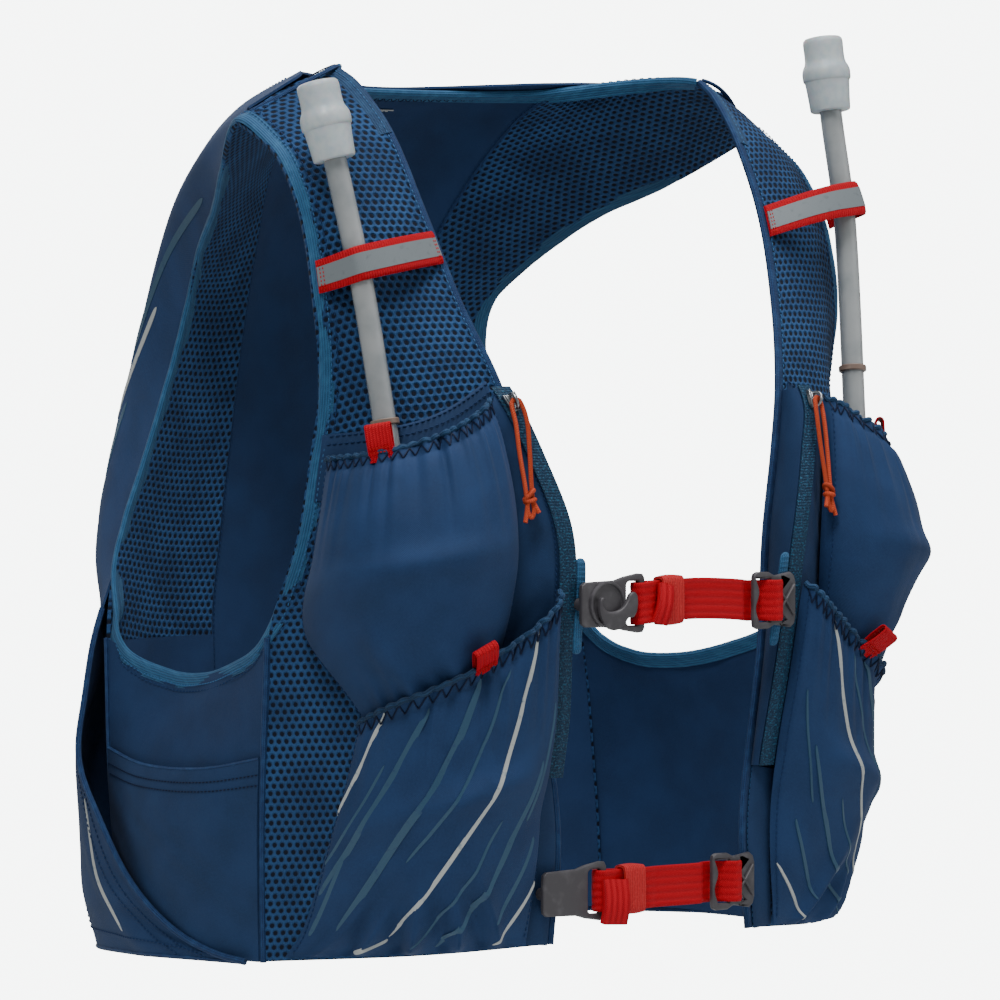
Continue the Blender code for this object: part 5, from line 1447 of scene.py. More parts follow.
    def stitches(self, name: str, starts: Array, ends: Array, normals: Array, finish: Finish,
        radius: float = 0.00032) -> Piece:
        """Separate stitches, each a short tapered thread that dips in at both ends.

        Args:
            name: The piece's name.
            starts: Where each stitch comes up.
            ends: Where it goes down.
            normals: The way off the cloth at each.
            finish: The thread's finish.
            radius: The thread's radius.

        Returns:
            The piece.
        """
        share = np.array([0.0, 0.25, 0.75, 1.0])
        swell = np.array([0.45, 1.0, 1.0, 0.45]) * radius
        rise = np.array([-0.5, 0.7, 0.7, -0.5]) * radius
        way = unit(ends - starts)
        side = unit(np.cross(normals, way))
        centre = starts[:, None] + (ends - starts)[:, None] * share[None, :, None]
        centre = centre + normals[:, None] * rise[None, :, None]
        turn = np.arange(4) * np.pi / 2
        ring = side[:, None] * np.cos(turn)[None, :, None] + normals[:, None] * np.sin(turn)[None, :, None]
        points = centre[:, :, None] + ring[:, None] * swell[None, :, None, None]
        count, rows, sides = points.shape[:3]
        index = np.arange(count * rows * sides).reshape(count, rows, sides)
        ahead = np.roll(index, -1, axis=2)
        faces = np.stack([index[:, :-1], ahead[:, :-1], ahead[:, 1:], index[:, 1:]], axis=-1)
        every = faces.reshape(-1, 4).tolist()
        every += index[:, 0, ::-1].tolist() + index[:, -1].tolist()
        spread = np.zeros(points.shape[:3] + (2,))
        spread[..., 0] = turn[None, None] * radius
        spread[..., 1] = share[None, :, None] * np.linalg.norm(ends - starts, axis=1)[:, None, None]
        piece = self.mesh(name, points.reshape(-1, 3), every, finish, spread.reshape(-1, 2), 80.0)
        return piece

    def seam(self, name: str, line: Array, normals: Array, finish: Finish, pitch: float = 0.0030,
        fill: float = 0.72, zigzag: float = 0.0, radius: float = 0.00032) -> Piece:
        """A row of stitches along a line, straight or zigzag.

        Args:
            name: The piece's name.
            line: The line on the cloth.
            normals: The ways off the cloth along it.
            finish: The thread's finish.
            pitch: The distance from stitch to stitch.
            fill: How much of the pitch a stitch covers.
            zigzag: How far the stitches swing to either side.
            radius: The thread's radius.

        Returns:
            The piece.
        """
        along = lengths(line)
        marks = np.arange(0, along[-1] - pitch, pitch)
        centre = self.read(line, along, marks)
        ahead = self.read(line, along, marks + pitch * (1.0 if zigzag else fill))
        off = unit(self.read(normals, along, marks))
        if zigzag:
            side = unit(np.cross(off, ahead - centre)) * zigzag
            flip = np.where(np.arange(len(marks)) % 2 == 0, 1.0, -1.0)[:, None]
            centre, ahead = centre + side * flip, ahead - side * flip
        return self.stitches(name, centre, ahead, off, finish, radius)

    @staticmethod
    def read(line: Array, along: Array, marks: Array) -> Array:
        """Points of a line at distances along it."""
        return np.stack([np.interp(marks, along, line[:, k]) for k in range(3)], axis=1)

    def plate(self, name: str, outlines: Sequence[Sequence[tuple[float, float]]], frame: "Frame",
        thick: float, edge: float, finish: Finish, lift: float = 0.0) -> Piece:
        """A flat moulded plate with rounded edges and holes.

        Args:
            name: The piece's name.
            outlines: The outer line and then the holes', in the frame's a and w.
            frame: The frame that the plate lies in.
            thick: Its thickness.
            edge: The radius of its rounded edges.
            finish: The plate's finish.
            lift: How far out its middle plane lies.

        Returns:
            The plate.
        """
        curve = bpy.data.curves.new(name, "CURVE")
        curve.dimensions, curve.fill_mode = "2D", "BOTH"
        curve.extrude, curve.bevel_depth, curve.bevel_resolution = thick / 2 - edge, edge, 3
        curve.offset = -edge
        for outline in outlines:
            spline = curve.splines.new("POLY")
            spline.points.add(len(outline) - 1)
            for point, (a, w) in zip(spline.points, outline):
                point.co = (a, w, 0.0, 1.0)
            spline.use_cyclic_u = True
        holder = bpy.data.objects.new(name, curve)
        bpy.context.scene.collection.objects.link(holder)
        bpy.context.view_layer.update()
        graph = bpy.context.evaluated_depsgraph_get()
        data = bpy.data.meshes.new_from_object(holder.evaluated_get(graph))
        flat = np.array([tuple(v.co) for v in data.vertices])
        faces = [list(face.vertices) for face in data.polygons]
        bpy.data.objects.remove(holder)
        bpy.data.curves.remove(curve)
        bpy.data.meshes.remove(data)
        points = frame.many(flat[:, 0], flat[:, 2] + lift, flat[:, 1])
        piece = self.mesh(name, points, faces, finish, flat[:, :2], 40.0)
        return self._weld(piece, 40.0)

    def turned(self, name: str, frame: "Frame", centre: tuple[float, float],
        profile: Sequence[tuple[float, float]], finish: Finish, sides: int = 48) -> Piece:
        """A turned shape whose axis points out of a frame.

        Args:
            name: The piece's name.
            frame: The frame it stands in.
            centre: Its axis, in the frame's a and w.
            profile: Radius and height out of the frame, from foot to top.
            finish: Its finish.
            sides: How many sides it has.

        Returns:
            The piece.
        """
        turn = np.arange(sides) * 2 * np.pi / sides
        loops = [frame.many(centre[0] + radius * np.cos(turn), np.full(sides, high),
                centre[1] + radius * np.sin(turn)) for radius, high in profile]
        return self.rings(name, np.array(loops), finish, sharp=35.0)

    def ribbon(self, name: str, path: Array, thick: float, width: float, frame: "Frame", finish: Finish,
        bow: Optional[Callable[[float], float]] = None) -> Piece:
        """A strip of webbing whose path lies in a frame's a-b plane.

        Args:
            name: The piece's name.
            path: The path's a and b.
            thick: The webbing's thickness.
            width: Its width.
            frame: The frame that the path lies in.
            finish: The webbing's finish.
            bow: How far up the frame the webbing bows at an a.

        Returns:
            The piece.
        """
        path = np.asarray(path, float)
        way = unit(np.gradient(path, axis=0))
        side = np.column_stack([-way[:, 1], way[:, 0]])
        turn = np.linspace(0, 2 * np.pi, 40, endpoint=False)
        square = 0.22
        w = np.sign(np.cos(turn)) * np.abs(np.cos(turn)) ** square * width / 2
        n = np.sign(np.sin(turn)) * np.abs(np.sin(turn)) ** square * thick / 2
        n = n * (0.90 + 0.10 * np.cos(2 * np.pi * w / width * 5))
        loops = []
        for point, out in zip(path, side):
            rise = bow(point[0]) if bow else 0.0
            flat = point[None] + out[None] * n[:, None]
            loops.append(frame.many(flat[:, 0], flat[:, 1], w + rise))
        return self.rings(name, np.array(loops), finish)

    def join(self, name: str, pieces: Sequence[Piece]) -> Piece:
        """Several meshes of one moulding or one piece of sewing made into one object."""
        base = bmesh.new()
        materials: list[bpy.types.Material] = []
        for piece in pieces:
            found = [materials.index(m) if m in materials else -1 for m in piece.data.materials]
            start = len(base.faces)
            base.from_mesh(piece.data)
            if found[0] < 0:
                materials.append(piece.data.materials[0])
            slot = materials.index(piece.data.materials[0])
            base.faces.ensure_lookup_table()
            for face in base.faces[start:]:
                face.material_index = slot
        data = bpy.data.meshes.new(name)
        base.to_mesh(data)
        base.free()
        for one in materials:
            data.materials.append(one)
        for piece in pieces:
            old = piece.data
            bpy.data.objects.remove(piece)
            bpy.data.meshes.remove(old)
        made = bpy.data.objects.new(name, data)
        bpy.context.scene.collection.objects.link(made)
        return made


class Frame:
    """A flat working frame: a along, b out from the wearer, w up."""

    def __init__(self, origin: Array, along: Array, out: Union[Array, Point]) -> None:
        """Squares the frame's three ways from two of them."""
        self.origin = np.asarray(origin, float)
        self.a = unit(np.asarray(along, float))
        out = np.asarray(out, float)
        self.b = unit(out - self.a * np.dot(out, self.a))
        self.w = np.cross(self.a, self.b)
        if self.w[2] < 0:
            self.w = -self.w

    def at(self, a: float, b: float, w: float) -> Array:
        """The point at a, b and w."""
        return self.origin + a * self.a + b * self.b + w * self.w

    def many(self, a: Array, b: Array, w: Array) -> Array:
        """The points at several a, b and w."""
        a, b, w = (np.asarray(one, float)[..., None] for one in (a, b, w))
        return self.origin + a * self.a + b * self.b + w * self.w


MAKE = Maker()


def rounded(low: tuple[float, float], high: tuple[float, float], radius: float,
        steps: int = 6) -> list[tuple[float, float]]:
    """The outline of a rectangle with rounded corners.

    Args:
        low: Its lowest corner.
        high: Its highest corner.
        radius: The corners' radius.
        steps: How many points each corner has.

    Returns:
        The outline's points in order.
    """
    corners = ((high[0] - radius, high[1] - radius, 0.0), (low[0] + radius, high[1] - radius, 90.0),
        (low[0] + radius, low[1] + radius, 180.0), (high[0] - radius, low[1] + radius, 270.0))
    outline = []
    for x, y, start in corners:
        for q in np.radians(np.linspace(start, start + 90, steps)):
            outline.append((x + radius * math.cos(q), y + radius * math.sin(q)))
    return outline


def dress(piece: Piece, node: str = "") -> Piece:
    """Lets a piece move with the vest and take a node's place.

    Args:
        piece: The piece.
        node: The node that it replaces, if any.

    Returns:
        The piece.
    """
    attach(piece, ROOT)
    if node:
        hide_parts(node)
    LOG.info("%s: %d faces", piece.name, len(piece.data.polygons))
    return piece


def sew(name: str, line: Array, normals: Array, finish: Finish, slot: str = "navy_woven",
    **sizes: float) -> Piece:
    """A row of stitches along a line, dressed to move with the vest.

    Args:
        name: The row's name.
        line: The line on the cloth.
        normals: The ways off the cloth along it.
        finish: The thread's finish.
        slot: The record's material slot. Not used.
        **sizes: The pitch, fill, zigzag and radius that Maker.seam takes.

    Returns:
        The row.
    """
    return dress(MAKE.seam(name, line, normals, finish, **sizes))


@dataclass
class Panel:
    """Cloth between two faces."""

    side: Side

    def declare(self, piece: Piece, grid: Array, held: str, rests: Sequence[str],
        gather: float = 1.0) -> None:
        """Works out the flat width, length and area of a sheet of cloth, and keeps none of them.

        Args:
            piece: The cloth. Not used.
            grid: Its face's points.
            held: How it is held. Not used.
            rests: What holds it. Not used.
            gather: Flat length along the mouth for each length when gathered. Not used.
        """
        width, length = flat_size(grid)
        area = float(
            np.linalg.norm(
                np.cross(
                    grid[1:, :-1] - grid[:-1, :-1],
                    grid[:-1, 1:] - grid[:-1, :-1],
                ),
                axis=-1,
            ).sum()
        )


@dataclass
class FrontPanel(Panel):
    """The holed mesh of one front, its seam and its narrow edge binding."""

    columns: int = 44
    rows: int = 120
    seam_level: float = 0.655
    seam_drop: float = 0.055
    strip: float = 0.034
    binding_thick: float = 0.0034

    def build(self) -> None:
        """Makes the panel, its seam and its binding."""
        surface, word = FORM.fronts[self.side], self.side.word
        v = np.linspace(0.001, 0.9975, self.rows)[:, None]
        low = np.array([surface.at_distance(one, 0.0024) for one in v[:, 0]])[:, None]
        high = np.ones((self.rows, 1))
        u = low + (high - low) * np.linspace(0, 1, self.columns)[None]
        outer = surface.point(u, v)
        inner = surface.lifted(u, v, -MESH_THICK)
        panel = MAKE.slab(f"mesh_panel_{word}", outer, inner, MESH_CLOTH)
        dress(panel, f"front_mesh_{word}")
        self.declare(panel, outer, "stretched", [f"back_lining", f"side_panel_{word}"])
        self._seam(surface, word)
        self._binding(surface, word)

    def _seam(self, surface: Surface, word: str) -> None:
        """A woven strip across the mesh, stitched along both its sides."""
        s = np.linspace(0.0, 1.0, 70)
        u = 0.10 + s * 0.86
        level = self.seam_level - self.seam_drop * s - 0.012 * np.sin(np.pi * s)
        rise = np.array([-1.0, -0.97, -0.03, 0.0])[:, None] * self.strip / VEST_HEIGHT
        uu, vv = np.broadcast_to(u, (4, 70)), level[None] + rise
        lift = np.array([0.0003, 0.0009, 0.0009, 0.0003])[:, None] + np.zeros(uu.shape)
        outer, inner = surface.lifted(uu, vv, lift), surface.lifted(uu, vv, lift - 0.0012)
        strip = MAKE.slab(f"seam_strip_{word}", outer, inner, OUTER_CLOTH)
        dress(strip)
        for name, drop in (("low", 0.0052), ("high", 0.0012)):
            place = level - drop / VEST_HEIGHT
            line = surface.lifted(u, place, 0.0010)
            sew(f"seam_stitch_{name}_{word}", line, surface.normal(u, place), THREAD)

    def _binding(self, surface: Surface, word: str) -> None:
        """The narrow binding down the free edge of the front."""
        v = np.linspace(0.0, 1.0, 220)
        line, off = surface.point(0.0, v), surface.normal(0.03, v)
        into = surface.point(0.1, v) - line
        size = (EDGE_BINDING_WIDTH, self.binding_thick)
        binding = MAKE.band(f"edge_binding_{word}", line, off, into, size, -MESH_THICK / 2, EDGE_BINDING,
            ribs=4)
        dress(binding, f"front_binding_{word}")
        high = np.linspace(0.925, 1.0, 40)
        edge, ways = surface.point(0.0, high), surface.normal(0.03, high)
        size = (EDGE_BINDING_WIDTH * 1.9, self.binding_thick * 1.2)
        inward, drop = surface.point(0.1, high) - edge, -MESH_THICK / 2
        dress(MAKE.band(f"neck_end_{word}", edge, ways, inward, size, drop, LIP_HIGHLIGHT_AND_NECK_BINDING, ribs=5))
        u = np.array([surface.at_distance(one, EDGE_BINDING_WIDTH * 0.82) for one in v])
        line = surface.lifted(u, v, 0.0006)
        sew(f"edge_stitch_{word}", line, off, PALE_THREAD, pitch=0.0028)


@dataclass
class ArmholeBand:
    """The light blue stretch binding round one armhole, with its row of stitches."""

    side: Side
    thick: float = 0.0034
    points: int = 270
    stitch_inset: float = 0.0066

    def build(self) -> None:
        """Makes the band and its stitches."""
        word = self.side.word
        line, into, off = FORM.armhole(self.side, self.points)
        wave = Ripple(31 + self.side.sign, 5, 20.0, 60.0).at(np.linspace(0, 1, self.points))
        line = line + off * (wave * 0.00015)[:, None]
        size = (BINDING_WIDTH, self.thick)
        band = MAKE.band(f"armhole_band_{word}", line, off, into, size, -MESH_THICK / 2, BINDING, True,
            ribs=5)
        dress(band, f"armhole_binding_{word}")
        row = line + into * self.stitch_inset + off * (self.thick * 0.17)
        row = np.vstack([row, row[:1]])
        ways = np.vstack([off, off[:1]])
        sew(f"armhole_stitch_{word}", row, ways, PALE_THREAD, pitch=0.0027, slot="blue_binding")
        row = line + into * (BINDING_WIDTH + 0.0016) + off * 0.0003
        row = np.vstack([row, row[:1]])
        sew(f"armhole_overlock_{word}", row, ways, THREAD, pitch=0.0032, slot="blue_binding")


@dataclass
class ZipSide:
    """One zip tape with its wall, facing, lower strip, rail, slider and cord."""

    side: Side
    slider_length: float = 0.0095
    slider_width: float = 0.0070
    slider_thick: float = 0.0042
    cord_radius: float = 0.0011
    cord_drop: float = 0.050
    cord_lean: float = 0.17
    knot_at: int = 66
    knot_radius: float = 0.0029
    rail_width: float = 0.0060
    rail_length: float = 0.046
    rail_thick: float = 0.0026
    rail_rise: float = 0.004

    def _slider_frame(self) -> tuple[Frame, Array, Array]:
        """The slider's frame, the way up the tape and the way off it."""
        levels = np.array([SLIDER_LEVEL - 0.004, SLIDER_LEVEL])
        line, across, off = FORM.tape_line(self.side, levels)
        up = unit(line[1] - line[0])
        above = TAPE_RISE + ZIP_THICK * 0.65 + SEAM_GAP + self.slider_thick * 0.3
        origin = line[1] + across[1] * ZIP_WIDTH / 2 + off[1] * above
        return Frame(origin, -up, off[1]), up, off[1]

    def build_cord(self) -> None:
        """Makes the doubled cord that hangs from the slider's eye, and its knot."""
        word = self.side.word
        frame, up, _ = self._slider_frame()
        eye = self.slider_thick * 0.3 + self.cord_radius + 0.0004
        drop, strand = self.cord_drop, 0.0031
        near = self.cord_radius + 0.0005
        down = [(-0.0006, 0.0), (0.0012, strand * 0.75), (drop * 0.22, strand * 1.02),
            (drop * 0.50, strand * 0.92), (drop * 0.80, near * 1.15), (drop * 0.96, near),
            (drop + 0.0036, near * 1.0)]
        bend = (drop + 0.0062, 0.0)
        route = [(a, -w) for a, w in down] + [bend] + [(a, w) for a, w in down[::-1]]
        path = np.array([frame.at(a, eye, w) for a, w in route])
        fall = np.clip((path - frame.origin) @ -up - self.slider_length * 0.6, 0, None)
        path = path + (np.array([0.0, -self.cord_lean, -1.0]) + up) * fall[:, None]
        line = curve_through(path, 160)
        cord = MAKE.tube(f"pull_cord_{word}", line, self.cord_radius, 14, CORD)
        dress(cord, f"zip_cord_{word}")
        knot = self._knot(word, line)

    def _knot(self, word: str, line: Array) -> Piece:
        """An overhand knot that holds the cord's two strands and its two short tails."""
        one, other = line[self.knot_at], line[-1 - self.knot_at]
        middle, wide = (one + other) / 2, unit(one - other)
        way = unit(one - line[self.knot_at - 6])
        deep = np.cross(way, wide)
        turn = np.linspace(0, 2 * np.pi, 120)
        loop = middle + self.knot_radius * (
            np.cos(2 * turn)[:, None] * wide * 0.95 + np.sin(2 * turn)[:, None] * deep * 0.72)
        loop = loop + way * (0.0016 * np.sin(turn) * 1.4)[:, None]
        pieces = [MAKE.tube(f"knot_turn_{word}", loop, self.cord_radius, 14, CORD)]
        for sign in (-1, 1):
            tail = [
                middle + way * 0.001 + wide * sign * 0.0012,
                middle + way * 0.005 + wide * sign * 0.0026,
                middle + way * 0.0095 + wide * sign * 0.0044,
            ]
            line_out = curve_through(np.array(tail), 24)
            pieces.append(MAKE.tube(f"knot_tail_{sign}_{word}", line_out, self.cord_radius, 12, CORD))
        knot = MAKE.join(f"cord_knot_{word}", pieces)
        return dress(knot)

    def build(self) -> None:
        """Makes everything of the zip but its cord."""
        surface, word = FORM.fronts[self.side], self.side.word
        v = np.linspace(ZIP_FOOT, ZIP_HEAD, 180)
        line, across, off = FORM.tape_line(self.side, v)
        height = ZIP_THICK / 2 + TAPE_RISE
        tape = self._tape(word, line, across, off, height)
        dress(tape, f"zipper_{word}")
        self._wall(surface, word, v, line, across, off)
        self._facing(surface, word)
        self._strip(surface, word)
        self._rail(word)
        self._slider(word)

    def _tape(self, word: str, line: Array, across: Array, off: Array, height: float) -> Piece:
        """The zip tape with its raised coil and its two sewn flats."""
        share = np.linspace(0, 1, 21)
        crown = np.exp(-(((share - 0.5) / 0.20) ** 2)) * 0.46 + 0.44
        half = ZIP_THICK / 2 * crown * np.sqrt(np.clip(1 - (2 * share - 1) ** 14, 0, 1))
        x = np.concatenate([share, share[::-1][1:-1]]) * ZIP_WIDTH
        z = np.concatenate([half, -np.full(19, ZIP_THICK * 0.42)]) + height
        tooth = np.sin(np.arange(len(line)) * 2.1) * 0.00008
        loops = (
            line[:, None]
            + across[:, None] * x[None, :, None]
            + off[:, None] * (z[None, :] + tooth[:, None] * (z[None] > height + 0.0002))[..., None]
        )
        return MAKE.rings(f"zip_tape_{word}", loops, ZIP_TAPE, sharp=50.0)

    def _wall(self, surface: Surface, word: str, v: Array, line: Array, across: Array, off: Array) -> None:
        """The cloth that stands up to the tape from the front's edge."""
        rows = v[::2]
        foot = np.array([surface.at_distance(one, EDGE_BINDING_WIDTH * 0.7) for one in rows])
        low = surface.lifted(foot, rows, LAYER_GAP)
        high = (line + across * SEAM_GAP + off * (TAPE_RISE - SEAM_GAP))[::2]
        share = np.linspace(0, 1, 14)[:, None, None]
        belly = np.sin(np.pi * share) * 0.0012
        outer = low[None] * (1 - share) + high[None] * share - across[None, ::2] * belly
        wall = MAKE.slab(f"zip_stand_{word}", outer, outer + across[None, ::2] * STRIP_THICK, OUTER_CLOTH)
        dress(wall, f"zip_wall_{word}")

    def _facing(self, surface: Surface, word: str) -> None:
        """The cloth that falls from the tape's outer side to the mesh."""
        share = np.linspace(0, 1, 26)
        top = ZIP_HEAD - (ZIP_HEAD - FACING_TOP) * share
        v = ZIP_FOOT + (top - ZIP_FOOT)[None, :] * np.linspace(0, 1, 80)[:, None]
        low = FORM.tape_side(self.side, v, True) - 0.0030 / surface.width(0.5)
        u = low + (FACING_EDGE - low) * share[None, :]
        lift = FORM.facing_lift(self.side, u, v)
        crease = Ripple(5, 6, 4.0, 14.0).at(v * 3 + u) * 0.0006 * np.sin(np.pi * share)[None]
        outer = surface.lifted(u, v, lift + STRIP_THICK + crease)
        facing = MAKE.slab(f"zip_flap_{word}", outer, surface.lifted(u, v, lift + crease), OUTER_CLOTH)
        dress(facing, f"zip_facing_{word}")
        rows = np.linspace(ZIP_FOOT + 0.01, ZIP_HEAD - 0.004, 150)
        beside = FORM.tape_side(self.side, rows, True) + 0.0016 / surface.width(0.5)
        level = FORM.facing_lift(self.side, beside, rows) + STRIP_THICK + STITCH_LIFT
        sew(f"zip_stitch_{word}", surface.lifted(beside, rows, level), surface.normal(beside, rows), THREAD,
            pitch=0.0026)

    def _strip(self, surface: Surface, word: str) -> None:
        """The folded strip that carries on below the zip."""
        v = np.linspace(0.0, ZIP_FOOT - 0.001, 90)
        start = EDGE_BINDING_WIDTH * 0.8
        line = surface.point(np.array([surface.at_distance(one, start) for one in v]), v)
        into = surface.point(0.2, v) - surface.point(0.1, v)
        size = (ZIP_WIDTH - start + 0.0090, STRIP_THICK * 1.2)
        base = STRIP_THICK / 2 + LAYER_GAP
        strip = MAKE.band(f"lower_strip_{word}", line, surface.normal(0.1, v), into, size, base,
            OUTER_CLOTH)
        dress(strip, f"edge_strip_{word}")

    def _rail(self, word: str) -> None:
        """The ribbed rail beside the zip that the chest buckles slide on."""
        reach = self.rail_length / 2 / VEST_HEIGHT
        middle = CHEST_LEVEL + self.rail_rise
        v = np.linspace(middle - reach, middle + reach, 150)
        line, across, off = FORM.tape_line(self.side, v)
        line = line - across * self.rail_width / 2 + off * TAPE_RISE
        share = np.linspace(0, 1, len(v))
        end = np.sqrt(np.clip(1 - (2 * share - 1) ** 22, 0.02, 1))
        rib = 1 + 0.10 * np.cos(share * 2 * np.pi * 20)
        turn = np.linspace(0, 2 * np.pi, 26, endpoint=False)
        x = np.cos(turn)[None] * (self.rail_width * 0.5 * end)[:, None]
        z = np.sin(turn)[None] * (self.rail_thick * 0.54 * end * rib)[:, None]
        loops = line[:, None] + across[:, None] * x[..., None] + off[:, None] * z[..., None]
        dress(MAKE.rings(f"ribbed_rail_{word}", loops, BINDING), f"edge_rail_{word}")

    def _slider(self, word: str) -> None:
        """The cast slider: two wings, a bridge and the eye that the cord runs through."""
        frame, _, _ = self._slider_frame()
        long, wide, thick = self.slider_length / 2, self.slider_width / 2, self.slider_thick
        body = [(-long, -wide * 0.98), (-long * 0.5, -wide), (long * 0.6, -wide * 0.80),
            (long, -wide * 0.45), (long, wide * 0.45), (long * 0.6, wide * 0.80), (-long * 0.5, wide),
            (-long, wide * 0.98), (-long * 0.82, 0.0)]
        plate = MAKE.plate(f"slider_body_{word}", [body], frame, thick * 0.6, 0.0005, METAL)
        lift = thick * 0.3 + 2 * (self.cord_radius + 0.0004)
        turn = np.linspace(-0.25, np.pi + 0.25, 40)
        hoop = np.array(
            [frame.at(lift * 0.9 * math.cos(q), thick * 0.2 + lift * math.sin(q), 0.0) for q in turn]
        )
        eye = MAKE.tube(f"slider_eye_{word}", hoop, 0.0008, 14, METAL)
        rim = [(x * 0.78, w * 0.70) for x, w in body[:-1]]
        cap = MAKE.plate(f"slider_cap_{word}", [rim], frame, 0.0008, 0.0003, METAL, thick * 0.33)
        slider = MAKE.join(f"slider_{word}", [plate, eye, cap])
        dress(slider, f"zip_slider_{word}")


class Streak(NamedTuple):
    """A printed streak: where it starts and ends on a pocket, its width and its colour."""

    start_s: float
    start_t: float
    end_s: float
    end_t: float
    width: float
    pale: bool


FLASK_STREAKS: tuple[Streak, ...] = ()
LOWER_STREAKS: tuple[Streak, ...] = (
    Streak(0.24, 0.985, 0.66, 0.10, 0.0022, True),
    Streak(0.86, 0.99, 0.985, 0.66, 0.0020, True),
    Streak(0.66, 0.09, 0.76, 0.02, 0.0024, True),
    Streak(0.02, 0.24, 0.20, 0.02, 0.0018, True),
    Streak(0.52, 0.96, 0.86, 0.14, 0.0036, False),
    Streak(0.40, 0.93, 0.66, 0.42, 0.0016, False),
    Streak(0.70, 0.94, 0.97, 0.30, 0.0032, False),
    Streak(0.82, 0.80, 0.98, 0.44, 0.0014, False),
    Streak(0.16, 0.62, 0.46, 0.03, 0.0034, False),
    Streak(0.08, 0.74, 0.18, 0.46, 0.0018, False),
    Streak(0.34, 0.50, 0.56, 0.05, 0.0015, False),
    Streak(0.10, 0.40, 0.24, 0.12, 0.0026, False),
    Streak(0.90, 0.46, 0.96, 0.12, 0.0024, False),
)
SHELL_STREAKS: tuple[Streak, ...] = (
    Streak(0.92, 0.72, 0.86, 0.60, 0.0034, True),
    Streak(0.94, 0.20, 0.86, 0.03, 0.0026, True),
    Streak(0.60, 0.55, 0.48, 0.26, 0.0026, True),
    Streak(0.30, 0.36, 0.22, 0.10, 0.0022, True),
    Streak(0.96, 0.86, 0.86, 0.66, 0.0040, False),
    Streak(0.90, 0.62, 0.82, 0.40, 0.0036, False),
    Streak(0.80, 0.52, 0.72, 0.20, 0.0044, False),
    Streak(0.76, 0.84, 0.66, 0.58, 0.0030, False),
    Streak(0.70, 0.40, 0.62, 0.06, 0.0030, False),
    Streak(0.54, 0.82, 0.46, 0.62, 0.0040, False),
    Streak(0.44, 0.50, 0.34, 0.16, 0.0034, False),
    Streak(0.34, 0.78, 0.24, 0.48, 0.0036, False),
    Streak(0.16, 0.60, 0.08, 0.30, 0.0038, False),
    Streak(0.14, 0.24, 0.08, 0.04, 0.0030, False),
)


class Drape(NamedTuple):
    """A slanting fold low on a pocket: its foot's s, lean, width, depth and top's t."""

    foot: float
    lean: float
    wide: float
    deep: float
    top: float


DRAPES: tuple[Drape, ...] = (
    Drape(0.16, 0.70, 0.060, 0.0076, 0.54),
    Drape(0.36, 0.38, 0.050, 0.0070, 0.44),
    Drape(0.55, 0.15, 0.055, 0.0078, 0.50),
    Drape(0.74, -0.25, 0.050, 0.0066, 0.54),
    Drape(0.90, -0.50, 0.042, 0.0044, 0.46),
)


class Printer:
    """Lays printed streaks on a cloth's outer face."""

    def __init__(self, face: Callable[[Array, Array], tuple[Array, Array]]) -> None:
        """Keeps the cloth's face: points and the ways off it, from s and t."""
        self.face = face

    def streak(self, name: str, row: Streak) -> Piece:
        """Makes one streak, a film a tenth of a millimetre over the cloth."""
        share = np.linspace(0, 1, 60)
        s = row.start_s + (row.end_s - row.start_s) * share
        t = row.start_t + (row.end_t - row.start_t) * share
        line, off = self.face(s, t)
        side = unit(np.cross(tangents(line), off))
        taper = np.sqrt(np.clip(1 - (2 * share - 1) ** 8, 0, 1))
        spread = np.linspace(-0.5, 0.5, 3)
        mid = line[:, None] + side[:, None] * (spread[None] * (row.width * taper)[:, None])[..., None]
        outer, inner = mid + off[:, None] * 0.00022, mid - off[:, None] * 0.0003
        finish = GREY_PRINT if row.pale else TEAL_PRINT
        return MAKE.slab(name, outer, inner, finish)

    def print_all(self, name: str, rows: Sequence[Streak]) -> None:
        """Makes every streak of a table as one piece."""
        pieces = [self.streak(f"{name}_{k}", row) for k, row in enumerate(rows)]
        if pieces:
            dress(MAKE.join(name, pieces))


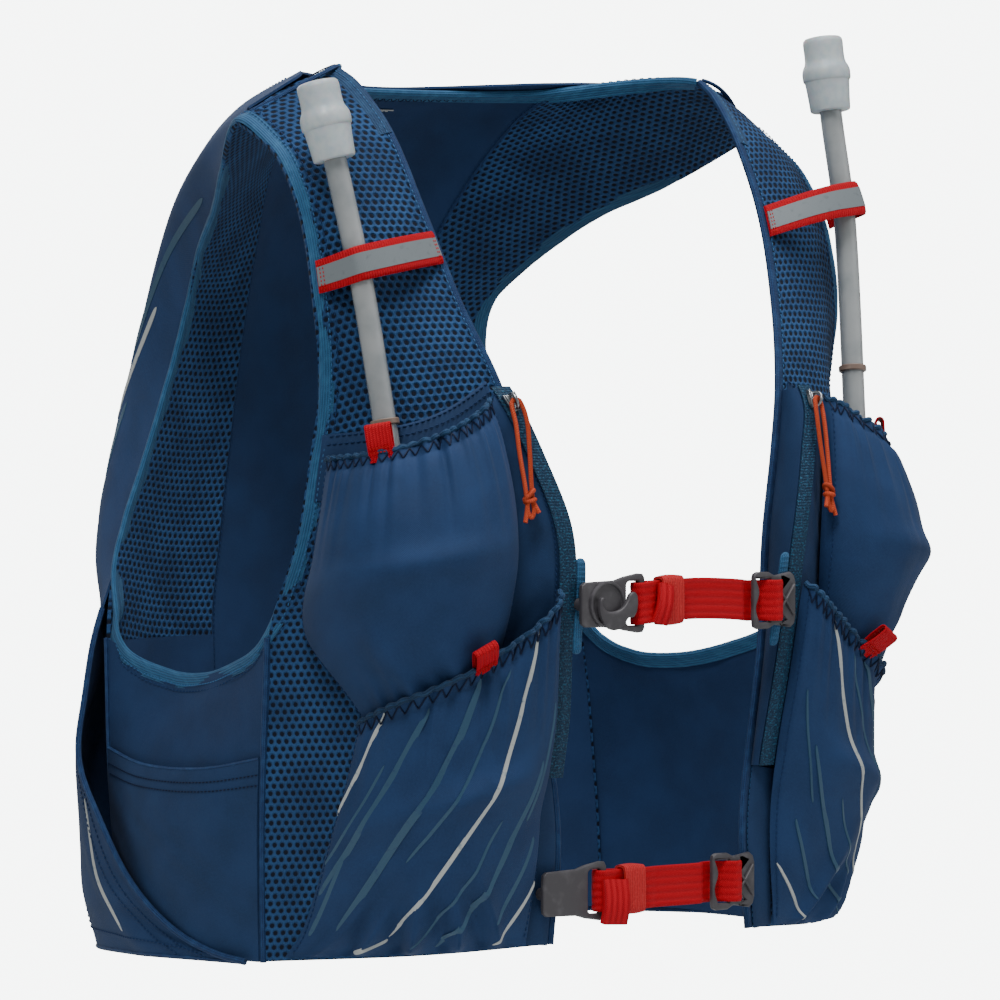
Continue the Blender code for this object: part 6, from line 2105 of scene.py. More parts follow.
@dataclass
class Pocket(Panel):
    """A stretch pocket: full, gathered at its mouth and sewn down at its sides."""

    word: str = "flask"
    node: str = "flask_pocket"
    rows: Sequence[PocketRow] = field(default_factory=lambda: FLASK_POCKET_ROWS)
    streaks: Sequence[Streak] = field(default_factory=lambda: FLASK_STREAKS)
    columns: int = 110
    levels: int = 88
    folds: float = 11.0
    fold_depth: float = 0.0026
    fold_foot: float = 0.60
    crest: float = 0.60
    crest_rise: float = 0.0050
    crest_fall: float = 0.0034
    scallop: float = 0.044
    scallop_depth: float = 0.0008
    crease_depth: float = 0.0009
    drapes: Sequence[Drape] = field(default_factory=lambda: DRAPES)
    seed: int = 3
    hem: float = 0.045

    def place(self, s: Array, t: Array) -> tuple[Array, Array, Array, Array]:
        """u, v and the heights of the pocket's base and smooth outer face."""
        if self.word == "flask":
            return FORM.flask_pocket(self.side, s, t)
        return FORM.lower_pocket(self.side, s, t)

    def relief(self, s: Array, t: Array) -> Array:
        """Folds, scallops and creases that stand on the smooth outer face."""
        over = dome(s, 0.35)
        fan = s + 0.030 * np.sin(2 * np.pi * (t * 0.9 + s * 1.1)) * (1 - t)
        wander = Ripple(self.seed, 5, 1.5, 5.0).at(fan)
        pleat = np.sin(2 * np.pi * self.folds * (fan + 0.045 * wander))
        minor = np.sin(2 * np.pi * self.folds * 1.9 * fan + 3.0 * wander)
        reach = np.clip((t - self.fold_foot - 0.10 * wander) / (1 - self.fold_foot), 0, 1)
        folds = self.fold_depth * (pleat - 0.35 * pleat**2) * (0.6 + 0.5 * wander) * reach**1.25 * over
        folds = folds + self.fold_depth * 0.30 * minor * reach**2.2 * over
        step = smooth(np.clip((self.crest - t - 0.05 * np.sin(2.6 * s + 0.6)) / 0.13, 0, 1))
        ridge = np.exp(-(((t - self.crest - 0.01) / 0.055) ** 2))
        middle = dome(s, 2.2)
        crest = self.crest_rise * ridge * middle - self.crest_fall * step * over
        crest = crest * smooth(np.clip(t / 0.30, 0, 1))
        creases = self._drapes(s, t, over)
        edge = np.clip((t - 0.955) / 0.045, 0, 1)
        scallops = self.scallop_depth * np.cos(2 * np.pi * s / self.scallop) * edge
        pinch = -0.0009 * np.exp(-(((t - (1 - self.hem)) / 0.012) ** 2)) * over
        return folds + crest + creases + scallops + pinch

    def _drapes(self, s: Array, t: Array, over: Array) -> Array:
        """Slanting folds low down, where the full cloth is sewn into its foot."""
        body = dome(t, 0.7) * over
        broad = Ripple(self.seed + 17, 5, 0.8, 2.4).at(s * 1.2 - t * 0.7)
        total = self.crease_depth * broad * body
        for row in self.drapes:
            away = (s - row.foot - row.lean * t) / (row.wide * (0.55 + 0.9 * t))
            fade = smooth(np.clip((row.top - t) / row.top, 0, 1))
            fade = fade * smooth(np.clip(t / 0.05 + 0.3, 0, 1))
            deep = row.deep * dome(s, 0.8)
            fold = np.exp(-np.abs(away) ** 1.6) - 0.5 * np.exp(-((away - 1.8) ** 2))
            total = total + deep * fold * fade
        return total

    def face(self, s: Array, t: Array) -> tuple[Array, Array]:
        """Points on the finished outer face and the ways off the front there."""
        surface = FORM.fronts[self.side]
        u, v, base, lift = self.place(s, t)
        off = surface.normal(u, v)
        height = np.maximum(lift + self.relief(s, t), base + WOVEN_THICK * 0.6)
        return surface.point(u, v) + off * height[..., None], off

    def build(self) -> None:
        """Makes the pocket, its hem, stitches and streaks."""
        surface, word = FORM.fronts[self.side], self.side.word
        s, t = np.meshgrid(np.linspace(0, 1, self.columns), np.linspace(0, 1, self.levels) ** 0.92)
        u, v, base, lift = self.place(s, t)
        off, points = surface.normal(u, v), surface.point(u, v)
        height = np.maximum(lift + self.relief(s, t), base + WOVEN_THICK * 0.6)
        outer = points + off * height[..., None]
        own = np.cross(np.gradient(outer, axis=1), np.gradient(outer, axis=0))
        own = unit(own) * np.sign((own * off).sum(-1, keepdims=True))
        inner = outer - own * WOVEN_THICK
        low = ((inner - points) * off).sum(-1)
        inner = inner + off * np.clip(base - low, 0, WOVEN_THICK)[..., None]
        pocket = MAKE.slab(f"{self.word}_pouch_{word}", outer, inner, POCKET_CLOTH)
        dress(pocket, f"{self.node}_{word}")
        self.declare(pocket, outer, "gathered", [f"mesh_panel_{word}"], 1.15)
        self._mouth(word)
        self._sides(word)
        Printer(self.face).print_all(f"{self.word}_streaks_{word}", self.streaks)

    def _mouth(self, word: str) -> None:
        """The rolled lip along the mouth, with its zigzag and its hem stitches."""
        s = np.linspace(0.006, 0.994, 300)
        line, off = self.face(s, np.full(s.shape, 1.0))
        down = unit(line - self.face(s, np.full(s.shape, 0.97))[0])
        puff = 0.5 + 0.5 * np.cos(2 * np.pi * s / self.scallop)
        line = line - off * 0.0004 + down * (0.0010 * puff - 0.0004)[:, None]
        # The lip's paler blue is partly a painted highlight along the mouth's top fold.
        lip = MAKE.tube(f"{self.word}_lip_{word}", line, 0.0014, 8, LIP_HIGHLIGHT_AND_NECK_BINDING)
        dress(lip)
        half = self.scallop / 2
        corners = np.arange(0.012, 0.988, half)
        s = np.repeat(corners, 2)[1:-1]
        t = np.where((np.arange(len(s)) // 2 + (np.arange(len(s)) % 2)) % 2 == 0, 0.992, 1 - self.hem)
        rows = []
        for k in range(0, len(s) - 1, 2):
            share = np.linspace(0.04, 0.96, 5)
            at = s[k] + (s[k + 1] - s[k]) * share
            high = t[k] + (t[k + 1] - t[k]) * share
            line, off = self.face(at, high)
            rows.append(MAKE.tube(f"{self.word}_v_{word}_{k}", line + off * 0.0003, 0.00042, 5,
                    DARK_THREAD))
        dress(MAKE.join(f"{self.word}_zigzag_{word}", rows))

    def _sides(self, word: str) -> None:
        """The stitching along the pocket's sewn sides and foot."""
        t = np.linspace(0.03, 0.99, 160)
        for name, at in (("inner", 0.018), ("outer", 0.982)):
            line, off = self.face(np.full(t.shape, at), t)
            sew(f"{self.word}_side_{name}_{word}", line + off * STITCH_LIFT, off, THREAD)


@dataclass
class Tab:
    """A folded loop of red webbing sewn at a pocket's mouth."""

    side: Side
    pocket: Pocket
    node: str
    s: float
    lean: float
    width: float = 0.0125
    thick: float = 0.0024
    height: float = 0.0110

    def build(self) -> None:
        """Makes the loop and the stitches that hold it."""
        word, surface = self.side.word, FORM.fronts[self.side]
        s = np.array([self.s, self.s + 0.02, self.s])
        t = np.array([1.0, 1.0, 0.98])
        u, v, _, lift = self.pocket.place(s, t)
        points = surface.lifted(u, v, lift)
        normal = surface.normal(u[0], v[0])
        up = unit(np.cross(unit(points[1] - points[0]), normal))
        up = unit(up * np.sign(up[2]) + self.lean * normal)
        origin = points[0] + up * SEAM_GAP * 1.5
        origin = origin + normal * self.thick * (0.45 * self.lean - 0.2)
        frame = Frame(origin, up, normal)
        half, top = self.thick * 0.75, self.height
        arc = [(top + half * math.sin(q), half * math.cos(q)) for q in np.linspace(0, np.pi, 9)]
        path = [(-0.0050, half * 0.5), (-0.0010, half * 0.6), (0.4 * top, half), *arc]
        path += [(0.4 * top, -half), (-0.0010, -half * 0.6), (-0.0030, -half * 0.6)]
        line = curve_through(np.array([(a, b, 0.0) for a, b in path]), 60)[:, :2]
        loop = MAKE.ribbon(f"{self.node}_loop_{word}", line, self.thick * 0.42, self.width, frame,
            TAB_WEAVE)
        dress(loop, f"{self.node}_{word}")
        rows = []
        for high in (-0.0006, 0.0014):
            across = np.linspace(-self.width * 0.44, self.width * 0.44, 12)
            spot = frame.many(np.full(12, high), np.full(12, half + 0.0006), across)
            ways = np.broadcast_to(frame.b, spot.shape)
            name = f"{self.node}_bar_{word}_{len(rows)}"
            rows.append(MAKE.seam(name, spot, ways, RED_THREAD, pitch=0.0017))
        dress(MAKE.join(f"{self.node}_bartack_{word}", rows))


@dataclass
class Straw:
    """A stiff drinking tube with its collar, bite valve and keeper band."""

    side: Side
    radius: float = 0.0056
    bore: float = 0.0038
    collar_radius: float = 0.0070
    valve_length: float = 0.038
    valve_radius: float = 0.0118
    valve_socket: float = 0.0200
    keeper_width: float = 0.0165
    keeper_thick: float = 0.0016
    collar_at: dict[Side, int] = field(default_factory=lambda: {Side.RIGHT: 10, Side.LEFT: 24})
    keeper_neck: dict[Side, float] = field(default_factory=lambda: {Side.RIGHT: 0.798, Side.LEFT: 0.833})
    keeper_armhole: dict[Side, float] = field(default_factory=lambda: {Side.RIGHT: 0.770, Side.LEFT: 0.850})

    def build(self) -> None:
        """Makes the tube, the valve and the keeper."""
        word = self.side.word
        line = FORM.straw_line(self.side, 120)
        outer = MAKE.loops_round(line, [self.radius] * 120, 26)
        inner = MAKE.loops_round(line, [self.bore] * 120, 26)[::-1]
        tube = MAKE.rings(f"tube_{word}", [*outer, *inner], TUBE, closed=True)
        dress(tube, f"straw_{word}")
        self._collar(word, line)
        self._valve(word, line)
        self._keeper(word)

    def _turned(self, name: str, start: Array, way: Array, profile: Sequence[tuple[float, float]],
        finish: Finish) -> Piece:
        """A turned body along the tube's own way."""
        loops = []
        for radius, height in profile:
            centre = np.array([start + way * height, start + way * (height + 0.01)])
            loops.append(MAKE.loops_round(centre, [radius, radius], 48)[0])
        return MAKE.rings(name, loops, finish, closed=True, sharp=38.0)

    def _collar(self, word: str, line: Array) -> None:
        """The grey-brown ring round the tube's foot."""
        way = unit(line[3] - line[0])
        start, bore = line[self.collar_at[self.side]], self.radius + 0.0001
        profile = [(bore, 0.0), (self.collar_radius * 0.94, 0.0), (self.collar_radius, 0.0004),
            (self.collar_radius, 0.0026), (self.collar_radius * 0.94, 0.0030), (bore, 0.0030)]
        dress(self._turned(f"tube_collar_{word}", start, way, profile, COLLAR))

    def _valve(self, word: str, line: Array) -> None:
        """The bite valve: a socket over the tube, a ring grip and a slit mouthpiece."""
        tip, way = line[-1], unit(line[-1] - line[-4])
        start = tip - way * (self.valve_socket - 0.0004)
        profile = [(self.valve_radius * r, self.valve_length * h) for r, h in VALVE_OUTLINE]
        socket = self.radius + 0.0003
        profile += [(self.bore * 0.9, self.valve_socket + 0.002), (socket, self.valve_socket)]
        profile += [(socket, 0.0)]
        valve = self._turned(f"mouth_valve_{word}", start, way, profile, VALVE)
        dress(valve, f"bite_valve_{word}")

    def _keeper_lift(self, surface: Surface, u: Array, v: Array, wide: float) -> tuple[Array, Array]:
        """Heights at which the band lies on the strap and stretches over the tube."""
        straw = FORM.straw_line(self.side, 60)
        reach = self.radius + 0.0007
        need = np.zeros(u.shape)
        for shift in (-0.6, -0.3, 0.0, 0.3, 0.6):
            at_v = v + shift * self.keeper_width / VEST_HEIGHT
            points, normals = surface.point(u, at_v), surface.normal(u, at_v)
            for a, b in zip(straw[:-1], straw[1:]):
                way = unit(b - a)
                rel = points - a
                off = rel - (rel @ way)[:, None] * way
                lean = normals - (normals @ way)[:, None] * way
                qa, qb = (lean**2).sum(1), 2 * (lean * off).sum(1)
                root = qb**2 - 4 * qa * ((off**2).sum(1) - reach**2)
                lift = np.where(root > 0, (-qb + np.sqrt(np.maximum(root, 0))) / (2 * qa), 0)
                along = ((points + normals * lift[:, None] - a) * way).sum(1)
                near = (along > -0.004) & (along < np.linalg.norm(b - a) + 0.004)
                need = np.where(near, np.maximum(need, lift), need)
        base = LAYER_GAP + 0.0003
        level, at = np.maximum(base, need), (u - u[0]) * wide
        hull = [0]
        for i in range(1, len(at)):
            while len(hull) > 1:
                j, k = hull[-2], hull[-1]
                low = (level[k] - level[j]) * (at[i] - at[j])
                if low > (level[i] - level[j]) * (at[k] - at[j]):
                    break
                hull.pop()
            hull.append(i)
        tight = np.interp(at, at[hull], level[hull])
        blur = np.exp(-((np.arange(-6, 7) / 3.0) ** 2))
        padded = np.pad(tight, 6, mode="edge")
        soft = np.convolve(padded, blur / blur.sum(), "valid")
        return np.maximum(soft, tight), level

    def _keeper(self, word: str) -> None:
        """The red elastic band over the tube, with its pale middle."""
        surface = FORM.fronts[self.side]
        fine = np.linspace(0, 1, 160)
        wide = surface.width(0.8)
        start, end = 0.0035 / wide, 1 - (BINDING_WIDTH * 0.35) / wide
        neck, hole = self.keeper_neck[self.side], self.keeper_armhole[self.side]
        u = start + (end - start) * fine
        v = neck + (hole - neck) * fine
        lift, _ = self._keeper_lift(surface, u, v, wide)
        across = np.linspace(-0.44, 0.44, 15)[:, None] * self.keeper_width / VEST_HEIGHT / 0.95
        grid_u, grid_v = np.broadcast_to(u, (15, 160)), v[None] + across
        edge = np.sqrt(np.clip(1 - (np.abs(np.linspace(-1, 1, 15)) ** 10), 0.2, 1))[:, None]
        top = lift[None] + self.keeper_thick * edge
        outer = surface.lifted(grid_u, grid_v, top)
        inner = surface.lifted(grid_u, grid_v, np.broadcast_to(lift, grid_u.shape))
        band = MAKE.slab(f"keeper_band_{word}", outer, inner, KEEPER_WEAVE)
        dress(band, f"straw_keeper_{word}")
        rows = slice(3, 12)
        stripe = MAKE.slab(f"keeper_stripe_{word}", surface.lifted(grid_u[rows], grid_v[rows],
                top[rows] + 0.00022), surface.lifted(grid_u[rows], grid_v[rows], top[rows] - 0.0004),
            STRIPE_PRINT)
        dress(stripe)
        rows_made = []
        for k, index in enumerate((3, 6, 153, 156)):
            line = outer[1:-1, index]
            ways = surface.normal(grid_u[1:-1, index], grid_v[1:-1, index])
            rows_made.append(MAKE.seam(f"keeper_bar_{word}_{k}", line, ways, RED_THREAD, pitch=0.0019))
        dress(MAKE.join(f"keeper_bartack_{word}", rows_made))


@dataclass
class Flask:
    """The soft flask that fills a pocket, seen at the pocket's mouth."""

    side: Side
    clearance: float = 0.0027
    slack: float = 0.0060
    reach_s: tuple[float, float] = (0.20, 0.82)
    reach_t: tuple[float, float] = (0.28, 0.88)

    def build(self) -> None:
        """Makes the flask's pillow shape with its welded edge."""
        surface, word = FORM.fronts[self.side], self.side.word
        s, t = np.meshgrid(np.linspace(*self.reach_s, 44), np.linspace(*self.reach_t, 50))
        u, v, base, lift = FORM.flask_pocket(self.side, s, t)
        swell = np.sin(np.pi * (s - 0.17) / 0.68) ** 0.5 * np.sin(np.pi * (t - 0.24) / 0.68) ** 0.4
        lift = lift - self.slack
        room = np.maximum(lift - base - 2 * self.clearance, 0.004)
        crumple = 1 - 0.05 * (1 + Ripple(8, 6, 2.0, 6.0).at(s + t * 0.7))
        normals, points = surface.normal(u, v), surface.point(u, v)
        half = (room / 2 * swell * crumple)[..., None] * normals
        centre = points + normals * ((lift + base) / 2)[..., None]
        flask = MAKE.slab(f"soft_flask_{word}", centre + half, centre - half, FILM)
        dress(flask, f"flask_{word}")


@dataclass
class BackPart(Panel):
    """The woven back lining, its two mesh wings, its hem and the neck's binding."""

    seam_rows: Sequence[tuple[float, float]] = ((0.0, 0.44), (0.3, 0.44), (0.72, 0.50), (1.0, 0.42))
    binding_thick: float = 0.0034
    hem_height: float = 0.0085
    label_level: float = 0.962
    neck_roll: float = 0.0032
    woven_top: float = 0.36

    def _seam(self, v: Array) -> Array:
        """u of the seam between the lining and a wing."""
        knots = [row[0] for row in self.seam_rows]
        return weights(knots, v) @ np.array([row[1] for row in self.seam_rows])

    def _strip(self, name: str, low: Array, high: Array, v: Array, columns: int, thick: float,
        finish: Finish) -> tuple[Piece, Array]:
        """Cloth of the back between two lines of u."""
        u = low[:, None] + (high - low)[:, None] * np.linspace(0, 1, columns)[None]
        tall = np.broadcast_to(v[:, None], u.shape)
        wave = Ripple(41, 6, 1.5, 5.0).at(u * 0.8 + tall * 0.6)
        calm = dome(tall, 0.5)
        lift = wave * calm * (0.0005 if finish is INNER_CLOTH else 0.0)
        outer = FORM.back.lifted(u, tall, lift)
        inner = FORM.back.lifted(u, tall, lift - thick)
        return MAKE.slab(name, outer, inner, finish), outer

    def build(self) -> None:
        """Makes the lining, the wings, the bindings and the hem."""
        v = np.linspace(0.0015, 0.9965, 110)
        seam = self._seam(v)
        lining, grid = self._strip("inner_back", -seam, seam, v, 60, WOVEN_THICK, INNER_CLOTH)
        dress(lining, "back_lining")
        self.declare(lining, grid, "stretched", ["mesh_wing_left", "mesh_wing_right"])
        for side in Side:
            edge = 1 - 0.0015 / np.array([FORM.back.width(one) for one in v]) * 2
            low, high = side.sign * (seam + 0.001), side.sign * edge
            name = f"mesh_wing_{side.word}"
            wing, grid = self._strip(name, low, high, v, 30, MESH_THICK, MESH_CLOTH)
            dress(wing, f"back_wing_{side.word}")
            below = np.linspace(0.0015, self.woven_top, 60)
            start, stop = (np.interp(below, v, row) for row in (low, high))
            u = start[:, None] + (stop * 0.99 - start)[:, None] * np.linspace(0, 1, 24)[None]
            tall = np.broadcast_to(below[:, None], u.shape)
            sheets = (FORM.back.lifted(u, tall, -MESH_THICK - gap) for gap in (0.0003, 0.0013))
            cover = MAKE.slab(f"wing_lining_{side.word}", *sheets, INNER_CLOTH)
            dress(cover)
            self.declare(wing, grid, "stretched", ["inner_back"])
            self._wing_seam(side, v, seam)
        self._neck()
        self._hem()
        self._label()
        self._shoulders()

    def _wing_seam(self, side: Side, v: Array, seam: Array) -> None:
        """A bound seam between the lining and a wing, stitched on both faces."""
        u = side.sign * seam
        line = FORM.back.point(u, v) - FORM.back.normal(u, v) * WOVEN_THICK
        off = -FORM.back.normal(u, v)
        tape = MAKE.tube(f"wing_seam_{side.word}", line, 0.0011, 8, EDGE_BINDING, flat=0.7)
        dress(tape)
        beside = side.sign * (seam - 0.012)
        line = FORM.back.point(beside, v) - FORM.back.normal(beside, v) * (WOVEN_THICK + STITCH_LIFT)
        sew(f"wing_stitch_{side.word}", line, off, THREAD)

    def _neck(self) -> None:
        """The binding along the back of the neck, with its stitches on both faces."""
        u = np.linspace(-NECK_END * 0.992, NECK_END * 0.992, 170)
        line, inner = FORM.back.point(u, 1.0), FORM.back.point(u * 0.97, 0.96)
        line = line + unit(line - inner) * (self.neck_roll * (1 - np.abs(u / NECK_END) ** 4))[:, None]
        off = FORM.back.normal(u, 0.99)
        size = (EDGE_BINDING_WIDTH * 1.35, self.binding_thick * 1.15)
        band = MAKE.band("neck_band", line, off, inner - line, size, -WOVEN_THICK / 2, BINDING, ribs=3)
        dress(band, "neck_binding")
        way = unit(inner - line)
        for name, sign in (("outer", 1.0), ("inner", -1.0)):
            row = line + way * EDGE_BINDING_WIDTH * 1.25 + off * sign * self.binding_thick * 0.46
            sew(f"neck_stitch_{name}", row, off * sign, DARK_THREAD, pitch=0.0022, zigzag=0.0016)

    def _hem(self) -> None:
        """The turned-up hem of the lining and its dark stitches."""
        u = np.linspace(-0.435, 0.435, 200)
        tall = self.hem_height / VEST_HEIGHT
        for row, v in enumerate((tall, 0.0012)):
            inside = FORM.back.lifted(u, np.full(u.shape, v), -WOVEN_THICK - 0.0002)
            off = -FORM.back.normal(u, np.full(u.shape, v))
            if row == 0:
                sew("hem_stitch", inside, off, DARK_THREAD, pitch=0.0042, fill=0.62)
        rise = np.linspace(0, 1, 6)[:, None] * tall * 0.93 + 0.0006
        uu, vv = np.broadcast_to(u, (6, 200)), np.broadcast_to(rise, (6, 200))
        lift = np.broadcast_to(-WOVEN_THICK - 0.0001, uu.shape)
        fold = MAKE.slab("hem_fold", FORM.back.lifted(uu, vv, lift), FORM.back.lifted(uu, vv,
                lift - 0.0009), INNER_CLOTH)
        dress(fold)

    def _label(self) -> None:
        """The plain pale stitch-down at the inside of the neck."""
        u = np.linspace(-0.062, 0.062, 40)
        v = np.full(u.shape, self.label_level)
        line = FORM.back.lifted(u, v, -WOVEN_THICK - 0.0005)
        off = -FORM.back.normal(u, v)
        dress(MAKE.tube("plain_label", line, 0.0006, 6, LABEL, flat=0.6))
        sew("label_stitch", line + off * 0.0005, off, LABEL_THREAD, pitch=0.0030)

    def _shoulders(self) -> None:
        """The seam tape over each shoulder line."""
        for side in Side:
            u = side.sign * np.linspace(NECK_END + 0.012, 0.978, 60)
            line = FORM.back.point(u, np.full(u.shape, 0.9995))
            tape = MAKE.tube(f"shoulder_seam_{side.word}", line, 0.0016, 10, EDGE_BINDING, flat=0.6)
            dress(tape)
            surface = FORM.fronts[side]
            share = np.linspace(0.05, 0.96, 60)
            row = surface.lifted(share, np.full(60, 0.989), 0.0003)
            ways = surface.normal(share, np.full(60, 0.989))
            sew(f"shoulder_stitch_{side.word}", row, ways, THREAD, slot="navy_mesh")


@dataclass
class BackShell(Panel):
    """The stretch outer back: a pouch open at both sides, with printed streaks."""

    columns: int = 150
    levels: int = 124
    lip: float = 0.0016

    def _relief(self, u: Array, v: Array) -> Array:
        """Folds of a half-filled pouch: slanting draws and a soft belly."""
        wave = Ripple(61, 7, 0.9, 3.4).at(u * 0.55 + v * 1.5)
        cross = Ripple(67, 6, 1.2, 4.2).at(v * 1.7 - u * 0.4)
        fine = Ripple(71, 8, 5.0, 12.0).at(u * 0.9 + v * 0.5)
        calm = dome(v, 0.6) * np.cos(u * np.pi / 2) ** 0.35
        draw = np.exp(-(((np.abs(u) - 0.93) / 0.09) ** 2)) * np.clip(1 - v / 0.45, 0, 1)
        pulls = 0.0012 * np.sin(v * 55 + 2.0 * np.sin(v * 17)) * draw
        return (0.0017 * wave + 0.0012 * cross + 0.0005 * fine) * calm + pulls

    def face(self, s: Array, t: Array) -> tuple[Array, Array]:
        """Points on the outer face and the ways off it, from s and t."""
        u = 2 * np.asarray(s, float) - 1
        off = FORM.shell.normal(u, t)
        height = WOVEN_THICK + self._relief(u, np.asarray(t, float))
        return FORM.shell.point(u, t) + off * height[..., None], off

    def build(self) -> None:
        """Makes the shell, its hems and its streaks."""
        share = np.linspace(-1, 1, self.columns)
        u = np.sign(share) * np.abs(share) ** 0.92
        v = np.linspace(0, 1, self.levels)
        top = 0.9945 - 0.0015 * np.cos(u * np.pi)
        uu = np.broadcast_to(u, (self.levels, self.columns))
        vv = v[:, None] * top[None]
        off = FORM.shell.normal(uu, vv)
        lift = self._relief(uu, vv)
        inner = FORM.shell.point(uu, vv) + off * lift[..., None]
        outer = inner + off * WOVEN_THICK
        shell = MAKE.slab("outer_back", outer, inner, POCKET_CLOTH)
        dress(shell, "back_shell")
        self.declare(shell, outer, "stretched", ["inner_back"])
        self._mouths()
        for side in Side:
            sign = side.sign

            def face(s: Array, t: Array) -> tuple[Array, Array]:
                """The half of the shell on one side, from the spine outward."""
                return self.face(0.5 + sign * np.asarray(s, float) / 2, t)

            Printer(face).print_all(f"shell_streaks_{side.word}", SHELL_STREAKS)
        self._seams()

    def _mouths(self) -> None:
        """The rolled hems of the two side mouths and of the foot."""
        v = np.linspace(0.0, 0.40, 140)
        for side in Side:
            u = np.full(v.shape, 0.998 * side.sign)
            line, off = self.face((u + 1) / 2, v)
            lip = MAKE.tube(f"shell_lip_{side.word}", line - off * 0.0006, self.lip, 10, EDGE_BINDING)
            dress(lip)
            for row, at in enumerate((0.955, 0.925)):
                line, off = self.face(np.full(v.shape, (at * side.sign + 1) / 2), v)
                sew(f"shell_hem_{side.word}_{row}", line + off * STITCH_LIFT, off, THREAD)
        s = np.linspace(0.004, 0.996, 260)
        line, off = self.face(s, np.full(s.shape, 0.0))
        foot = MAKE.tube("shell_foot_roll", line - off * 0.0006, self.lip * 0.8, 10, EDGE_BINDING)
        dress(foot)
        line, off = self.face(s, np.full(s.shape, 0.022))
        sew("shell_foot_stitch", line + off * STITCH_LIFT, off, THREAD)

    def _seams(self) -> None:
        """Two long shaping seams down the shell, each with its stitches."""
        v = np.linspace(0.02, 0.985, 200)
        for side in Side:
            for row, shift in enumerate((-0.004, 0.004)):
                at = 0.5 + side.sign * (0.30 - 0.05 * np.sin(v * np.pi) + shift)
                line, off = self.face(at, v)
                sew(f"shell_seam_{side.word}_{row}", line + off * STITCH_LIFT, off, THREAD)


@dataclass
class SidePart(Panel):
    """A stretch side panel with its flat pocket and the pocket's hem."""

    columns: int = 44
    levels: int = 54

    def build(self) -> None:
        """Makes the panel and its pocket."""
        surface, word = FORM.flanks[self.side], self.side.word
        u, v = np.meshgrid(np.linspace(0.0, 1.0, self.columns), np.linspace(0.0, 0.985, self.levels))
        wave = Ripple(83, 6, 1.4, 4.6).at(u * 0.7 + v * 0.9) * np.sin(np.pi * u) * 0.0006
        outer = surface.lifted(u, v, wave)
        inner = surface.lifted(u, v, wave - WOVEN_THICK)
        panel = MAKE.slab(f"flank_{word}", outer, inner, INNER_CLOTH)
        dress(panel, f"side_panel_{word}")
        self.declare(panel, outer, "stretched", [f"mesh_panel_{word}", f"mesh_wing_{word}"])
        self._pocket(surface, word)
        self._seams(surface, word)

    def _lift(self, u: Array, v: Array) -> Array:
        """How far the flat pocket stands off the panel."""
        full = dome(u) * np.clip(v / SIDE_MOUTH, 0, 1) ** 0.7
        wave = Ripple(89, 6, 1.0, 3.6).at(u * 1.1 - v * 0.8) * dome(u)
        draw = Ripple(97, 7, 2.2, 5.5).at(v * 2.0 - u * 1.15) * (0.35 + 0.65 * np.clip(u, 0, 1) ** 2)
        calm = dome(u, 0.4) * np.clip((SIDE_MOUTH - v) / 0.2, 0, 1)
        return LAYER_GAP * 1.6 + SIDE_BULGE * full + 0.0007 * wave + 0.0013 * (draw + 0.8) * calm

    def _pocket(self, surface: Surface, word: str) -> None:
        """The pocket's outer cloth, its turned hem and two rows of stitches."""
        u, v = np.meshgrid(np.linspace(0.02, 0.98, self.columns + 10), np.linspace(0.002, SIDE_MOUTH,
                self.levels))
        lift = self._lift(u, v)
        outer = surface.lifted(u, v, lift + WOVEN_THICK)
        pouch = MAKE.slab(f"flank_pouch_{word}", outer, surface.lifted(u, v, lift), OUTER_CLOTH)
        dress(pouch, f"side_pocket_{word}")
        self.declare(pouch, outer, "stretched", [f"flank_{word}"])
        row = np.linspace(0.022, 0.978, 120)
        at = np.full(row.shape, SIDE_MOUTH)
        line = surface.lifted(row, at, self._lift(row, at) + WOVEN_THICK * 0.5)
        lip = MAKE.tube(f"flank_lip_{word}", line, 0.0009, 8, EDGE_BINDING)
        dress(lip)
        for k, drop in enumerate((0.045, 0.075)):
            at = np.full(row.shape, SIDE_MOUTH - drop)
            line = surface.lifted(row, at, self._lift(row, at) + WOVEN_THICK + STITCH_LIFT)
            off = surface.normal(row, at)
            sew(f"flank_hem_{word}_{k}", line, off, DARK_THREAD, pitch=0.0026)

    def _seams(self, surface: Surface, word: str) -> None:
        """The seam tapes down both sides of the panel."""
        v = np.linspace(0.0, 0.985, 120)
        for name, at in (("fore", 0.008), ("rear", 0.992)):
            u = np.full(v.shape, at)
            line = surface.lifted(u, v, 0.0004)
            tape = MAKE.tube(f"flank_seam_{name}_{word}", line, 0.0016, 10, EDGE_BINDING, flat=0.7)
            dress(tape)


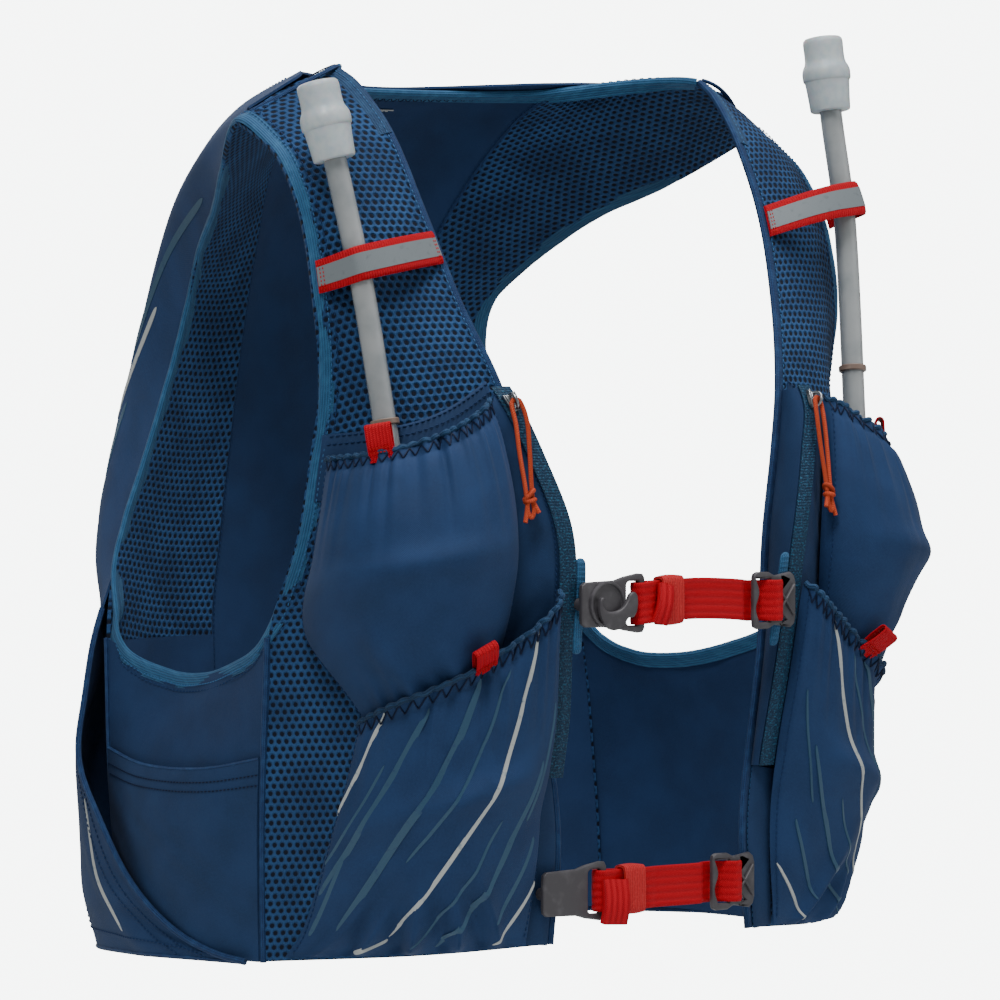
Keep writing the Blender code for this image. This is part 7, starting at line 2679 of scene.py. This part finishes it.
@dataclass
class FrontStrap:
    """One front strap: hook buckle, ribbed webbing with its sleeve, ladder buckle."""

    word: str
    level: float
    above: float
    arch: float
    shift: tuple[float, float] = (0.0, 0.0)
    open_hook: bool = True
    webbing_width: float = 0.0200
    webbing_thick: float = 0.0020
    sleeve_length: float = 0.0130
    sleeve_thick: float = 0.0012
    buckle_thick: float = 0.0030
    bar_width: float = 0.0040
    rim: float = 0.0032
    standoff: float = 0.0052
    window: float = 0.0078
    boss_radius: float = 0.0110
    hook_bar: float = -0.43
    ladder_start: float = 0.56
    frame: Frame = field(init=False)
    half: float = field(init=False)

    def __post_init__(self) -> None:
        """Sets the strap's frame from its two ends on the zips."""
        ends = []
        for side in Side:
            line, across, off = FORM.tape_line(side, np.array([self.level]))
            lift = self.above + self.standoff
            ends.append(line[0] + off[0] * lift + across[0] * ZIP_WIDTH / 2)
        way = unit(ends[1] - ends[0])
        ends = [end + way * move for end, move in zip(ends, self.shift)]
        along = ends[1] - ends[0]
        self.frame = Frame((ends[0] + ends[1]) / 2, along, (0.0, -1.0, 0.0))
        self.half = float(np.linalg.norm(along)) / 2

    def _bow(self, a: float) -> float:
        """How far up the webbing bows at a."""
        bar, ladder = self.hook_bar * self.half, self.ladder_start * self.half
        share = (min(max(a, bar - self.bar_width), ladder) / (0.75 * self.half)) ** 2
        return self.arch * max(0.0, 1 - share)

    def build(self) -> None:
        """Makes the webbing, the sleeve and the two buckles."""
        bar, first = self.hook_bar * self.half, self.ladder_start * self.half
        self._webbing(bar, first)
        self._sleeve(bar)
        self._ladder(first)
        self._hook(bar)

    def _webbing(self, bar: float, first: float) -> None:
        """The webbing's path: sewn tail, round the hook's bar, over to the ladder."""
        near = self.buckle_thick / 2 + self.webbing_thick / 2 + 0.0008
        reach = math.hypot(self.bar_width, self.buckle_thick) / 2 + self.webbing_thick / 2 + 0.0004
        pair = self.webbing_thick / 2 + 0.0002
        turn = [(bar - reach * math.cos(q), reach * math.sin(q)) for q in np.linspace(-1.5, 1.5, 8)]
        mid = first + self.window + 1.5 * self.bar_width
        path = [(bar + 0.0270, -pair), (bar + 0.0110, -pair), (bar + 0.0040, -reach * 0.9), *turn,
            (bar + 0.0040, reach * 0.9), (bar + 0.0110, pair), (bar + 0.0285, pair), (bar + 0.0350, 0.0),
            (first - 0.0080, 0.0), (first - 0.0030, -near), (first + self.bar_width + 0.0006, -near)]
        path += [(mid + reach * math.cos(q), reach * math.sin(q)) for q in np.linspace(1.9, -1.6, 8)]
        line = curve_through(np.array([(a, b, 0.0) for a, b in path]), 320)[:, :2]
        webbing = MAKE.ribbon(f"{self.word}_strap", line, self.webbing_thick, self.webbing_width,
            self.frame, WEBBING, self._bow)
        dress(webbing, f"{self.word}_webbing")
        self._tail(bar, pair)

    def _tail(self, bar: float, pair: float) -> None:
        """The strap's free end, turned over and hanging in front of the sleeve."""
        out = pair + self.webbing_thick * 1.3
        rise = self._bow(bar)
        if self.open_hook:
            way, start = (-0.26, -1.0), (bar + 0.0125, self.webbing_width * 0.42)
            long, wide = self.webbing_width * 0.94, 0.0085
        else:
            way, start = (-0.06, -1.0), (bar + 0.0045, self.webbing_width * 0.26)
            long, wide = self.webbing_width * 1.05, 0.0155
        way_out = unit(np.array(way))
        line = []
        for share in np.linspace(0, 1, 60):
            a = start[0] + way_out[0] * long * share
            w = start[1] + way_out[1] * long * share + rise
            b = out + 0.0022 * math.sin(math.pi * share * 0.9) + 0.0005
            line.append(self.frame.at(a, b, w))
        line = np.array(line)
        side = self.frame.a - unit(line[-1] - line[0]) * float(
            np.dot(self.frame.a, unit(line[-1] - line[0])))
        side = unit(side)
        turn = np.linspace(0, 2 * np.pi, 32, endpoint=False)
        x = np.sign(np.cos(turn)) * np.abs(np.cos(turn)) ** 0.25 * wide / 2
        z = np.sign(np.sin(turn)) * np.abs(np.sin(turn)) ** 0.35 * self.webbing_thick * 0.95
        off = unit(np.cross(tangents(line), side[None]))
        loops = line[:, None] + side * x[None, :, None] + off[:, None] * z[None, :, None]
        tail = MAKE.rings(f"{self.word}_tail", loops, WEBBING)
        dress(tail)

    def _sleeve(self, bar: float) -> None:
        """The coral elastic sleeve that holds the doubled webbing."""
        room = self.webbing_thick + 0.0006 + self.sleeve_thick / 2
        tall = self.webbing_width / 2 + 0.0004 + self.sleeve_thick / 2
        turn = np.linspace(0, 2 * np.pi, 56, endpoint=False)
        loops = {1: [], -1: []}
        for a in np.linspace(bar + 0.0110, bar + 0.0110 + self.sleeve_length, 26):
            share = (a - bar - 0.0110) / self.sleeve_length
            swell = 1 + 0.05 * math.sin(math.pi * share)
            for sign in (1, -1):
                grow = sign * self.sleeve_thick / 2
                w = np.sign(np.sin(turn)) * np.abs(np.sin(turn)) ** 0.32 * (tall * swell + grow)
                b = np.sign(np.cos(turn)) * np.abs(np.cos(turn)) ** 0.5 * (room * 1.18 * swell + grow)
                loops[sign].append(self.frame.many(np.full(56, a), b + 0.0007, w + self._bow(float(a))))
        sleeve = MAKE.rings(f"{self.word}_keeper", [*loops[1], *loops[-1][::-1]], ELASTIC, closed=True)
        dress(sleeve, f"{self.word}_sleeve")

    def _ladder(self, first: float) -> None:
        """The ladder buckle: a wavy window and a crossed body with two small windows."""
        edge = self.webbing_width / 2 + 0.0008 + self.rim
        rise, bar = self._bow(first), self.bar_width
        last = first + 2 * (self.window + bar) + bar
        waist = first + bar + self.window
        top = [(first + 0.0028, edge), (waist - 0.0020, edge * 0.99), (waist + 0.0018, edge * 0.86),
            (waist + 0.0046, edge * 0.88), (last - 0.0034, edge * 0.97), (last - 0.0010, edge * 0.84),
            (last, edge * 0.60)]
        outline = [(first, edge * 0.80), (first + 0.0006, edge * 0.93), *top]
        outline += [(a, -w) for a, w in outline[::-1]]
        half = self.webbing_width / 2 + 0.0006
        across = np.linspace(half, -half, 26)
        near, far = first + bar * 0.66, first + bar + self.window * 0.86
        hole = [(near + 0.0011 * math.sin(w / half * 4.2), w) for w in across]
        hole += [(far + 0.0024 * math.cos(w / half * math.pi / 2), w) for w in np.linspace(-half, half, 26)]
        low = waist + bar
        corners = ((low + 0.0028, edge * 0.80), (low + 0.0064, edge * 0.70), (low + 0.0036, edge * 0.50))
        notches = [[(a, sign * w) for a, w in corners][::sign] for sign in (1, -1)]
        shift = [[(a, w + rise) for a, w in loop] for loop in (outline, hole, *notches)]
        plate = MAKE.plate(f"{self.word}_ladder_plate", shift, self.frame, self.buckle_thick, 0.0009,
            BUCKLE)
        pieces = [plate]
        for sign in (1, -1):
            start = self.frame.at(waist + 0.0010, self.buckle_thick * 0.45, sign * edge * 0.62 + rise)
            end = self.frame.at(last - 0.0016, self.buckle_thick * 0.45, -sign * edge * 0.52 + rise)
            middle = (start + end) / 2 + self.frame.b * 0.0006
            line = curve_through(np.array([start, middle, end]), 30)
            pieces.append(MAKE.tube(f"{self.word}_cross_{sign}", line, 0.0014, 12, BUCKLE, flat=0.55))
        pieces += self._feet(last - 0.0030, rise)
        buckle = MAKE.join(f"{self.word}_ladder_buckle", pieces)
        dress(buckle, f"{self.word}_ladder")

    def _feet(self, a: float, rise: float) -> list[Piece]:
        """The stud by which a buckle stands on the tape behind it."""
        profile = [(0.0030, -self.standoff + 0.0006), (0.0030, 0.0)]
        return [MAKE.turned(f"{self.word}_stud", self.frame, (a, rise), profile, BUCKLE, 20)]

    def _hook(self, bar: float) -> None:
        """The hook buckle: a slotted head, a round boss and the open hook before it."""
        edge = self.webbing_width / 2 + 0.0008 + self.rim
        slot = self.webbing_width / 2 + 0.0008
        rise, thick = self._bow(bar), self.buckle_thick
        slot_start = bar - self.bar_width / 2 - self.window
        boss = slot_start - 0.0035 - self.boss_radius * 0.82
        clip = boss - self.boss_radius - 0.0045
        head = bar + self.bar_width / 2
        outline = [(head, edge * 0.86), (head - 0.0012, edge), (head - 0.0040, edge * 1.02),
            (slot_start - 0.0010, edge * 0.92), (slot_start - 0.0070, edge * 0.80),
            (boss - 0.0050, edge * 0.78), (clip + 0.0024, edge * 0.76), (clip + 0.0004, edge * 0.66),
            (clip, edge * 0.45)]
        outline += [(a, -w) for a, w in outline[::-1]]
        hole = rounded((slot_start + 0.0002, -slot * 0.98), (bar - self.bar_width * 0.36, slot * 0.98),
            0.0022)
        shift = [[(a, w + rise) for a, w in loop] for loop in (outline, hole)]
        pieces = [MAKE.plate(f"{self.word}_hook_plate", shift, self.frame, thick, 0.0010, BUCKLE)]
        radius, half = self.boss_radius, thick / 2
        rim = [(radius * 1.00, half * 0.7), (radius * 1.02, half + 0.0004), (radius * 1.00, half + 0.0013),
            (radius * 0.94, half + 0.0016), (radius * 0.88, half + 0.0014), (radius * 0.85, half + 0.0008),
            (radius * 0.84, half + 0.0002), (radius * 0.80, half - 0.0001), (radius * 0.30, half + 0.0001),
            (radius * 0.12, half + 0.0002)]
        if self.open_hook:
            pieces.append(MAKE.turned(f"{self.word}_boss", self.frame, (boss, rise), rim, BUCKLE, 72))
            pieces.append(self._open_hook(boss, rise, half))
        pieces += self._feet(clip + 0.0030, rise)
        hook = MAKE.join(f"{self.word}_hook_buckle", pieces)
        dress(hook, f"{self.word}_hook")

    def _open_hook(self, boss: float, rise: float, half: float) -> Piece:
        """The hook in front of the boss: round below, open above, with a turned-up tip."""
        loop = curve_through(np.array([(a, w, 0.0) for a, w in (*HOOK_INSIDE, *HOOK_OUTSIDE)]), 110, True)
        outline = [(boss + 0.0016 + a, w + rise) for a, w, _ in loop]
        return MAKE.plate(f"{self.word}_open_hook", [outline], self.frame, 0.0030, 0.0011, BUCKLE,
            half + 0.0022)


@dataclass
class Studio:
    """The floor, the soft lights, the pale surround and the camera."""

    azimuth: float = -40.0
    elevation: float = 1.5
    distance: float = 3.0
    target: Point = (0.0, 0.0, -0.200)
    lens: float = 216.0
    shift: tuple[float, float] = (0.005, 0.008)
    floor: float = -0.62
    floor_radius: float = 1.6
    seen_level: float = 7.5
    lit_level: float = 0.36

    def camera(self) -> None:
        """Makes the camera at the photograph's viewing angle."""
        a, e = math.radians(self.azimuth), math.radians(self.elevation)
        back = np.array([math.sin(a) * math.cos(e), -math.cos(a) * math.cos(e), math.sin(e)])
        data = bpy.data.cameras.new("camera")
        data.lens, data.sensor_width = self.lens, 36.0
        data.shift_x, data.shift_y = self.shift
        data.clip_start, data.clip_end = 0.05, 20.0
        camera = bpy.data.objects.new("camera", data)
        camera.location = np.array(self.target) + back * self.distance
        turn = Matrix(self._axes(back)).transposed()
        camera.rotation_euler = turn.to_euler()
        bpy.context.scene.collection.objects.link(camera)
        bpy.context.scene.camera = camera

    @staticmethod
    def _axes(back: Array) -> list[list[float]]:
        """The right, up and backward ways of something that looks along -back."""
        right = unit(np.cross((0.0, 0.0, 1.0), back))
        up = np.cross(back, right)
        return [right.tolist(), up.tolist(), back.tolist()]

    def build(self) -> None:
        """Makes the floor, the surround and the lights."""
        self._floor()
        self._surround()
        lights = (("key", (-1.5, -1.2, 2.3), 0.8, 50.0), ("fill", (1.5, -2.2, 0.5), 1.6, 7.0),
            ("top", (0.3, -0.4, 2.4), 1.2, 52.0), ("rim", (0.6, 2.2, 0.9), 1.6, 12.0))
        for name, place, size, power in lights:
            self._light(name, place, size, power)

    def _floor(self) -> None:
        """A round pale floor with a soft edge."""
        turn = np.linspace(0, 2 * np.pi, 128, endpoint=False)
        loops = []
        for radius, high in ((self.floor_radius, -0.004), (self.floor_radius - 0.004, 0.0)):
            ring = [radius * np.cos(turn), radius * np.sin(turn), np.full(128, self.floor + high)]
            loops.append(np.stack(ring, axis=1))
        floor = MAKE.rings("floor", np.array(loops), BOARD)

    def _surround(self) -> None:
        """The pale surround: bright where it is seen, calmer as a light."""
        world = bpy.data.worlds.new("surround")
        world.use_nodes = True
        back = world.node_tree.nodes["Background"]
        back.inputs["Color"].default_value = (0.93, 0.965, 0.955, 1.0)
        seen = world.node_tree.nodes.new("ShaderNodeLightPath")
        level = world.node_tree.nodes.new("ShaderNodeMath")
        level.operation = "MULTIPLY_ADD"
        level.inputs[1].default_value = self.seen_level - self.lit_level
        level.inputs[2].default_value = self.lit_level
        world.node_tree.links.new(seen.outputs["Is Camera Ray"], level.inputs[0])
        world.node_tree.links.new(level.outputs[0], back.inputs["Strength"])
        bpy.context.scene.world = world

    def _light(self, name: str, place: Point, size: float, power: float) -> None:
        """A soft square light that faces the vest."""
        data = bpy.data.lights.new(name, "AREA")
        data.energy, data.size = power, size
        light = bpy.data.objects.new(name, data)
        light.location = place
        back = unit(np.array(place) - np.array(self.target))
        light.rotation_euler = Matrix(self._axes(back)).transposed().to_euler()
        bpy.context.scene.collection.objects.link(light)


def main() -> None:
    """Builds the studio and every sub-assembly in order."""
    logging.basicConfig(level=logging.INFO, format="%(name)s: %(message)s")
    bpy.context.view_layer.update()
    studio = Studio()
    studio.camera()
    zips = [ZipSide(side) for side in Side]
    for one in zips:
        one.build_cord()
    BackPart(Side.RIGHT).build()
    BackShell(Side.RIGHT).build()
    for side, zip_side in zip(Side, zips):
        FrontPanel(side).build()
        SidePart(side).build()
        ArmholeBand(side).build()
        zip_side.build()
        flask_pocket = Pocket(side)
        flask_pocket.build()
        lower_pocket = Pocket(side, word="lower", node="lower_pocket", rows=LOWER_POCKET_ROWS,
            streaks=LOWER_STREAKS, folds=11.0, fold_depth=0.0019, seed=21, hem=0.05)
        lower_pocket.build()
        Flask(side).build()
        Straw(side).build()
        Tab(side, flask_pocket, "flask_tab", 0.66, 0.0).build()
        Tab(side, lower_pocket, "lower_tab", 0.52, 1.0).build()
    FrontStrap("chest", CHEST_LEVEL, TAPE_RISE + ZIP_THICK, 0.0040).build()
    FrontStrap("waist", WAIST_LEVEL, LAYER_GAP + STRIP_THICK, 0.0, WAIST_SHIFT, open_hook=False).build()
    studio.build()
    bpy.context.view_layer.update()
    count = sum(len(o.data.polygons) for o in bpy.data.objects if o.type == "MESH")
    LOG.info("whole scene: %d faces", count)


if __name__ == "__main__":
    main()
